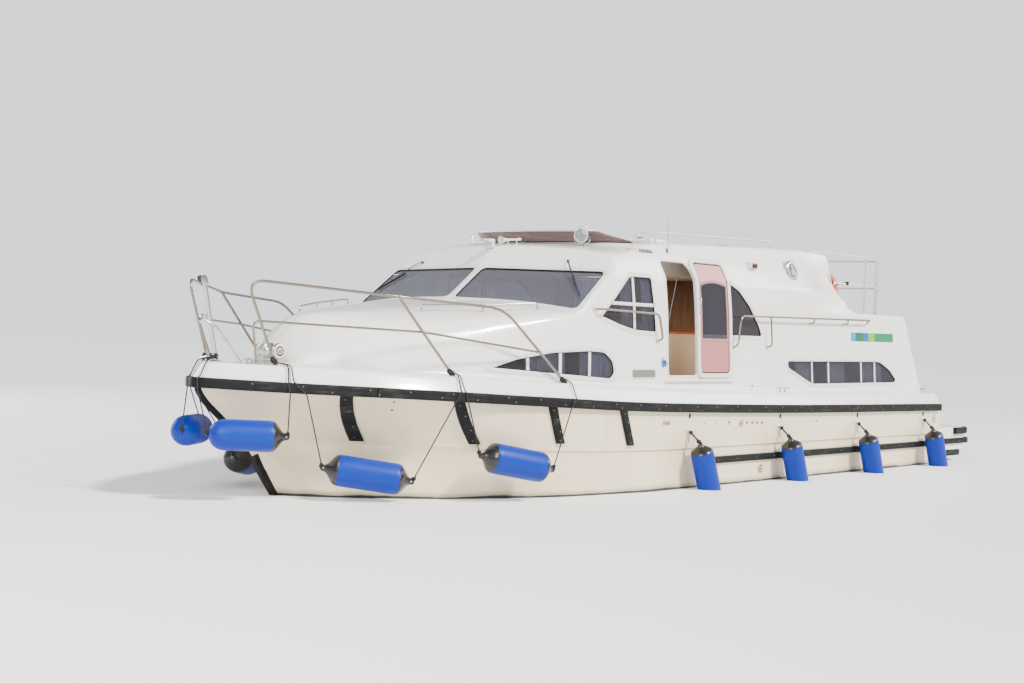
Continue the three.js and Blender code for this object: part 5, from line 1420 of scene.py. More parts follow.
def ropeTurns(place, axis, radius, count):
    # Turns of rope round a post
    rope = fenderFacts["rope"]
    axis, side, other = squareTo(axis)
    points = []
    for k in range(count * 12 + 1):
        a = 2 * math.pi * k / 12
        rise = (k / 12 - count / 2) * rope * 1.95
        points.append(Vector(place) + axis * rise + (side * math.cos(a) + other * math.sin(a)) * (radius + rope))
    return laidRope("turns", points, rope, "blackRope", bend=0.002, step=0.009)


def hitchKnot(place, axis, size):
    # A closed trefoil of rope, read as a tied hitch
    axis, side, other = squareTo(axis)
    path = []
    for k in range(48):
        t = 2 * math.pi * k / 48
        a, b, c = math.sin(t) + 2 * math.sin(2 * t), math.cos(t) - 2 * math.cos(2 * t), -math.sin(3 * t)
        path.append(Vector(place) + (side * a + other * b) * size / 3 + axis * c * size * 0.55)
    return sweep("knot", path, circle(fenderFacts["rope"] * 1.05, 8), "blackRope", closed=True)


def overStrake(footX, endX, side):
    # From under the strake, over it and over the deck's rim, in one straight run from eye to rail foot
    deep, lean = strakeFacts["deep"], upper["lean"] - 0.012
    clear = strakeFacts["out"] + fenderFacts["rope"] + 0.006
    points = []
    for share, out, rise in ((0.28, clear, -deep - 0.004), (0.12, clear, -0.004), (0.09, clear * 0.55, 0.012),
            (0.05, -lean, upper["band"] + 0.012)):
        x = footX + (endX - footX) * share
        points.append(Vector((x, side * planY(x), sheerZ(x) + rise)) + outward(x, side) * out)
    return points


def addBowFenders(side):
    parts = []
    rope = fenderFacts["rope"]
    for facts in fenderFacts["bow"]:
        fore, aft = sided(facts["fore"], side), sided(facts["aft"], side)
        parts += addFender(fore, aft, facts["radius"], 0.85, facts["ties"][0] is None)
        axis = (aft - fore).normalized()
        for tie, end, way in zip(facts["ties"], (fore, aft), (axis, -axis)):
            eye = end + way * 0.012
            if tie is None:
                away = Vector((6.655, side * 0.075, sheerZ(6.59)))
                points = [eye, away + Vector((0, 0, -0.11)), away + Vector((0, 0, -0.004)),
                    Vector((6.628, side * 0.075, sheerZ(6.59) + 0.014)), Vector((6.545, side * 0.07,
                    sheerZ(6.55) + 0.163)), deckSpot(6.41, 0.0, side) + Vector((0, side * 0.028, 0.05))]
                parts.append(hitchKnot(points[-1], (1, 0.4 * side, 0), 0.026))
            else:
                footX, footY = railFeet[tie]
                foot = deckSpot(footX, footY, side)
                points = [eye] + overStrake(footX, end.x, side) + [foot + Vector((0, side * 0.026, 0.03))]
            parts.append(laidRope("tie", points, rope, "blackRope", bend=0.03))
            near = (Vector(points[1]) - eye).normalized()
            parts.append(hitchKnot(eye + near * 0.03, near, 0.02))
            parts.append(laidRope("tail", [eye + near * 0.05, eye + near * 0.075 + Vector((0.012, side * 0.01,
                -0.01)), eye + near * 0.07 + Vector((0.03, side * 0.016, -0.05))], rope * 0.9, "blackRope",
                bend=0.02))
    for name, (x, y) in railFeet.items():
        foot = deckSpot(x, y, side)
        top = sided(railTops[name], side)
        axis = (top - foot).normalized()
        parts.append(ropeTurns(foot + axis * 0.045, axis, 0.0145, 5 if name == "mid" else 3))
        parts.append(hitchKnot(foot + axis * 0.04 + Vector((0, side * 0.024, 0)), (0, 1, 0), 0.024))
        parts.append(hitchKnot(foot + axis * 0.062 + Vector((0.02, side * 0.012, 0)), (1, 0, 0), 0.022))
    showAs(f"bow_fenders_{'port' if side > 0 else 'starboard'}", parts)


def addSideFender(x, side, name):
    facts = fenderFacts["side"]
    radius, long = facts["radius"], facts["long"]
    wall = castHull(x, 0.342, 1)[0].y
    top, normal = castHull(x, facts["eyeZ"], side)
    head = Vector((x - 0.02, side * (wall + 0.19), facts["eyeZ"] - facts["drop"]))
    foot = Vector((x - 0.02 - long * facts["sweep"], side * (wall + 0.2), head.z - long))
    parts = addFender(head, foot, radius, 0.66)
    parts.append(turned("boss", top - normal * 0.004, normal, mm((26, 0), (26, 8), (20, 14), (9, 16)),
        "dullAluminium", sides=22))
    ring = top + normal * 0.021
    parts.append(ringAt("eye", ring, (1, 0, 0), 0.016, 0.0045, "polishedSteel"))
    axis = (foot - head).normalized()
    eye = head + axis * 0.012
    near = (eye - ring).normalized()
    rope = fenderFacts["rope"]
    for shift in (-0.006, 0.007):
        parts.append(laidRope("tie", [ring + Vector((shift, 0, -0.004)),
            ring.lerp(eye, 0.5) + Vector((shift * 2, 0, 0)), eye + Vector((shift, 0, 0))], rope, "blackRope"))
    parts.append(hitchKnot(ring + near * 0.024, near, 0.02))
    parts.append(hitchKnot(eye - near * 0.028, near, 0.021))
    parts.append(laidRope("tail", [ring + near * 0.02 + Vector((0.012, 0, 0)),
        ring + Vector((0.024, side * 0.012, -0.06)), ring + Vector((0.03, side * 0.008, -0.13))], rope * 0.8,
        "blackRope"))
    # Small clip under the strake, above the eye
    clip = castHull(x, sheerZ(x) - 0.14, side)[0]
    parts.append(blockAt("clip", clip, (0.012, 0.012, 0.028), 0.005, "blackPlastic"))
    showAs(name, parts)


for sideName, side in sideNames.items():
    addBowFenders(side)
    for i, x in enumerate(fenderFacts["side"]["eyes"]):
        addSideFender(x, side, f"side_fender_{sideName}_{i + 1}")
print("fenders ready")

# Rails of steel tube
railFacts = {"radius": 0.014, "lowRadius": 0.0112, "hand": 0.0125,
    "fly": [(1.33, 1.24, None), (1.33, 1.262, 2.88), (0.9, 1.3, 2.93), (-1.9, 1.3, 2.985), (-2.38, 1.3, 2.972),
        (-2.52, 1.29, 2.885)],
    "flyPosts": [(1.05, 2.905), (-0.3, 2.95), (-1.5, 2.974)],
    "aftTop": [(-2.6, 1.3, 2.88), (-2.7, 1.305, 2.912), (-3.4, 1.38, 2.904), (-3.87, 1.455, 2.886),
        (-4.44, 1.48, 2.862)],
    "aftMid": [(-2.84, 1.315, 2.53), (-3.19, 1.33, 2.518), (-3.87, 1.455, 2.5), (-4.44, 1.48, 2.476)],
    "aftPosts": [(-3.87, 1.455, 2.886), (-4.2, 1.47, 2.874), (-4.44, 1.32, 2.862), (-4.44, 0.45, 2.862)],
    "fore": [(2.6, 1.991, 0.075), (1.56, 1.965, 0.075), (1.5, 1.69, 0.075)],
    "aft": [(-0.06, 1.6), (-0.075, 1.64, 0.075), (-0.16, 1.99, 0.08), (-3.43, 2.015, 0.08)],
    "legs": [(-0.84, 1.64), (-1.9, 1.955), (-2.8, 1.965)]}


def flange(place, axis, radius):
    axis, side, _ = squareTo(axis)
    parts = [turned("flange", Vector(place) - axis * 0.004, axis,
        [(radius, 0), (radius, 0.008), (radius * 0.9, 0.011), (radius * 0.62, 0.0125), (radius * 0.52, 0.018),
        (radius * 0.45, 0.02), (radius * 0.3, 0.02)], "railSteel", sides=26)]
    points, faces = [], []
    for k in range(3):
        spot = Matrix.Rotation(2.1 * k + 0.4, 3, axis) @ side * radius * 0.76
        addStud(points, faces, Vector(place) + axis * 0.0062 + spot, axis, radius * 0.13, 0.002, 6)
    parts.append(makeObject("screws", points, faces, "railSteel"))
    return parts


def weldBead(place, axis, radius):
    return ringAt("bead", place, axis, radius + 0.0015, 0.0025, "railSteel", sides=18, around=6)


def addPulpit(side, sideName):
    radius, low = railFacts["radius"], railFacts["lowRadius"]
    feet = {name: deckSpot(x, y, side) for name, (x, y) in railFeet.items()}
    tops = {name: sided(p, side) for name, p in railTops.items()}
    parts = [tube("upper", [feet["fore"], tops["fore"], tops["mid"], tops["aft"], feet["aft"]], radius, "bowSteel",
        bend=0.19, corners=13)]
    leg = deckSpot(6.16, 0.33, side)
    parts.append(tube("lower", [leg, sided((6.285, 0.405, 1.74), side), feet["mid"].lerp(tops["mid"], 0.56),
        feet["aft"].lerp(tops["aft"], 0.42)], low, "bowSteel", bend=0.08, corners=9))
    parts.append(tube("stanchion", [feet["mid"], tops["mid"]], radius, "bowSteel"))
    for name in ("fore", "mid", "aft"):
        parts += flange(feet[name], (0, 0, 1), 0.036)
    parts += flange(leg, (0, 0, 1), 0.03)
    for place, axis, r in ((tops["mid"] - (tops["mid"] - feet["mid"]).normalized() * 0.014, tops["mid"] - feet["mid"],
            radius), (feet["aft"].lerp(tops["aft"], 0.42), tops["aft"] - feet["aft"], radius)):
        parts.append(weldBead(place, axis, r))
    showAs(f"pulpit_{sideName}", parts)


def addHandrails(side, sideName):
    radius = railFacts["hand"]

    def off(x, z, out):
        return Vector((x, side * (sideY(z) + out), z))
    foot, normal = castSide(1.5, 1.66, side)
    head, headNormal = castSide(2.655, 1.985, side)
    points = [head] + [off(*spot) for spot in railFacts["fore"]] + [foot]
    parts = [tube("rail", points, radius, "bowSteel", bend=0.07, corners=8)]
    parts += flange(foot, normal, 0.028) + flange(head, headNormal, 0.028)
    showAs(f"fore_handrail_{sideName}", parts)
    (x0, z0), *rest = railFacts["aft"]
    foot, normal = castSide(x0, z0, side)
    end, endNormal = castSide(-3.49, 1.985, side)
    points = [foot] + [off(*spot) for spot in rest] + [end]
    parts = [tube("rail", points, radius, "bowSteel", bend=0.07, corners=8)]
    parts += flange(foot, normal, 0.028) + flange(end, endNormal, 0.028)
    for x, z in railFacts["legs"]:
        base, normal = castSide(x - 0.014, z - 0.022, side)
        parts.append(tube("leg", [off(x, 2.006, 0.08), off(x - 0.01, z, 0.08), base], radius * 0.86, "bowSteel",
            bend=0.06, corners=8))
        parts += flange(base, normal, 0.025)
    showAs(f"aft_handrail_{sideName}", parts)


def addFlyRail(side, sideName):
    radius = railFacts["radius"]
    points = [sided((x, y, z if z else castDown(x, y)[0].z), side) for x, y, z in railFacts["fly"]]
    points.append(deckSpot(-2.57, 1.285, side))
    parts = [tube("rail", points, radius, "railSteel", bend=0.12, corners=10)]
    parts += flange(points[0], (0, 0, 1), 0.03) + flange(points[-1], (0, 0, 1), 0.03)
    for x, z in railFacts["flyPosts"]:
        base = deckSpot(x - 0.07, 1.3, side)
        top = sided((x, 1.3, z), side)
        parts.append(tube("post", [base, top], 0.011, "railSteel"))
        parts += flange(base, (0, 0, 1), 0.03)
        parts.append(weldBead(top - (top - base).normalized() * 0.012, top - base, 0.011))
    showAs(f"fly_rail_{sideName}", parts)


def addAftRail():
    radius = railFacts["radius"]
    parts = []
    for name, z in (("aftTop", 2.862), ("aftMid", 2.476)):
        half = [Vector(p) for p in railFacts[name]]
        start = deckSpot(-2.58, 1.3) if name == "aftTop" else castDown(-3.07, 1.31)[0]
        half = [Vector(start)] + half[1:] if name == "aftTop" else half
        path = half + mirrored(half)[::-1]
        parts.append(tube("rail", path, radius, "railSteel", bend=0.15, corners=9))
        if name == "aftTop":
            for side in (1, -1):
                parts += flange(sided(half[0], side), (0, 0, 1), 0.03)
    for x, y, z in railFacts["aftPosts"]:
        for side in (1, -1):
            base = deckSpot(x, y, side)
            parts.append(tube("post", [base, Vector((x, side * y, z))], radius, "railSteel"))
            parts += flange(base, (0, 0, 1), 0.036)
            parts.append(weldBead((x, side * y, z - 0.013), (0, 0, 1), radius))
    showAs("aft_rail", parts)


for sideName, side in sideNames.items():
    addPulpit(side, sideName)
    addHandrails(side, sideName)
    addFlyRail(side, sideName)
addAftRail()
print("rails ready")

# Bow post with its roller and brace
postFacts = {"foot": (6.38, 0), "head": (6.56, 0, 2.11), "radius": 0.024, "roller": (6.588, 2.118),
    "brace": [(6.475, 0.0, 1.745), (6.56, -0.02, 1.79), (6.60, 0.05, 1.74), (6.48, 0.12, 1.67), (6.2, 0.17, None)]}


def addBowPost(facts):
    foot = deckSpot(*facts["foot"])
    head = Vector(facts["head"])
    parts = [tube("post", [foot, head], facts["radius"], "polishedSteel", sides=24)]
    parts += flange(foot, (0, 0, 1), 0.07)
    for side in (1, -1):
        outline = [(6.52, 2.06), (6.56, 2.052), (6.59, 2.06), (6.612, 2.1), (6.62, 2.13), (6.612, 2.146),
            (6.59, 2.156), (6.562, 2.158), (6.54, 2.12)]
        low = 0.028 if side > 0 else -0.034
        parts.append(prism("cheek", [(x, low, z) for x, z in outline], (0, 0.006, 0), "polishedSteel", reach=0.0015))
    x, z = facts["roller"]
    parts.append(turned("roller", (x, -0.026, z), (0, 1, 0), mm((10, 0), (27, 0), (26.5, 6), (18, 19), (15, 26),
        (18, 33), (26.5, 46), (27, 52), (10, 52)), "blackPlastic", sides=28))
    parts.append(turned("pin", (x, -0.042, z), (0, 1, 0), mm((0, 0), (11, 1), (13, 4), (9, 6), (8.8, 78), (13, 80),
        (11, 84), (0, 85)), "polishedSteel", sides=18))
    points = [Vector((px, py, pz if pz else castDown(px, py)[0].z)) for px, py, pz in facts["brace"]]
    parts.append(tube("brace", points, 0.0105, "polishedSteel", bend=0.09, corners=9))
    parts += flange(points[-1], (0, 0, 1), 0.026)
    # Bow cleat on the deck ahead of the post
    for side in (1, -1):
        parts += cleatParts(deckSpot(6.2, 0.3, side) + Vector((0.02, 0, 0)), (1, 0.25 * side, 0), 0.1)
    showAs("bow_post", parts)


def cleatParts(place, along, half):
    along, up, steel = Vector(along).normalized(), upward, "polishedSteel"
    horn = [place + along * half * t + up * rise for t, rise in ((-1, 0.032), (-0.45, 0.046), (0.45, 0.046),
        (1, 0.032))]
    parts = [tube("cleatArm", horn, 0.0085, steel, bend=0.05, sides=12)]
    for t in (-0.35, 0.35):
        base = place + along * half * t
        parts.append(tube("leg", [base, base + up * 0.045], 0.009, steel, sides=12))
        parts.append(turned("foot", base - up * 0.003, up, mm((20, 0), (20, 5), (14, 9), (9, 12)), steel, sides=20))
    return parts


addBowPost(postFacts)

# Windlass: gearbox, and the drum on its own body
windlassFacts = {"x": 5.8, "y": 0.09, "z": 1.448, "radius": 0.078, "half": 0.168}


def addWindlass(facts):
    x, y, z = facts["x"], facts["y"], facts["z"]
    base = castDown(x, 0)[0].z
    parts = [roundedBlock("foot", (x - 0.098, y - 0.172, base - 0.01), (x + 0.078, y + 0.022, base + 0.028), 0.01,
        "dullAluminium"), turned("case", (x, y - 0.165, z), (0, 1, 0),
        mm((0, 0), (50, 1), (62, 6), (68, 18), (68, 60), (73, 64), (73, 74), (68, 78), (68, 150), (73, 154),
        (73, 166), (64, 174), (30, 183), (0, 183)), "dullAluminium", sides=40),
        roundedBlock("saddle", (x - 0.06, y - 0.13, base), (x + 0.06, y - 0.02, z - 0.01), 0.012, "dullAluminium"),
        tube("axle", [(x, y, z), (x, y + 0.186, z)], 0.0155, "polishedSteel", sides=20)]
    for dx in (-0.08, 0.06):
        for dy in (-0.15, 0.0):
            parts.append(turned("bolt", (x + dx, y + dy, base + 0.026), (0, 0, 1),
                mm((12, 0), (12, 4), (8.5, 4.5), (8.5, 11), (0, 12)), "polishedSteel", sides=6))
    showAs("windlass", parts)
    profile = mm((17, 26), (74, 26), (78, 29), (78, 37), (75, 42), (66, 50), (56, 62), (50, 77), (48, 92), (50, 108),
        (56, 124), (66, 134), (75, 139), (78, 144), (78, 165), (75, 168.5), (17, 168.5))
    drum = [turned("drum", (x, y, z), (0, 1, 0), profile, "polishedSteel", sides=48, sharpAngle=40)]
    for k in range(8):  # whelps that grip the rope
        a = 2 * math.pi * k / 8
        away = Vector((math.cos(a), 0, math.sin(a)))
        path = [Vector((x, y + h, z)) + away * (r - 0.0015) for r, h in profile[5:12]]
        drum.append(sweep("whelp", path, circle(0.0042, 8), "polishedSteel", sharpAngle=50))
    for radius0, radius1, high, finish in ((0.0, 0.07, 0.1702, "whiteGelcoat"), (0.034, 0.052, 0.1712, "drumRed"),
            (0.0, 0.02, 0.176, "blackPlastic")):
        rows = [(radius0, 0.168), (radius1, 0.168), (radius1, high - 0.001), (radius1 - 0.002, high), (radius0, high)]
        if radius0 == 0:
            rows = rows[1:]
        drum.append(turned("face", (x, y, z), (0, 1, 0), rows + ([rows[0]] if radius0 else []), finish, sides=40))
    showAs("windlass_drum", drum, "windlass_drum")


addWindlass(windlassFacts)

# Lifebuoy with its bands and grab line, and the line that it hangs from
buoyFacts = {"centre": (-3.33, 1.1777, 2.39), "ring": 0.208, "thick": 0.047, "bands": 4}


def addLifebuoy(facts):
    centre = Vector(facts["centre"])
    ring, thick = facts["ring"], facts["thick"]

    def at(angle, out=0.0, across=0.0):
        return centre + Vector((math.cos(angle), 0, math.sin(angle))) * (ring + out) + Vector((0, across, 0))
    path = [at(2 * math.pi * k / 72) for k in range(72)]
    parts = [sweep("ring", path, circle(thick, 24), "buoyOrange", closed=True, up=Vector((0, 1, 0)))]
    for k in range(facts["bands"]):
        middle = math.pi / 4 + k * math.pi / 2
        run = [at(middle + t) for t in np.linspace(-0.14, 0.14, 8)]
        parts.append(sweep("band", run, circle(thick + 0.0016, 24), "bandWhite", up=Vector((0, 1, 0)), sharpAngle=50))
        points = [at(middle + math.pi / 2 * t, thick + 0.004 + 0.028 * math.sin(math.pi * t))
            for t in np.linspace(0.0, 1.0, 12)]
        parts.append(laidRope("line", points, 0.0045, "paleRope", bend=0.02))
    for x, tubeY in ((-3.165, 1.326), (-3.495, 1.386)):  # lashed to the rail's middle tube
        near, away = Vector((x, centre.y, 2.517)), Vector((x, tubeY, 2.517))
        parts.append(ropeTurns(near.lerp(away, 0.02), (x - centre.x, 0, 0.127), thick, 2))
        parts.append(ropeTurns(away, (1, -0.18, 0), 0.014, 3))
        parts.append(laidRope("lashing", [near + Vector((0, thick - 0.002, 0.012)),
            away + Vector((0, -0.012, 0.012))], 0.006, "blackRope"))
    showAs("lifebuoy", parts)


addLifebuoy(buoyFacts)

# Searchlight on the roof
lampFacts = {"foot": (1.84, 0.88), "rise": 0.12, "turn": 0.35}


def addSearchlight(facts):
    base = deckSpot(*facts["foot"])
    centre = base + Vector((0, 0, facts["rise"]))
    axis = Vector((math.cos(facts["turn"]), math.sin(facts["turn"]), 0.02)).normalized()
    across = axis.cross(upward).normalized()
    bowl = mm((0, -62), (18, -61), (34, -56), (50, -44), (62, -26), (70, -4), (75, 20), (78, 36), (83, 38), (84, 44),
        (84, 56), (81, 60), (75, 60), (74, 50), (66, 20), (45, -15), (20, -35), (0, -40))
    parts = [turned("bowl", centre, axis, bowl, "dullAluminium", sides=44, sharpAngle=40),
        turned("lens", centre, axis, mm((0, 47.5), (74, 47.5), (74, 51), (50, 54.5), (0, 56)), "lampGlass", sides=44),
        turned("bulb", centre, axis, mm((0, -36), (10, -30), (12, -5), (9, 12), (0, 16)), "lampGlass", sides=20)]
    arm = 0.094
    yoke = [centre + across * a - upward * b for a, b in ((arm, 0), (arm, 0.06), (0.05, 0.098), (-0.05, 0.098),
        (-arm, 0.06), (-arm, 0))]
    flat = mm((-11, -2.5), (11, -2.5), (11, 2.5), (-11, 2.5))
    bent = roundPath(yoke, 0.03, 6)
    ups = []
    for i in range(len(bent)):
        ahead = (bent[min(i + 1, len(bent) - 1)] - bent[max(i - 1, 0)]).normalized()
        ups.append(ahead.cross(axis))
    parts.append(sweep("yoke", bent, flat, "polishedSteel", up=ups))
    for side in (1, -1):
        parts.append(turned("knob", centre + across * arm * side * 0.86, across * side,
            mm((8, 0), (8, 14), (16, 16), (16, 26), (12, 29), (0, 29)), "blackPlastic", sides=18))
    parts.append(turned("stem", base - upward * 0.004, upward, mm((44, 0), (44, 8), (36, 14), (18, 18), (14, 24),
        (14, 30), (0, 32)), "polishedSteel", sides=28))
    handle = [centre - axis * 0.02 + across * a + upward * b for a, b in ((0.045, 0.06), (0.045, 0.108),
        (-0.045, 0.108), (-0.045, 0.06))]
    parts.append(tube("handle", handle, 0.006, "dullAluminium", bend=0.025, sides=10))
    showAs("searchlight", parts)


addSearchlight(lampFacts)

# Tinted screen round the upper helm
screenFacts = {"table": [(1.17, 1.15, 1.18, 1.165, 0.02), (1.5, 0.85, 1.66, 0.9, 0.13),
        (1.56, 0.0, 1.74, 0.0, 0.145)],
    "thick": 0.006}


def addFlyScreen(facts):
    (ax, ay, aX, aY, aRise), (bx, by, bX, bY, bRise), (cx, _, cX, _, cRise) = facts["table"]
    bends = roundPath([(aX, aY, 0), (bX, bY, 0), (cX + 0.01, 0, 0), (bX, -bY, 0), (aX, -aY, 0)], 0.2, 9)
    feet = roundPath([(ax, ay, 0), (bx, by, 0), (cx + 0.01, 0, 0), (bx, -by, 0), (ax, -ay, 0)], 0.2, 9)
    heads, floors = [], []
    for foot, head in zip(feet, bends):
        share = min(1.0, (aY - abs(head.y)) / (aY - bY))
        rise = (aRise + (bRise - aRise) * share) if abs(head.y) > bY else bRise + (cRise - bRise) * (1 - abs(head.y) /
            bY)
        ground = castDown(foot.x, foot.y)[0].z
        floors.append(Vector((foot.x, foot.y, ground + 0.004)))
        heads.append(Vector((head.x, head.y, roofZ(foot.x, 0) - 0.02 + rise)))
    rows = [[low.lerp(high, t) for low, high in zip(floors, heads)] for t in np.linspace(0, 1, 7)]
    made = loft("pane", rows, "smokedScreen", around=False, caps=False)
    thicken(made, facts["thick"])
    tidyMesh(made)
    parts = [made]
    trim = mm((-6, -6), (6, -6), (7.5, 0), (6, 6), (-6, 6), (-7.5, 0))
    parts.append(sweep("rim", heads, trim, "dullAluminium", up=upward))
    parts.append(sweep("seal", floors, mm((-11, -6), (11, -6), (9, 8), (-9, 8)), "blackRubber", up=upward))
    spots = []
    for k in range(3, len(floors) - 3, 5):
        low, high = floors[k], heads[k]
        across = (floors[k + 1] - floors[k - 1]).normalized()
        spots.append((low.lerp(high, 0.16) + across.cross((high - low).normalized()) * -0.003,
            (high - low).normalized().cross(across)))
    parts.append(addBolts("bolts", spots, 0.009, 0.004))
    for side in (1, -1):  # white wings where the screen runs out on the coaming
        low = sided((1.0, 1.17, castDown(1.0, 1.17)[0].z - 0.005), side)
        wing = [low, sided((1.2, 1.152, castDown(1.2, 1.15)[0].z), side), sided((1.2, 1.166, low.z + 0.02), side)]
        parts.append(prism("wing", wing, (0, -0.012 * side, 0), "whiteGelcoat", reach=0.002, segments=2))
    showAs("fly_screen", parts)


addFlyScreen(screenFacts)
print("deck gear ready")

# Small fittings on the roof, cabin side and hull
fittingFacts = {"horn": {"back": (2.0, 0.1), "front": (2.31, 0.06), "rise": 0.05}, "floodlight": (2.41, -0.03),
    "antenna": (1.033, 2.69), "sidelight": (-0.706, 2.617), "roundLight": (-1.662, 2.602), "socket": (1.395, 1.417),
    "deckCleat": (-1.0575, 1.865), "vent": (2.005, 1.545, 1.243, 1.348), "louvre": (1.34, 1.67, 2.675),
    "smallRounds": [(-0.494, 1.145, 0.014)],
    "hullRounds": [(1.67, 0.761, 0.022), (1.62, 0.757, 0.022), (1.574, 0.756, 0.022), (0.335, 0.732, 0.024),
        (0.07, 0.719, 0.044), (-0.06, 0.721, 0.02), (-0.18, 0.72, 0.02), (-0.29, 0.717, 0.02), (-0.405, 0.714, 0.02),
        (0.86, 0.74, 0.009), (0.6, 0.735, 0.009), (-1.72, 0.705, 0.014)],
    "plugs": [(5.097, 0.993, 0.014), (5.051, 0.91, 0.016)], "outlet": (-0.483, 0.15, 0.05),
    "sternVent": (-5.16, 0.655, 0.06)}


def bezel(place, normal, radius, steel="polishedSteel"):
    # A flanged ring with a dark recess
    r = radius
    return [turned("bezel", place - normal * 0.003, normal, [(r, 0), (r, 0.005), (r * 0.94, 0.0075),
        (r * 0.76, 0.0085), (r * 0.66, 0.006), (r * 0.62, 0.0), (r * 0.6, 0.0)], steel, sides=32),
        turned("recess", place - normal * 0.003, normal, [(r * 0.66, 0.0), (r * 0.6, 0.002), (r * 0.3, 0.0032),
        (0, 0.0036)], "blackPlastic", sides=32)]


def addFittings(facts):
    groups = [[] for _ in range(6)]
    hornParts, floodParts, aerialParts, lightParts, cabinParts, hullParts = groups
    # Trumpet horn on the roof
    horn = facts["horn"]
    back = deckSpot(*horn["back"]) + upward * (horn["rise"] + 0.004)
    front = deckSpot(*horn["front"]) + upward * (horn["rise"] + 0.012)
    axis = (front - back).normalized()
    long = (front - back).length
    flare = [(0.0, -0.005), (0.012, -0.004), (0.016, 0.0), (0.016, 0.04), (0.012, 0.05), (0.012, 0.12),
        (0.014, long - 0.14), (0.018, long - 0.09), (0.026, long - 0.045), (0.038, long - 0.012), (0.047, long),
        (0.048, long + 0.003), (0.045, long + 0.003), (0.036, long - 0.01), (0.022, long - 0.04), (0.01, long - 0.1),
        (0.0, long - 0.13)]
    hornParts.append(turned("trumpet", back, axis, flare, "whiteFrame", sides=32, sharpAngle=50))
    hornParts.append(turned("cap", back - axis * 0.03, axis, mm((0, -2), (26, 0), (34, 4), (34, 20), (26, 28),
        (16, 30), (0, 30)), "blackPlastic", sides=28))
    for t in (0.2, 0.62):
        spot = back.lerp(front, t)
        ground = castDown(spot.x, spot.y)[0]
        hornParts.append(tube("stand", [ground - upward * 0.004, spot - upward * 0.008], 0.008, "dullAluminium",
            sides=12))
        hornParts.append(turned("foot", ground - upward * 0.003, upward, mm((22, 0), (22, 4), (15, 8), (8, 10)),
            "dullAluminium", sides=20))
    # Floodlight over the windscreen
    base, normal = castDown(*facts["floodlight"])
    turn = Matrix.Rotation(math.radians(24), 4, "Z")
    centre = base + Vector((0, 0, 0.085))
    ahead = turn @ Vector((1, 0, 0))
    floodParts += [blockAt("case", centre, (0.042, 0.062, 0.052), 0.012, "whiteFrame", turn=turn),
        blockAt("glass", centre + ahead * 0.04, (0.005, 0.045, 0.036), 0.004, "lampGlass", turn=turn),
        blockAt("reflector", centre + ahead * 0.032, (0.006, 0.047, 0.038), 0.003, "blackPlastic", turn=turn)]
    floodParts.append(tube("stem", [base - upward * 0.004, base + upward * 0.04], 0.012, "whiteFrame", sides=16))
    floodParts.append(turned("foot", base - normal * 0.003, normal, mm((32, 0), (32, 6), (24, 12), (12, 14)),
        "whiteFrame", sides=24))
    # Whip aerial
    base = castSide(*facts["antenna"], 1)[0]
    aerialParts += [turned("foot", base - upward * 0.012, upward, mm((16, 0), (16, 16), (11, 24), (9, 50), (5, 60)),
        "blackPlastic", sides=20), tube("whip", [base + upward * 0.03, base + Vector((-0.004, 0, 0.2)),
        base + Vector((-0.018, 0, 0.37))], 0.0024, "blackPlastic", bend=0.1, sides=8)]
    for side in (1, -1):
        # Sidelight, red to port; its box stands level on the leaning wall
        middle = castSide(*facts["sidelight"], side)[0] + Vector((0, side * 0.03, 0))
        lightParts.append(roundedBlock("box", middle - Vector((0.07, 0.054, 0.042)),
            middle + Vector((0.07, 0.03, 0.042)), 0.009, "whiteFrame"))
        lens = middle + Vector((-0.008, side * 0.022, 0))
        lightParts.append(blockAt("lens", lens, (0.052, 0.026, 0.033), 0.012, "redLens" if side > 0 else "greenLens",
            segments=4))
        # Round deck light in a polished ring
        place, normal = castSide(*facts["roundLight"], side)
        normal = (normal + Vector((0, side * 1.5, 0))).normalized()
        place = place + Vector((0, side * 0.026, 0))
        r = 0.136
        lightParts.append(turned("rim", place - normal * 0.004, normal,
            [(r, -0.07), (r, 0.008), (r * 0.95, 0.016), (r * 0.82, 0.022), (r * 0.7, 0.02), (r * 0.64, 0.012),
            (r * 0.6, 0.004)], "polishedSteel", sides=44))
        lightParts.append(turned("lamp", place - normal * 0.004, normal,
            [(r * 0.66, 0.004), (r * 0.6, 0.018), (r * 0.4, 0.03), (r * 0.2, 0.036), (0, 0.038)], "lampGlass",
            sides=36))
        # Louvred vents in the cabin side
        fore, aft, low, high = facts["vent"]
        cast = sideCast(side)
        path = finePath([(fore, high), (aft, high), (aft, low), (fore, low)], 0.035)
        cabinParts.append(layPatch("ventBack", shrinkOutline(path, 0.004), cast, -0.003, 0.002, "ventGreen"))
        cabinParts.append(layFrame("ventRim", path, cast, 0.02, 0.007, "whiteFrame"))
        for k in range(5):
            z = low + 0.018 + k * (high - low - 0.036) / 4
            line = finePath([(fore - 0.02, z), (aft + 0.02, z)], 0.0, 0.06, closed=False)
            cabinParts.append(layFrame("slat", line, cast, 0.011, 0.004, "ventGreen", lift=0.003, closed=False))
        fore, aft, z = facts["louvre"]
        path = finePath([(fore, z + 0.02), (aft, z + 0.02), (aft, z - 0.02), (fore, z - 0.02)], 0.012)
        cabinParts.append(layPatch("louvreBack", path, cast, -0.002, 0.003, "blackPlastic"))
        for k in range(9):
            x = fore + 0.02 + k * (aft - fore - 0.04) / 8
            line = finePath([(x, z - 0.013), (x - 0.012, z + 0.013)], 0.0, 0.01, closed=False)
            cabinParts.append(layFrame("fin", line, cast, 0.006, 0.003, "whiteFrame", lift=0.002, closed=False))
        for x, z, radius in facts["smallRounds"]:
            cabinParts += bezel(*castSide(x, z, side), radius, "blackPlastic")
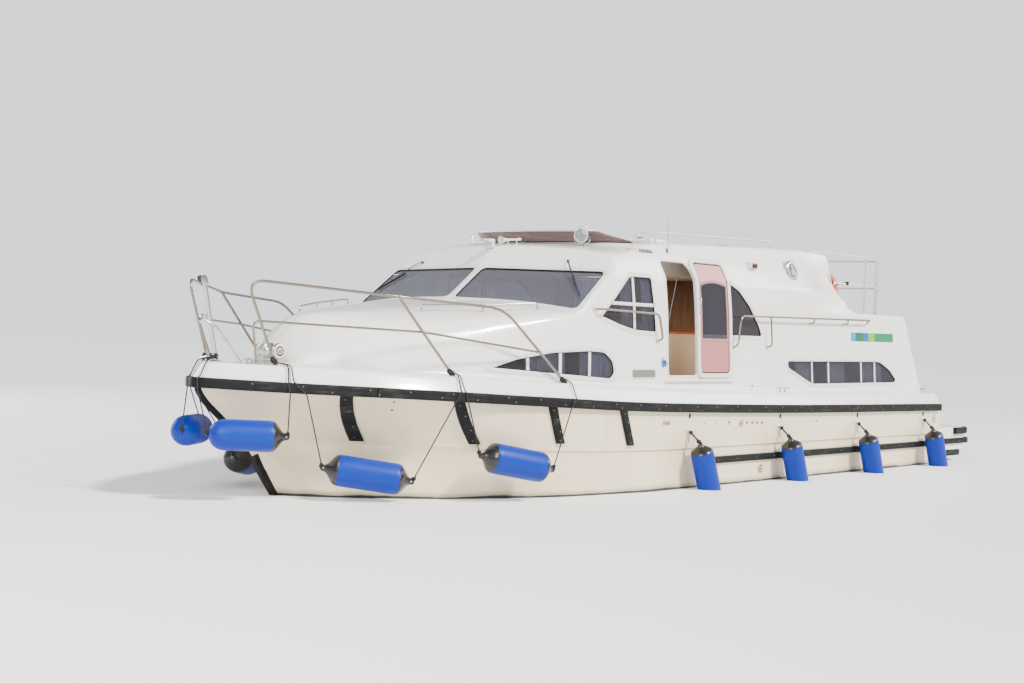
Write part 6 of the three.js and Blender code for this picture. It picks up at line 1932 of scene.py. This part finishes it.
        # Cleat on the side deck
        cabinParts += cleatParts(deckSpot(*facts["deckCleat"], side), (1, 0, 0), 0.16)
        for x, z, radius in facts["hullRounds"]:
            hullParts += bezel(*castHull(x, z, side), radius, "bowSteel")
        for x, z, radius in facts["plugs"]:
            place, normal = castHull(x, z, side)
            hullParts.append(turned("plug", place - normal * 0.003, normal,
                [(radius, 0), (radius, 0.006), (radius * 0.7, 0.011), (0, 0.012)], "agedBronze", sides=18))
        if side > 0:
            x, z, radius = facts["outlet"]
            hullParts += bezel(*castHull(x, z, side), radius, "agedBronze")
        x, z, radius = facts["sternVent"]
        hullParts += bezel(*castHull(x, z, side), radius)
        hullParts += cleatParts(deckSpot(-5.13, 1.72, side), (0.2, 1, 0), 0.11)
    # Shore-power socket under a hinged cap, port side
    place, normal = castSide(*facts["socket"], 1)
    cabinParts.append(turned("plate", place - normal * 0.004, normal,
        mm((56, 0), (56, 7), (51, 11), (40, 12), (0, 12)), "whiteFrame", sides=36))
    cabinParts.append(turned("socket", place + normal * 0.006 - upward * 0.008, normal + upward * 0.1,
        mm((36, 0), (36, 20), (33, 26), (28, 28), (26, 22), (0, 20)), "blueCap", sides=30))
    cabinParts.append(turned("lid", place + normal * 0.03 + upward * 0.046, normal * 0.7 + upward * 0.7,
        mm((0, -2), (30, 0), (36, 4), (36, 9), (30, 12), (0, 13)), "whiteFrame", sides=30))
    for name, parts in zip(("horn", "floodlight", "antenna", "cabinLights", "cabinFittings", "hullFittings"), groups):
        joinParts(name, parts, "boat")


addFittings(fittingFacts)

# Painted stripe of plain blocks on the aft cabin side
stripeFacts = {"fore": -3.02, "aft": -4.24, "low": 1.728, "high": 1.846,
    "blocks": [("stripeSky", 0.0, 0.107), ("stripePine", 0.107, 0.29), ("stripeBlue", 0.29, 0.41),
        ("stripeLime", 0.41, 0.55), ("stripeGreen", 0.55, 1.0)]}


def addStripe(facts):
    for sideName, side in sideNames.items():
        cast = sideCast(side)
        parts = []
        for finish, start, end in facts["blocks"]:
            x0, x1 = [facts["fore"] + (facts["aft"] - facts["fore"]) * t for t in (start, end)]
            low, high = facts["low"], facts["high"]
            path = finePath([(x0, high), (x1, high), (x1, low), (x0, low)], 0.0)
            parts.append(layPatch("block", path, cast, -0.0018, 0.0012, finish, spacing=0.05))
        joinParts(f"stripe_{sideName}", parts, "boat")


addStripe(stripeFacts)

# Windscreen wipers and the grab rails on the coachroof
wiperFacts = {"pivot": (2.3, 1.05), "tip": (2.69, 1.53), "starboardPivot": (2.296, -1.17),
    "starboardTip": (2.65, -1.552)}


def addWiper(name, pivot, tip):
    base, normal = castDown(*pivot)
    middle = castDown(pivot[0] * 0.45 + tip[0] * 0.55, pivot[1] * 0.45 + tip[1] * 0.55)
    end = castDown(*tip)[0]
    parts = [turned("pivot", base - normal * 0.002, normal, mm((17, 0), (17, 12), (12, 20), (9, 30), (0, 31)),
        "blackPlastic", sides=20)]
    arm = [base + normal * 0.022, base + normal * 0.032 + (middle[0] - base) * 0.12, middle[0] + middle[1] * 0.03]
    parts.append(sweep("arm", roundPath(arm, 0.03, 5), mm((-8, -3), (8, -3), (6, 3), (-6, 3)), "blackPlastic",
        up=normal))
    start = middle[0].lerp(base, 0.32)
    line = []
    for t in np.linspace(0, 1, 14):
        x, y = start.x + (end.x - start.x) * t, start.y + (end.y - start.y) * t
        place, away = castDown(x, y)
        line.append((place, away))
    spine = [place + away * 0.017 for place, away in line]
    rubber = [place + away * 0.0055 for place, away in line]
    ups = [away for _, away in line]
    parts.append(sweep("spine", spine, mm((-5.5, -3.5), (5.5, -3.5), (4, 3.5), (-4, 3.5)), "blackPlastic", up=ups))
    parts.append(sweep("rubber", rubber, mm((-2.2, -5.5), (2.2, -5.5), (3.8, 8.5), (-3.8, 8.5)), "blackRubber",
        up=ups))
    hinge = line[6]
    parts.append(blockAt("clip", hinge[0] + hinge[1] * 0.023, (0.016, 0.012, 0.008), 0.004, "blackPlastic"))
    joinParts(name, parts, "boat")


def addRoofRail(name, spots, high):
    ends = [castDown(*spot)[0] for spot in spots]
    up = Vector((0, 0, high))
    top = [ends[0], ends[0] + up] + [p + up for p in ends[1:-1]] + [ends[-1] + up, ends[-1]]
    parts = [tube("rail", top, 0.0105, "polishedSteel", bend=0.045, corners=8)]
    parts += flange(ends[0], (0, 0, 1), 0.026) + flange(ends[-1], (0, 0, 1), 0.026)
    for middle in ends[1:-1]:
        parts.append(tube("leg", [middle, middle + up], 0.0085, "polishedSteel"))
        parts += flange(middle, (0, 0, 1), 0.024)
    joinParts(name, parts, "boat")


addWiper("wiperPort", wiperFacts["pivot"], wiperFacts["tip"])
addWiper("wiperStarboard", wiperFacts["starboardPivot"], wiperFacts["starboardTip"])
addRoofRail("coachRailStarboard", [(5.12, -0.22), (4.72, -0.4), (4.3, -0.61), (3.86, -0.82)], 0.07)
addRoofRail("coachRailPort", [(4.3, 0.72), (3.75, 1.08), (3.2, 1.36)], 0.07)
print("fittings ready")

# Curtains gathered on thin rails inside the windows
curtainFacts = {"off": 0.035, "rows": 14, "thick": 0.0012, "rail": 0.004}
# name, window side's x range, z range, folds, fold depth
curtainTable = [("quarter_fore", 1.93, 2.12, 1.80, 2.36, 5, 0.016), ("quarter_aft", 1.52, 1.72, 1.76, 2.36, 5, 0.018),
    ("aft_quarter", 0.38, 0.62, 1.75, 2.36, 5, 0.018), ("lower_fore", 3.05, 3.55, 1.24, 1.52, 12, 0.014),
    ("lower_aft", 2.36, 2.85, 1.22, 1.53, 12, 0.014), ("cabin_1", -2.0, -1.62, 1.17, 1.45, 9, 0.014),
    ("cabin_2", -2.9, -2.42, 1.13, 1.45, 12, 0.014), ("cabin_3", -3.95, -3.35, 1.14, 1.45, 14, 0.014)]


def addSheet(name, rows):
    # A sheet through rows of points from the top down, given a thin wall
    made = loft(name, rows, "curtainCloth", "boat", around=False, caps=False, sharpAngle=70)
    thicken(made, curtainFacts["thick"])


def inside(x, z, side, off):
    return Vector((x, castSide(x, z, side)[0].y - side * off, z))


def addCurtains(sideName, side):
    off, count = curtainFacts["off"], curtainFacts["rows"]
    rods = []
    for name, x0, x1, z0, z1, folds, deep in curtainTable:
        bend = [inside(x0 - 0.02, z1 + 0.008, side, 0.02), inside(x0 - 0.02, z1 + 0.008, side, off + deep)]
        bend += [inside(x0 + (x1 - x0) * t, z1 + 0.008, side, off + deep) for t in (0.25, 0.5, 0.75)]
        bend += [inside(x1 + 0.02, z1 + 0.008, side, off + deep), inside(x1 + 0.02, z1 + 0.008, side, 0.02)]
        rods.append(tube("rod", bend, curtainFacts["rail"], "whiteFrame", bend=0.012, sides=8, corners=3))
    # Inside the outer ends of the windscreen
    rods.append(tube("rod", [(2.30, side * 1.655, 2.365), (2.385, side * 1.58, 2.34), (2.44, side * 1.2, 2.33)],
        curtainFacts["rail"], "whiteFrame", bend=0.02, sides=8, corners=3))
    rail = joinParts(f"curtain_rails_{sideName}", rods, "boat")
    for name, x0, x1, z0, z1, folds, deep in curtainTable:
        rows = []
        for r in range(count):
            fall = r / (count - 1)
            row = []
            for k in range(folds * 10 + 1):
                t = k / (folds * 10)
                wave = math.sin(2 * math.pi * folds * t + 0.9 * math.sin(5.1 * t + 1.3 * fall))
                spread = 0.72 + 0.28 * fall
                x = x0 + (x1 - x0) * (0.5 + (t - 0.5) * (0.96 + 0.04 * fall)) + 0.004 * math.sin(9 * t + 3 * fall)
                row.append(inside(x, z1 + (z0 - z1) * fall, side, off + deep - deep * spread * wave * 0.9))
            rows.append(row)
        addSheet(f"curtain_{name}_{sideName}", rows)
    rows = []
    for r in range(count):
        fall = r / (count - 1)
        row = []
        for k in range(71):
            t = k / 70
            wave = math.sin(2 * math.pi * 7 * t + 0.8 * math.sin(4.3 * t + fall))
            row.append(Vector((2.40 + 0.016 * wave * (0.7 + 0.3 * fall) - 0.05 * t, side * (1.24 + 0.3 * t),
                2.315 - 0.375 * fall)))
        rows.append(row)
    addSheet(f"curtain_screen_{sideName}", rows)


for sideName, side in sideNames.items():
    addCurtains(sideName, side)
print("curtains ready")

# Seats: rounded plinths, crowned cushions with piping and sewn channels
cushionFacts = {"reach": 0.028, "crown": 0.016, "pull": 0.006, "spacing": 0.02, "piping": 0.0045, "channel": 0.007}


def addCushion(name, low, high, finish, top=2, channels=()):
    low, high = Vector(low), Vector(high)
    centre, half = (low + high) / 2, (high - low) / 2
    reach, pull, crown = [cushionFacts[key] for key in ("reach", "pull", "crown")]
    counts = [max(6, math.ceil(2 * h / cushionFacts["spacing"])) for h in half]
    sides = [a for a in range(3) if a != top]
    index, points, faces = {}, [], []

    def at(key):
        if key in index:
            return index[key]
        share = [2 * key[a] / counts[a] - 1 for a in range(3)]
        flat = Vector([share[a] * half[a] for a in range(3)])
        core = Vector([max(reach - half[a], min(half[a] - reach, flat[a])) for a in range(3)])
        place = core + (flat - core).normalized() * reach
        dome = (1 - share[sides[0]] ** 4) * (1 - share[sides[1]] ** 4)
        place[top] -= crown * (1 - dome) * (share[top] + 1) / 2
        for a, b in (sides, sides[::-1]):
            place[a] -= math.copysign(pull * (1 - share[b] ** 2) * abs(share[a]) ** 6, share[a])
        if share[top] > 0.6:
            for c in channels:
                away = (place[1] + centre[1] - c) / 0.012
                place[top] -= cushionFacts["channel"] * math.exp(-away * away)
        points.append(centre + place)
        index[key] = len(points) - 1
        return index[key]
    for a in range(3):
        b, c = (a + 1) % 3, (a + 2) % 3
        for end in (0, counts[a]):
            for i in range(counts[b]):
                for j in range(counts[c]):
                    quad = []
                    for di, dj in ((0, 0), (1, 0), (1, 1), (0, 1)):
                        key = [0, 0, 0]
                        key[a], key[b], key[c] = end, i + di, j + dj
                        quad.append(at(tuple(key)))
                    faces.append(tuple(quad if end else quad[::-1]))
    body = makeObject(name, points, faces, finish, sharpAngle=60)
    inset = reach * 0.293 - 0.002
    rim = []
    for s, t in ((-1, -1), (1, -1), (1, 1), (-1, 1)):
        corner = Vector(centre)
        corner[sides[0]] += s * (half[sides[0]] - inset)
        corner[sides[1]] += t * (half[sides[1]] - inset)
        corner[top] = high[top] - crown - inset - 0.001
        rim.append(corner)
    cord = sweep("piping", roundPath(rim, reach, 6, True), circle(cushionFacts["piping"], 8), finish, closed=True)
    joinParts(name, [body, cord], "boat")


def spread(low, high, count):
    return [low + (high - low) * k / count for k in range(1, count)]


def addSeats():
    # Helm seat: plinth, seat and back
    plinth = [roundedBlock("plinth", (1.1, 0.52, 0.6405), (1.56, 1.28, 1.07), 0.015, "varnishedWood"),
        roundedBlock("back", (1.082, 0.51, 0.6405), (1.106, 1.29, 1.7), 0.008, "varnishedWood"),
        roundedBlock("kick", (1.556, 0.56, 0.68), (1.562, 1.24, 1.03), 0.002, "blackPlastic")]
    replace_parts(joinParts("helm_seat_plinth", plinth, "boat"), "helm_seat")
    addCushion("helm_seat_cushion", (1.12, 0.505, 1.072), (1.58, 1.295, 1.18), "seatCloth",
        channels=spread(0.505, 1.295, 3))
    addCushion("helm_seat_back", (1.108, 0.505, 1.2), (1.19, 1.295, 1.72), "seatCloth", top=0,
        channels=spread(0.505, 1.295, 3))
    # Saloon bench
    plinth = [roundedBlock("plinth", (-0.58, -1.62, 0.6405), (0.48, -0.72, 0.99), 0.015, "varnishedWood"),
        roundedBlock("back", (-0.6, -1.63, 0.6405), (-0.576, -0.71, 1.54), 0.008, "varnishedWood")]
    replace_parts(joinParts("dinette_plinth", plinth, "boat"), "saloon_dinette")
    for k in range(2):
        low = -1.635 + 0.466 * k
        addCushion(f"dinette_seat_{k + 1}", (-0.49, low, 0.992), (0.5, low + 0.46, 1.1), "seatCloth",
            channels=[low + 0.23])
        addCushion(f"dinette_back_{k + 1}", (-0.574, low, 1.115), (-0.49, low + 0.46, 1.56), "seatCloth", top=0,
            channels=[low + 0.23])
    # Bench on the flybridge
    plinth = [roundedBlock("plinth", (-0.88, -1.13, 2.4505), (-0.37, 1.13, 2.60), 0.018, "whiteGelcoat"),
        roundedBlock("back", (-0.9, -1.14, 2.4505), (-0.87, 1.14, 2.87), 0.01, "whiteGelcoat")]
    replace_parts(joinParts("fly_seat_plinth", plinth, "boat"), "fly_seat")
    for k in range(3):
        low = -1.145 + 0.765 * k
        addCushion(f"fly_seat_cushion_{k + 1}", (-0.8, low, 2.602), (-0.35, low + 0.76, 2.7), "whiteVinyl",
            channels=spread(low, low + 0.76, 3))
        addCushion(f"fly_seat_back_{k + 1}", (-0.868, low, 2.712), (-0.795, low + 0.76, 2.89), "whiteVinyl", top=0,
            channels=spread(low, low + 0.76, 3))


addSeats()

# Wheels with three spokes, and the consoles that carry them
wheelAxis = Vector((math.cos(math.radians(20)), 0, -math.sin(math.radians(20))))
wheelUp = Vector((math.sin(math.radians(20)), 0, math.cos(math.radians(20))))
helmFacts = {"helm_wheel": ((2.01, 0.82, 1.5), 0.2), "fly_wheel": ((0.3, 0.62, 2.74), 0.17)}


def addWheel(name, hub, radius):
    hub = Vector(hub)
    parts = [ringAt("rim", hub, wheelAxis, radius, 0.013, "blackPlastic", sides=64, around=14)]
    for y, rise in ((-1, 0), (0.5, 0.866), (0.5, -0.866)):
        way = Vector((0, y, 0)) + wheelUp * rise
        wide = wheelAxis.cross(way).normalized()
        rows = []
        for reach, half, thick in ((0.018, 0.019, 0.004), (0.05, 0.012, 0.0035), (radius * 0.6, 0.009, 0.003),
                (radius - 0.01, 0.012, 0.0035)):
            sink = 0.012 * (1 - reach / radius)
            rows.append([hub + way * reach + wheelAxis * (sink + a * thick) + wide * b * half
                for a, b in ((-1, -0.7), (-1, 0.7), (-0.5, 1), (0.5, 1), (1, 0.7), (1, -0.7), (0.5, -1), (-0.5, -1))])
        parts.append(loft("spoke", rows, "polishedSteel", sharpAngle=50))
    parts.append(turned("hub", hub - wheelAxis * 0.012, wheelAxis,
        mm((0, 0), (14, 0.4), (22, 4), (26.5, 10), (28, 30), (28, 50), (20, 60), (20, 81.5)), "blackPlastic",
        sides=36))
    parts.append(turned("cap", hub - wheelAxis * 0.0128, wheelAxis, mm((0, 0), (9, 0.5), (11, 3), (11, 6)),
        "polishedSteel", sides=24))
    showAs(name, parts, name)


def addConsole(name, at, half, foreX, floorZ, topZ, finish, trim):
    hub = Vector(at)
    face = hub + wheelAxis * 0.0703
    low, high = face - wheelUp * 0.24, face + wheelUp * (topZ - hub.z)
    outline = [low, high, Vector((foreX, 0, topZ - 0.03)), Vector((foreX, 0, floorZ)),
        Vector((low.x + 0.12, 0, floorZ))]
    outline = [Vector((p.x, hub.y - half, p.z)) for p in outline]
    parts = [prism("case", outline, (0, 2 * half, 0), finish, reach=0.022, segments=4)]
    out = -wheelAxis
    panel = face + wheelUp * 0.03
    corners = [panel + Vector((0, y, 0)) + wheelUp * z for y, z in ((-0.36, -0.1), (0.36, -0.1), (0.36, 0.115),
        (-0.36, 0.115))]
    outlinePanel = roundPath([c - out * 0.001 for c in corners], 0.02, 4, True)
    parts.append(prism("panel", outlinePanel, out * 0.004, trim, reach=0.001, segments=2))
    for y, z, size in ((-0.28, 0.05, 0.9), (-0.17, 0.05, 0.9), (0.24, 0.06, 1.0), (-0.28, -0.045, 0.6),
            (-0.2, -0.045, 0.6)):
        place = panel + Vector((0, y, 0)) + wheelUp * z + out * 0.003
        r = 0.036 * size
        parts.append(turned("dial", place, out, [(r, 0), (r, 0.004), (r * 0.9, 0.006), (r * 0.86, 0.003), (0, 0.003)],
            "polishedSteel", sides=32))
        parts.append(turned("glass", place + out * 0.0025, out, [(r * 0.84, 0), (r * 0.84, 0.0012), (0, 0.0016)],
            "blackPlastic", sides=32))
    lever = panel + Vector((0, -0.3 if name == "helm" else 0.33, 0)) - wheelUp * 0.05
    parts.append(blockAt("lever base", lever, (0.02, 0.02, 0.03), 0.006, "blackPlastic"))
    parts.append(tube("lever", [lever, lever + out * 0.03, lever + out * 0.045 + wheelUp * 0.07], 0.005,
        "polishedSteel", bend=0.012, sides=10))
    parts.append(turned("knob", lever + out * 0.045 + wheelUp * 0.058, wheelUp,
        mm((0, 0), (9, 2), (13, 10), (12, 20), (6, 27), (0, 29)), "blackPlastic", sides=20))
    showAs(f"{name}_console", parts)


for name, (hub, radius) in helmFacts.items():
    addWheel(name, hub, radius)
addConsole("helm", (2.01, 0.82, 1.5), 0.42, 2.44, 0.6405, 1.7, "varnishedWood", "blackPlastic")
addConsole("fly", (0.3, 0.62, 2.74), 0.48, 0.78, 2.4505, 2.9, "whiteGelcoat", "blackPlastic")


def addGalley():
    parts = [roundedBlock("unit", (-0.6, 0.762, 0.6405), (0.414, 1.558, 1.528), 0.006, "varnishedWood"),
        roundedBlock("worktop", (-0.6, 0.76, 1.53), (0.414, 1.56, 1.56), 0.008, "panelBeige")]
    for k in range(3):
        x0 = -0.575 + 0.325 * k
        parts.append(roundedBlock("door", (x0, 0.7605, 0.72), (x0 + 0.31, 0.764, 1.49), 0.0015, "cabinLining"))
        parts.append(turned("pull", (x0 + 0.27, 0.7615, 1.38), (0, -1, 0), mm((12, 0), (12, 0.8), (6, 1.4)),
            "polishedSteel", sides=16))
    outline = [(0.4155, y, z) for y, z in ((0.76, 0.6405), (1.56, 0.6405), (1.56, 1.762), (0.83, 1.762),
        (0.765, 1.70))]
    parts.append(prism("panel", outline, (0.033, 0, 0), "panelBeige", reach=0.004, segments=2))
    section = mm((-19.5, -12), (19.5, -12), (19.5, 4), (14, 8.5), (-14, 8.5), (-19.5, 4))
    run = [(0.432, 1.56, 1.7605), (0.432, 0.829, 1.7605), (0.432, 0.7665, 1.70), (0.432, 0.7665, 1.62)]
    path = roundPath(run, 0.012, 4)
    up = [Vector((0, -0.7, 0.7)) if 0 < i < len(path) - 1 and p.y < 0.86 and p.z > 1.69 else upward if p.z > 1.755
        else Vector((0, -1, 0)) for i, p in enumerate(path)]
    parts.append(sweep("trim", path, section, "orangeTrim", up=up))
    parts.append(tube("strut", [(0.4325, 1.12, 1.764), (0.4325, 1.245, 2.43)], 0.007, "polishedSteel", bend=0,
        sides=12))
    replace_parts(joinParts("galley_built", parts, "boat"), "galley_unit")


addGalley()
print("inside ready")

# Finishes of the CAD solids that are shown as they are
plainNodes = {"rudder": "castIron", "propeller": "agedBronze", "propeller_shaft": "polishedSteel",
    "engine": "engineGreen", "fore_bulkhead": "varnishedWood", "aft_bulkhead": "varnishedWood",
    "saloon_sole": "soleVinyl", "keel_band": "blackRubber"}
for name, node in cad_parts.items():
    node.data.materials.clear()
    node.data.materials.append(finishes[plainNodes.get(name, "polishedSteel")])


# Floor, light and world
def addStage():
    span = 70
    floor = makeObject("floor", [(-span, -span, 0), (span, -span, 0), (span, span, 0), (-span, span, 0)],
        [(0, 1, 2, 3)], "paleFloor", smooth=False)


addStage()
lights = {"key": {"kind": "SUN", "place": (-3, 18, 19), "aim": (0, 0, 1.0), "size": 0.12, "power": 6.8,
        "tint": (1.0, 0.965, 0.91)},
    "front": {"kind": "AREA", "place": (18, 6, 9), "aim": (1, 0, 1), "size": 8, "power": 3000,
        "tint": (0.97, 0.98, 1.0)},
    "stern": {"kind": "AREA", "place": (-15, 10, 10), "aim": (-2, 0, 1), "size": 8, "power": 1500,
        "tint": (0.97, 0.98, 1.0)},
    "cabin": {"kind": "AREA", "place": (0.9, 0.1, 2.38), "aim": (0.9, 0.1, 1), "size": 1.4, "power": 55,
        "tint": (1, 0.98, 0.95)},
    "far": {"kind": "AREA", "place": (6, -18, 5), "aim": (0, 0, 1), "size": 8, "power": 1800, "tint": (1, 1, 1)}}
for name, facts in lights.items():
    lamp = bpy.data.lights.new(name, facts["kind"])
    lamp.energy, lamp.color = facts["power"], facts["tint"]
    if facts["kind"] == "SUN":
        lamp.angle = facts["size"]
    else:
        lamp.size = facts["size"]
    holder = placeObject(name, lamp)
    holder.visible_camera = False
    holder.visible_glossy = holder.visible_transmission = name != "cabin"
    aim = Vector(facts["aim"]) - Vector(facts["place"])
    holder.matrix_world = Matrix.Translation(facts["place"]) @ aim.to_track_quat("-Z", "Y").to_matrix().to_4x4()
world = bpy.data.worlds.new("softSky")
bpy.context.scene.world = world
world.use_nodes = True
backdrop = world.node_tree.nodes["Background"]
backdrop.inputs[0].default_value = (0.93, 0.96, 1.0, 1)
seen = world.node_tree.nodes.new("ShaderNodeLightPath")
strength = world.node_tree.nodes.new("ShaderNodeMapRange")
strength.inputs["To Min"].default_value, strength.inputs["To Max"].default_value = 0.6, 1.6
world.node_tree.links.new(seen.outputs["Is Camera Ray"], strength.inputs["Value"])
world.node_tree.links.new(strength.outputs[0], backdrop.inputs[1])
print("stage ready")
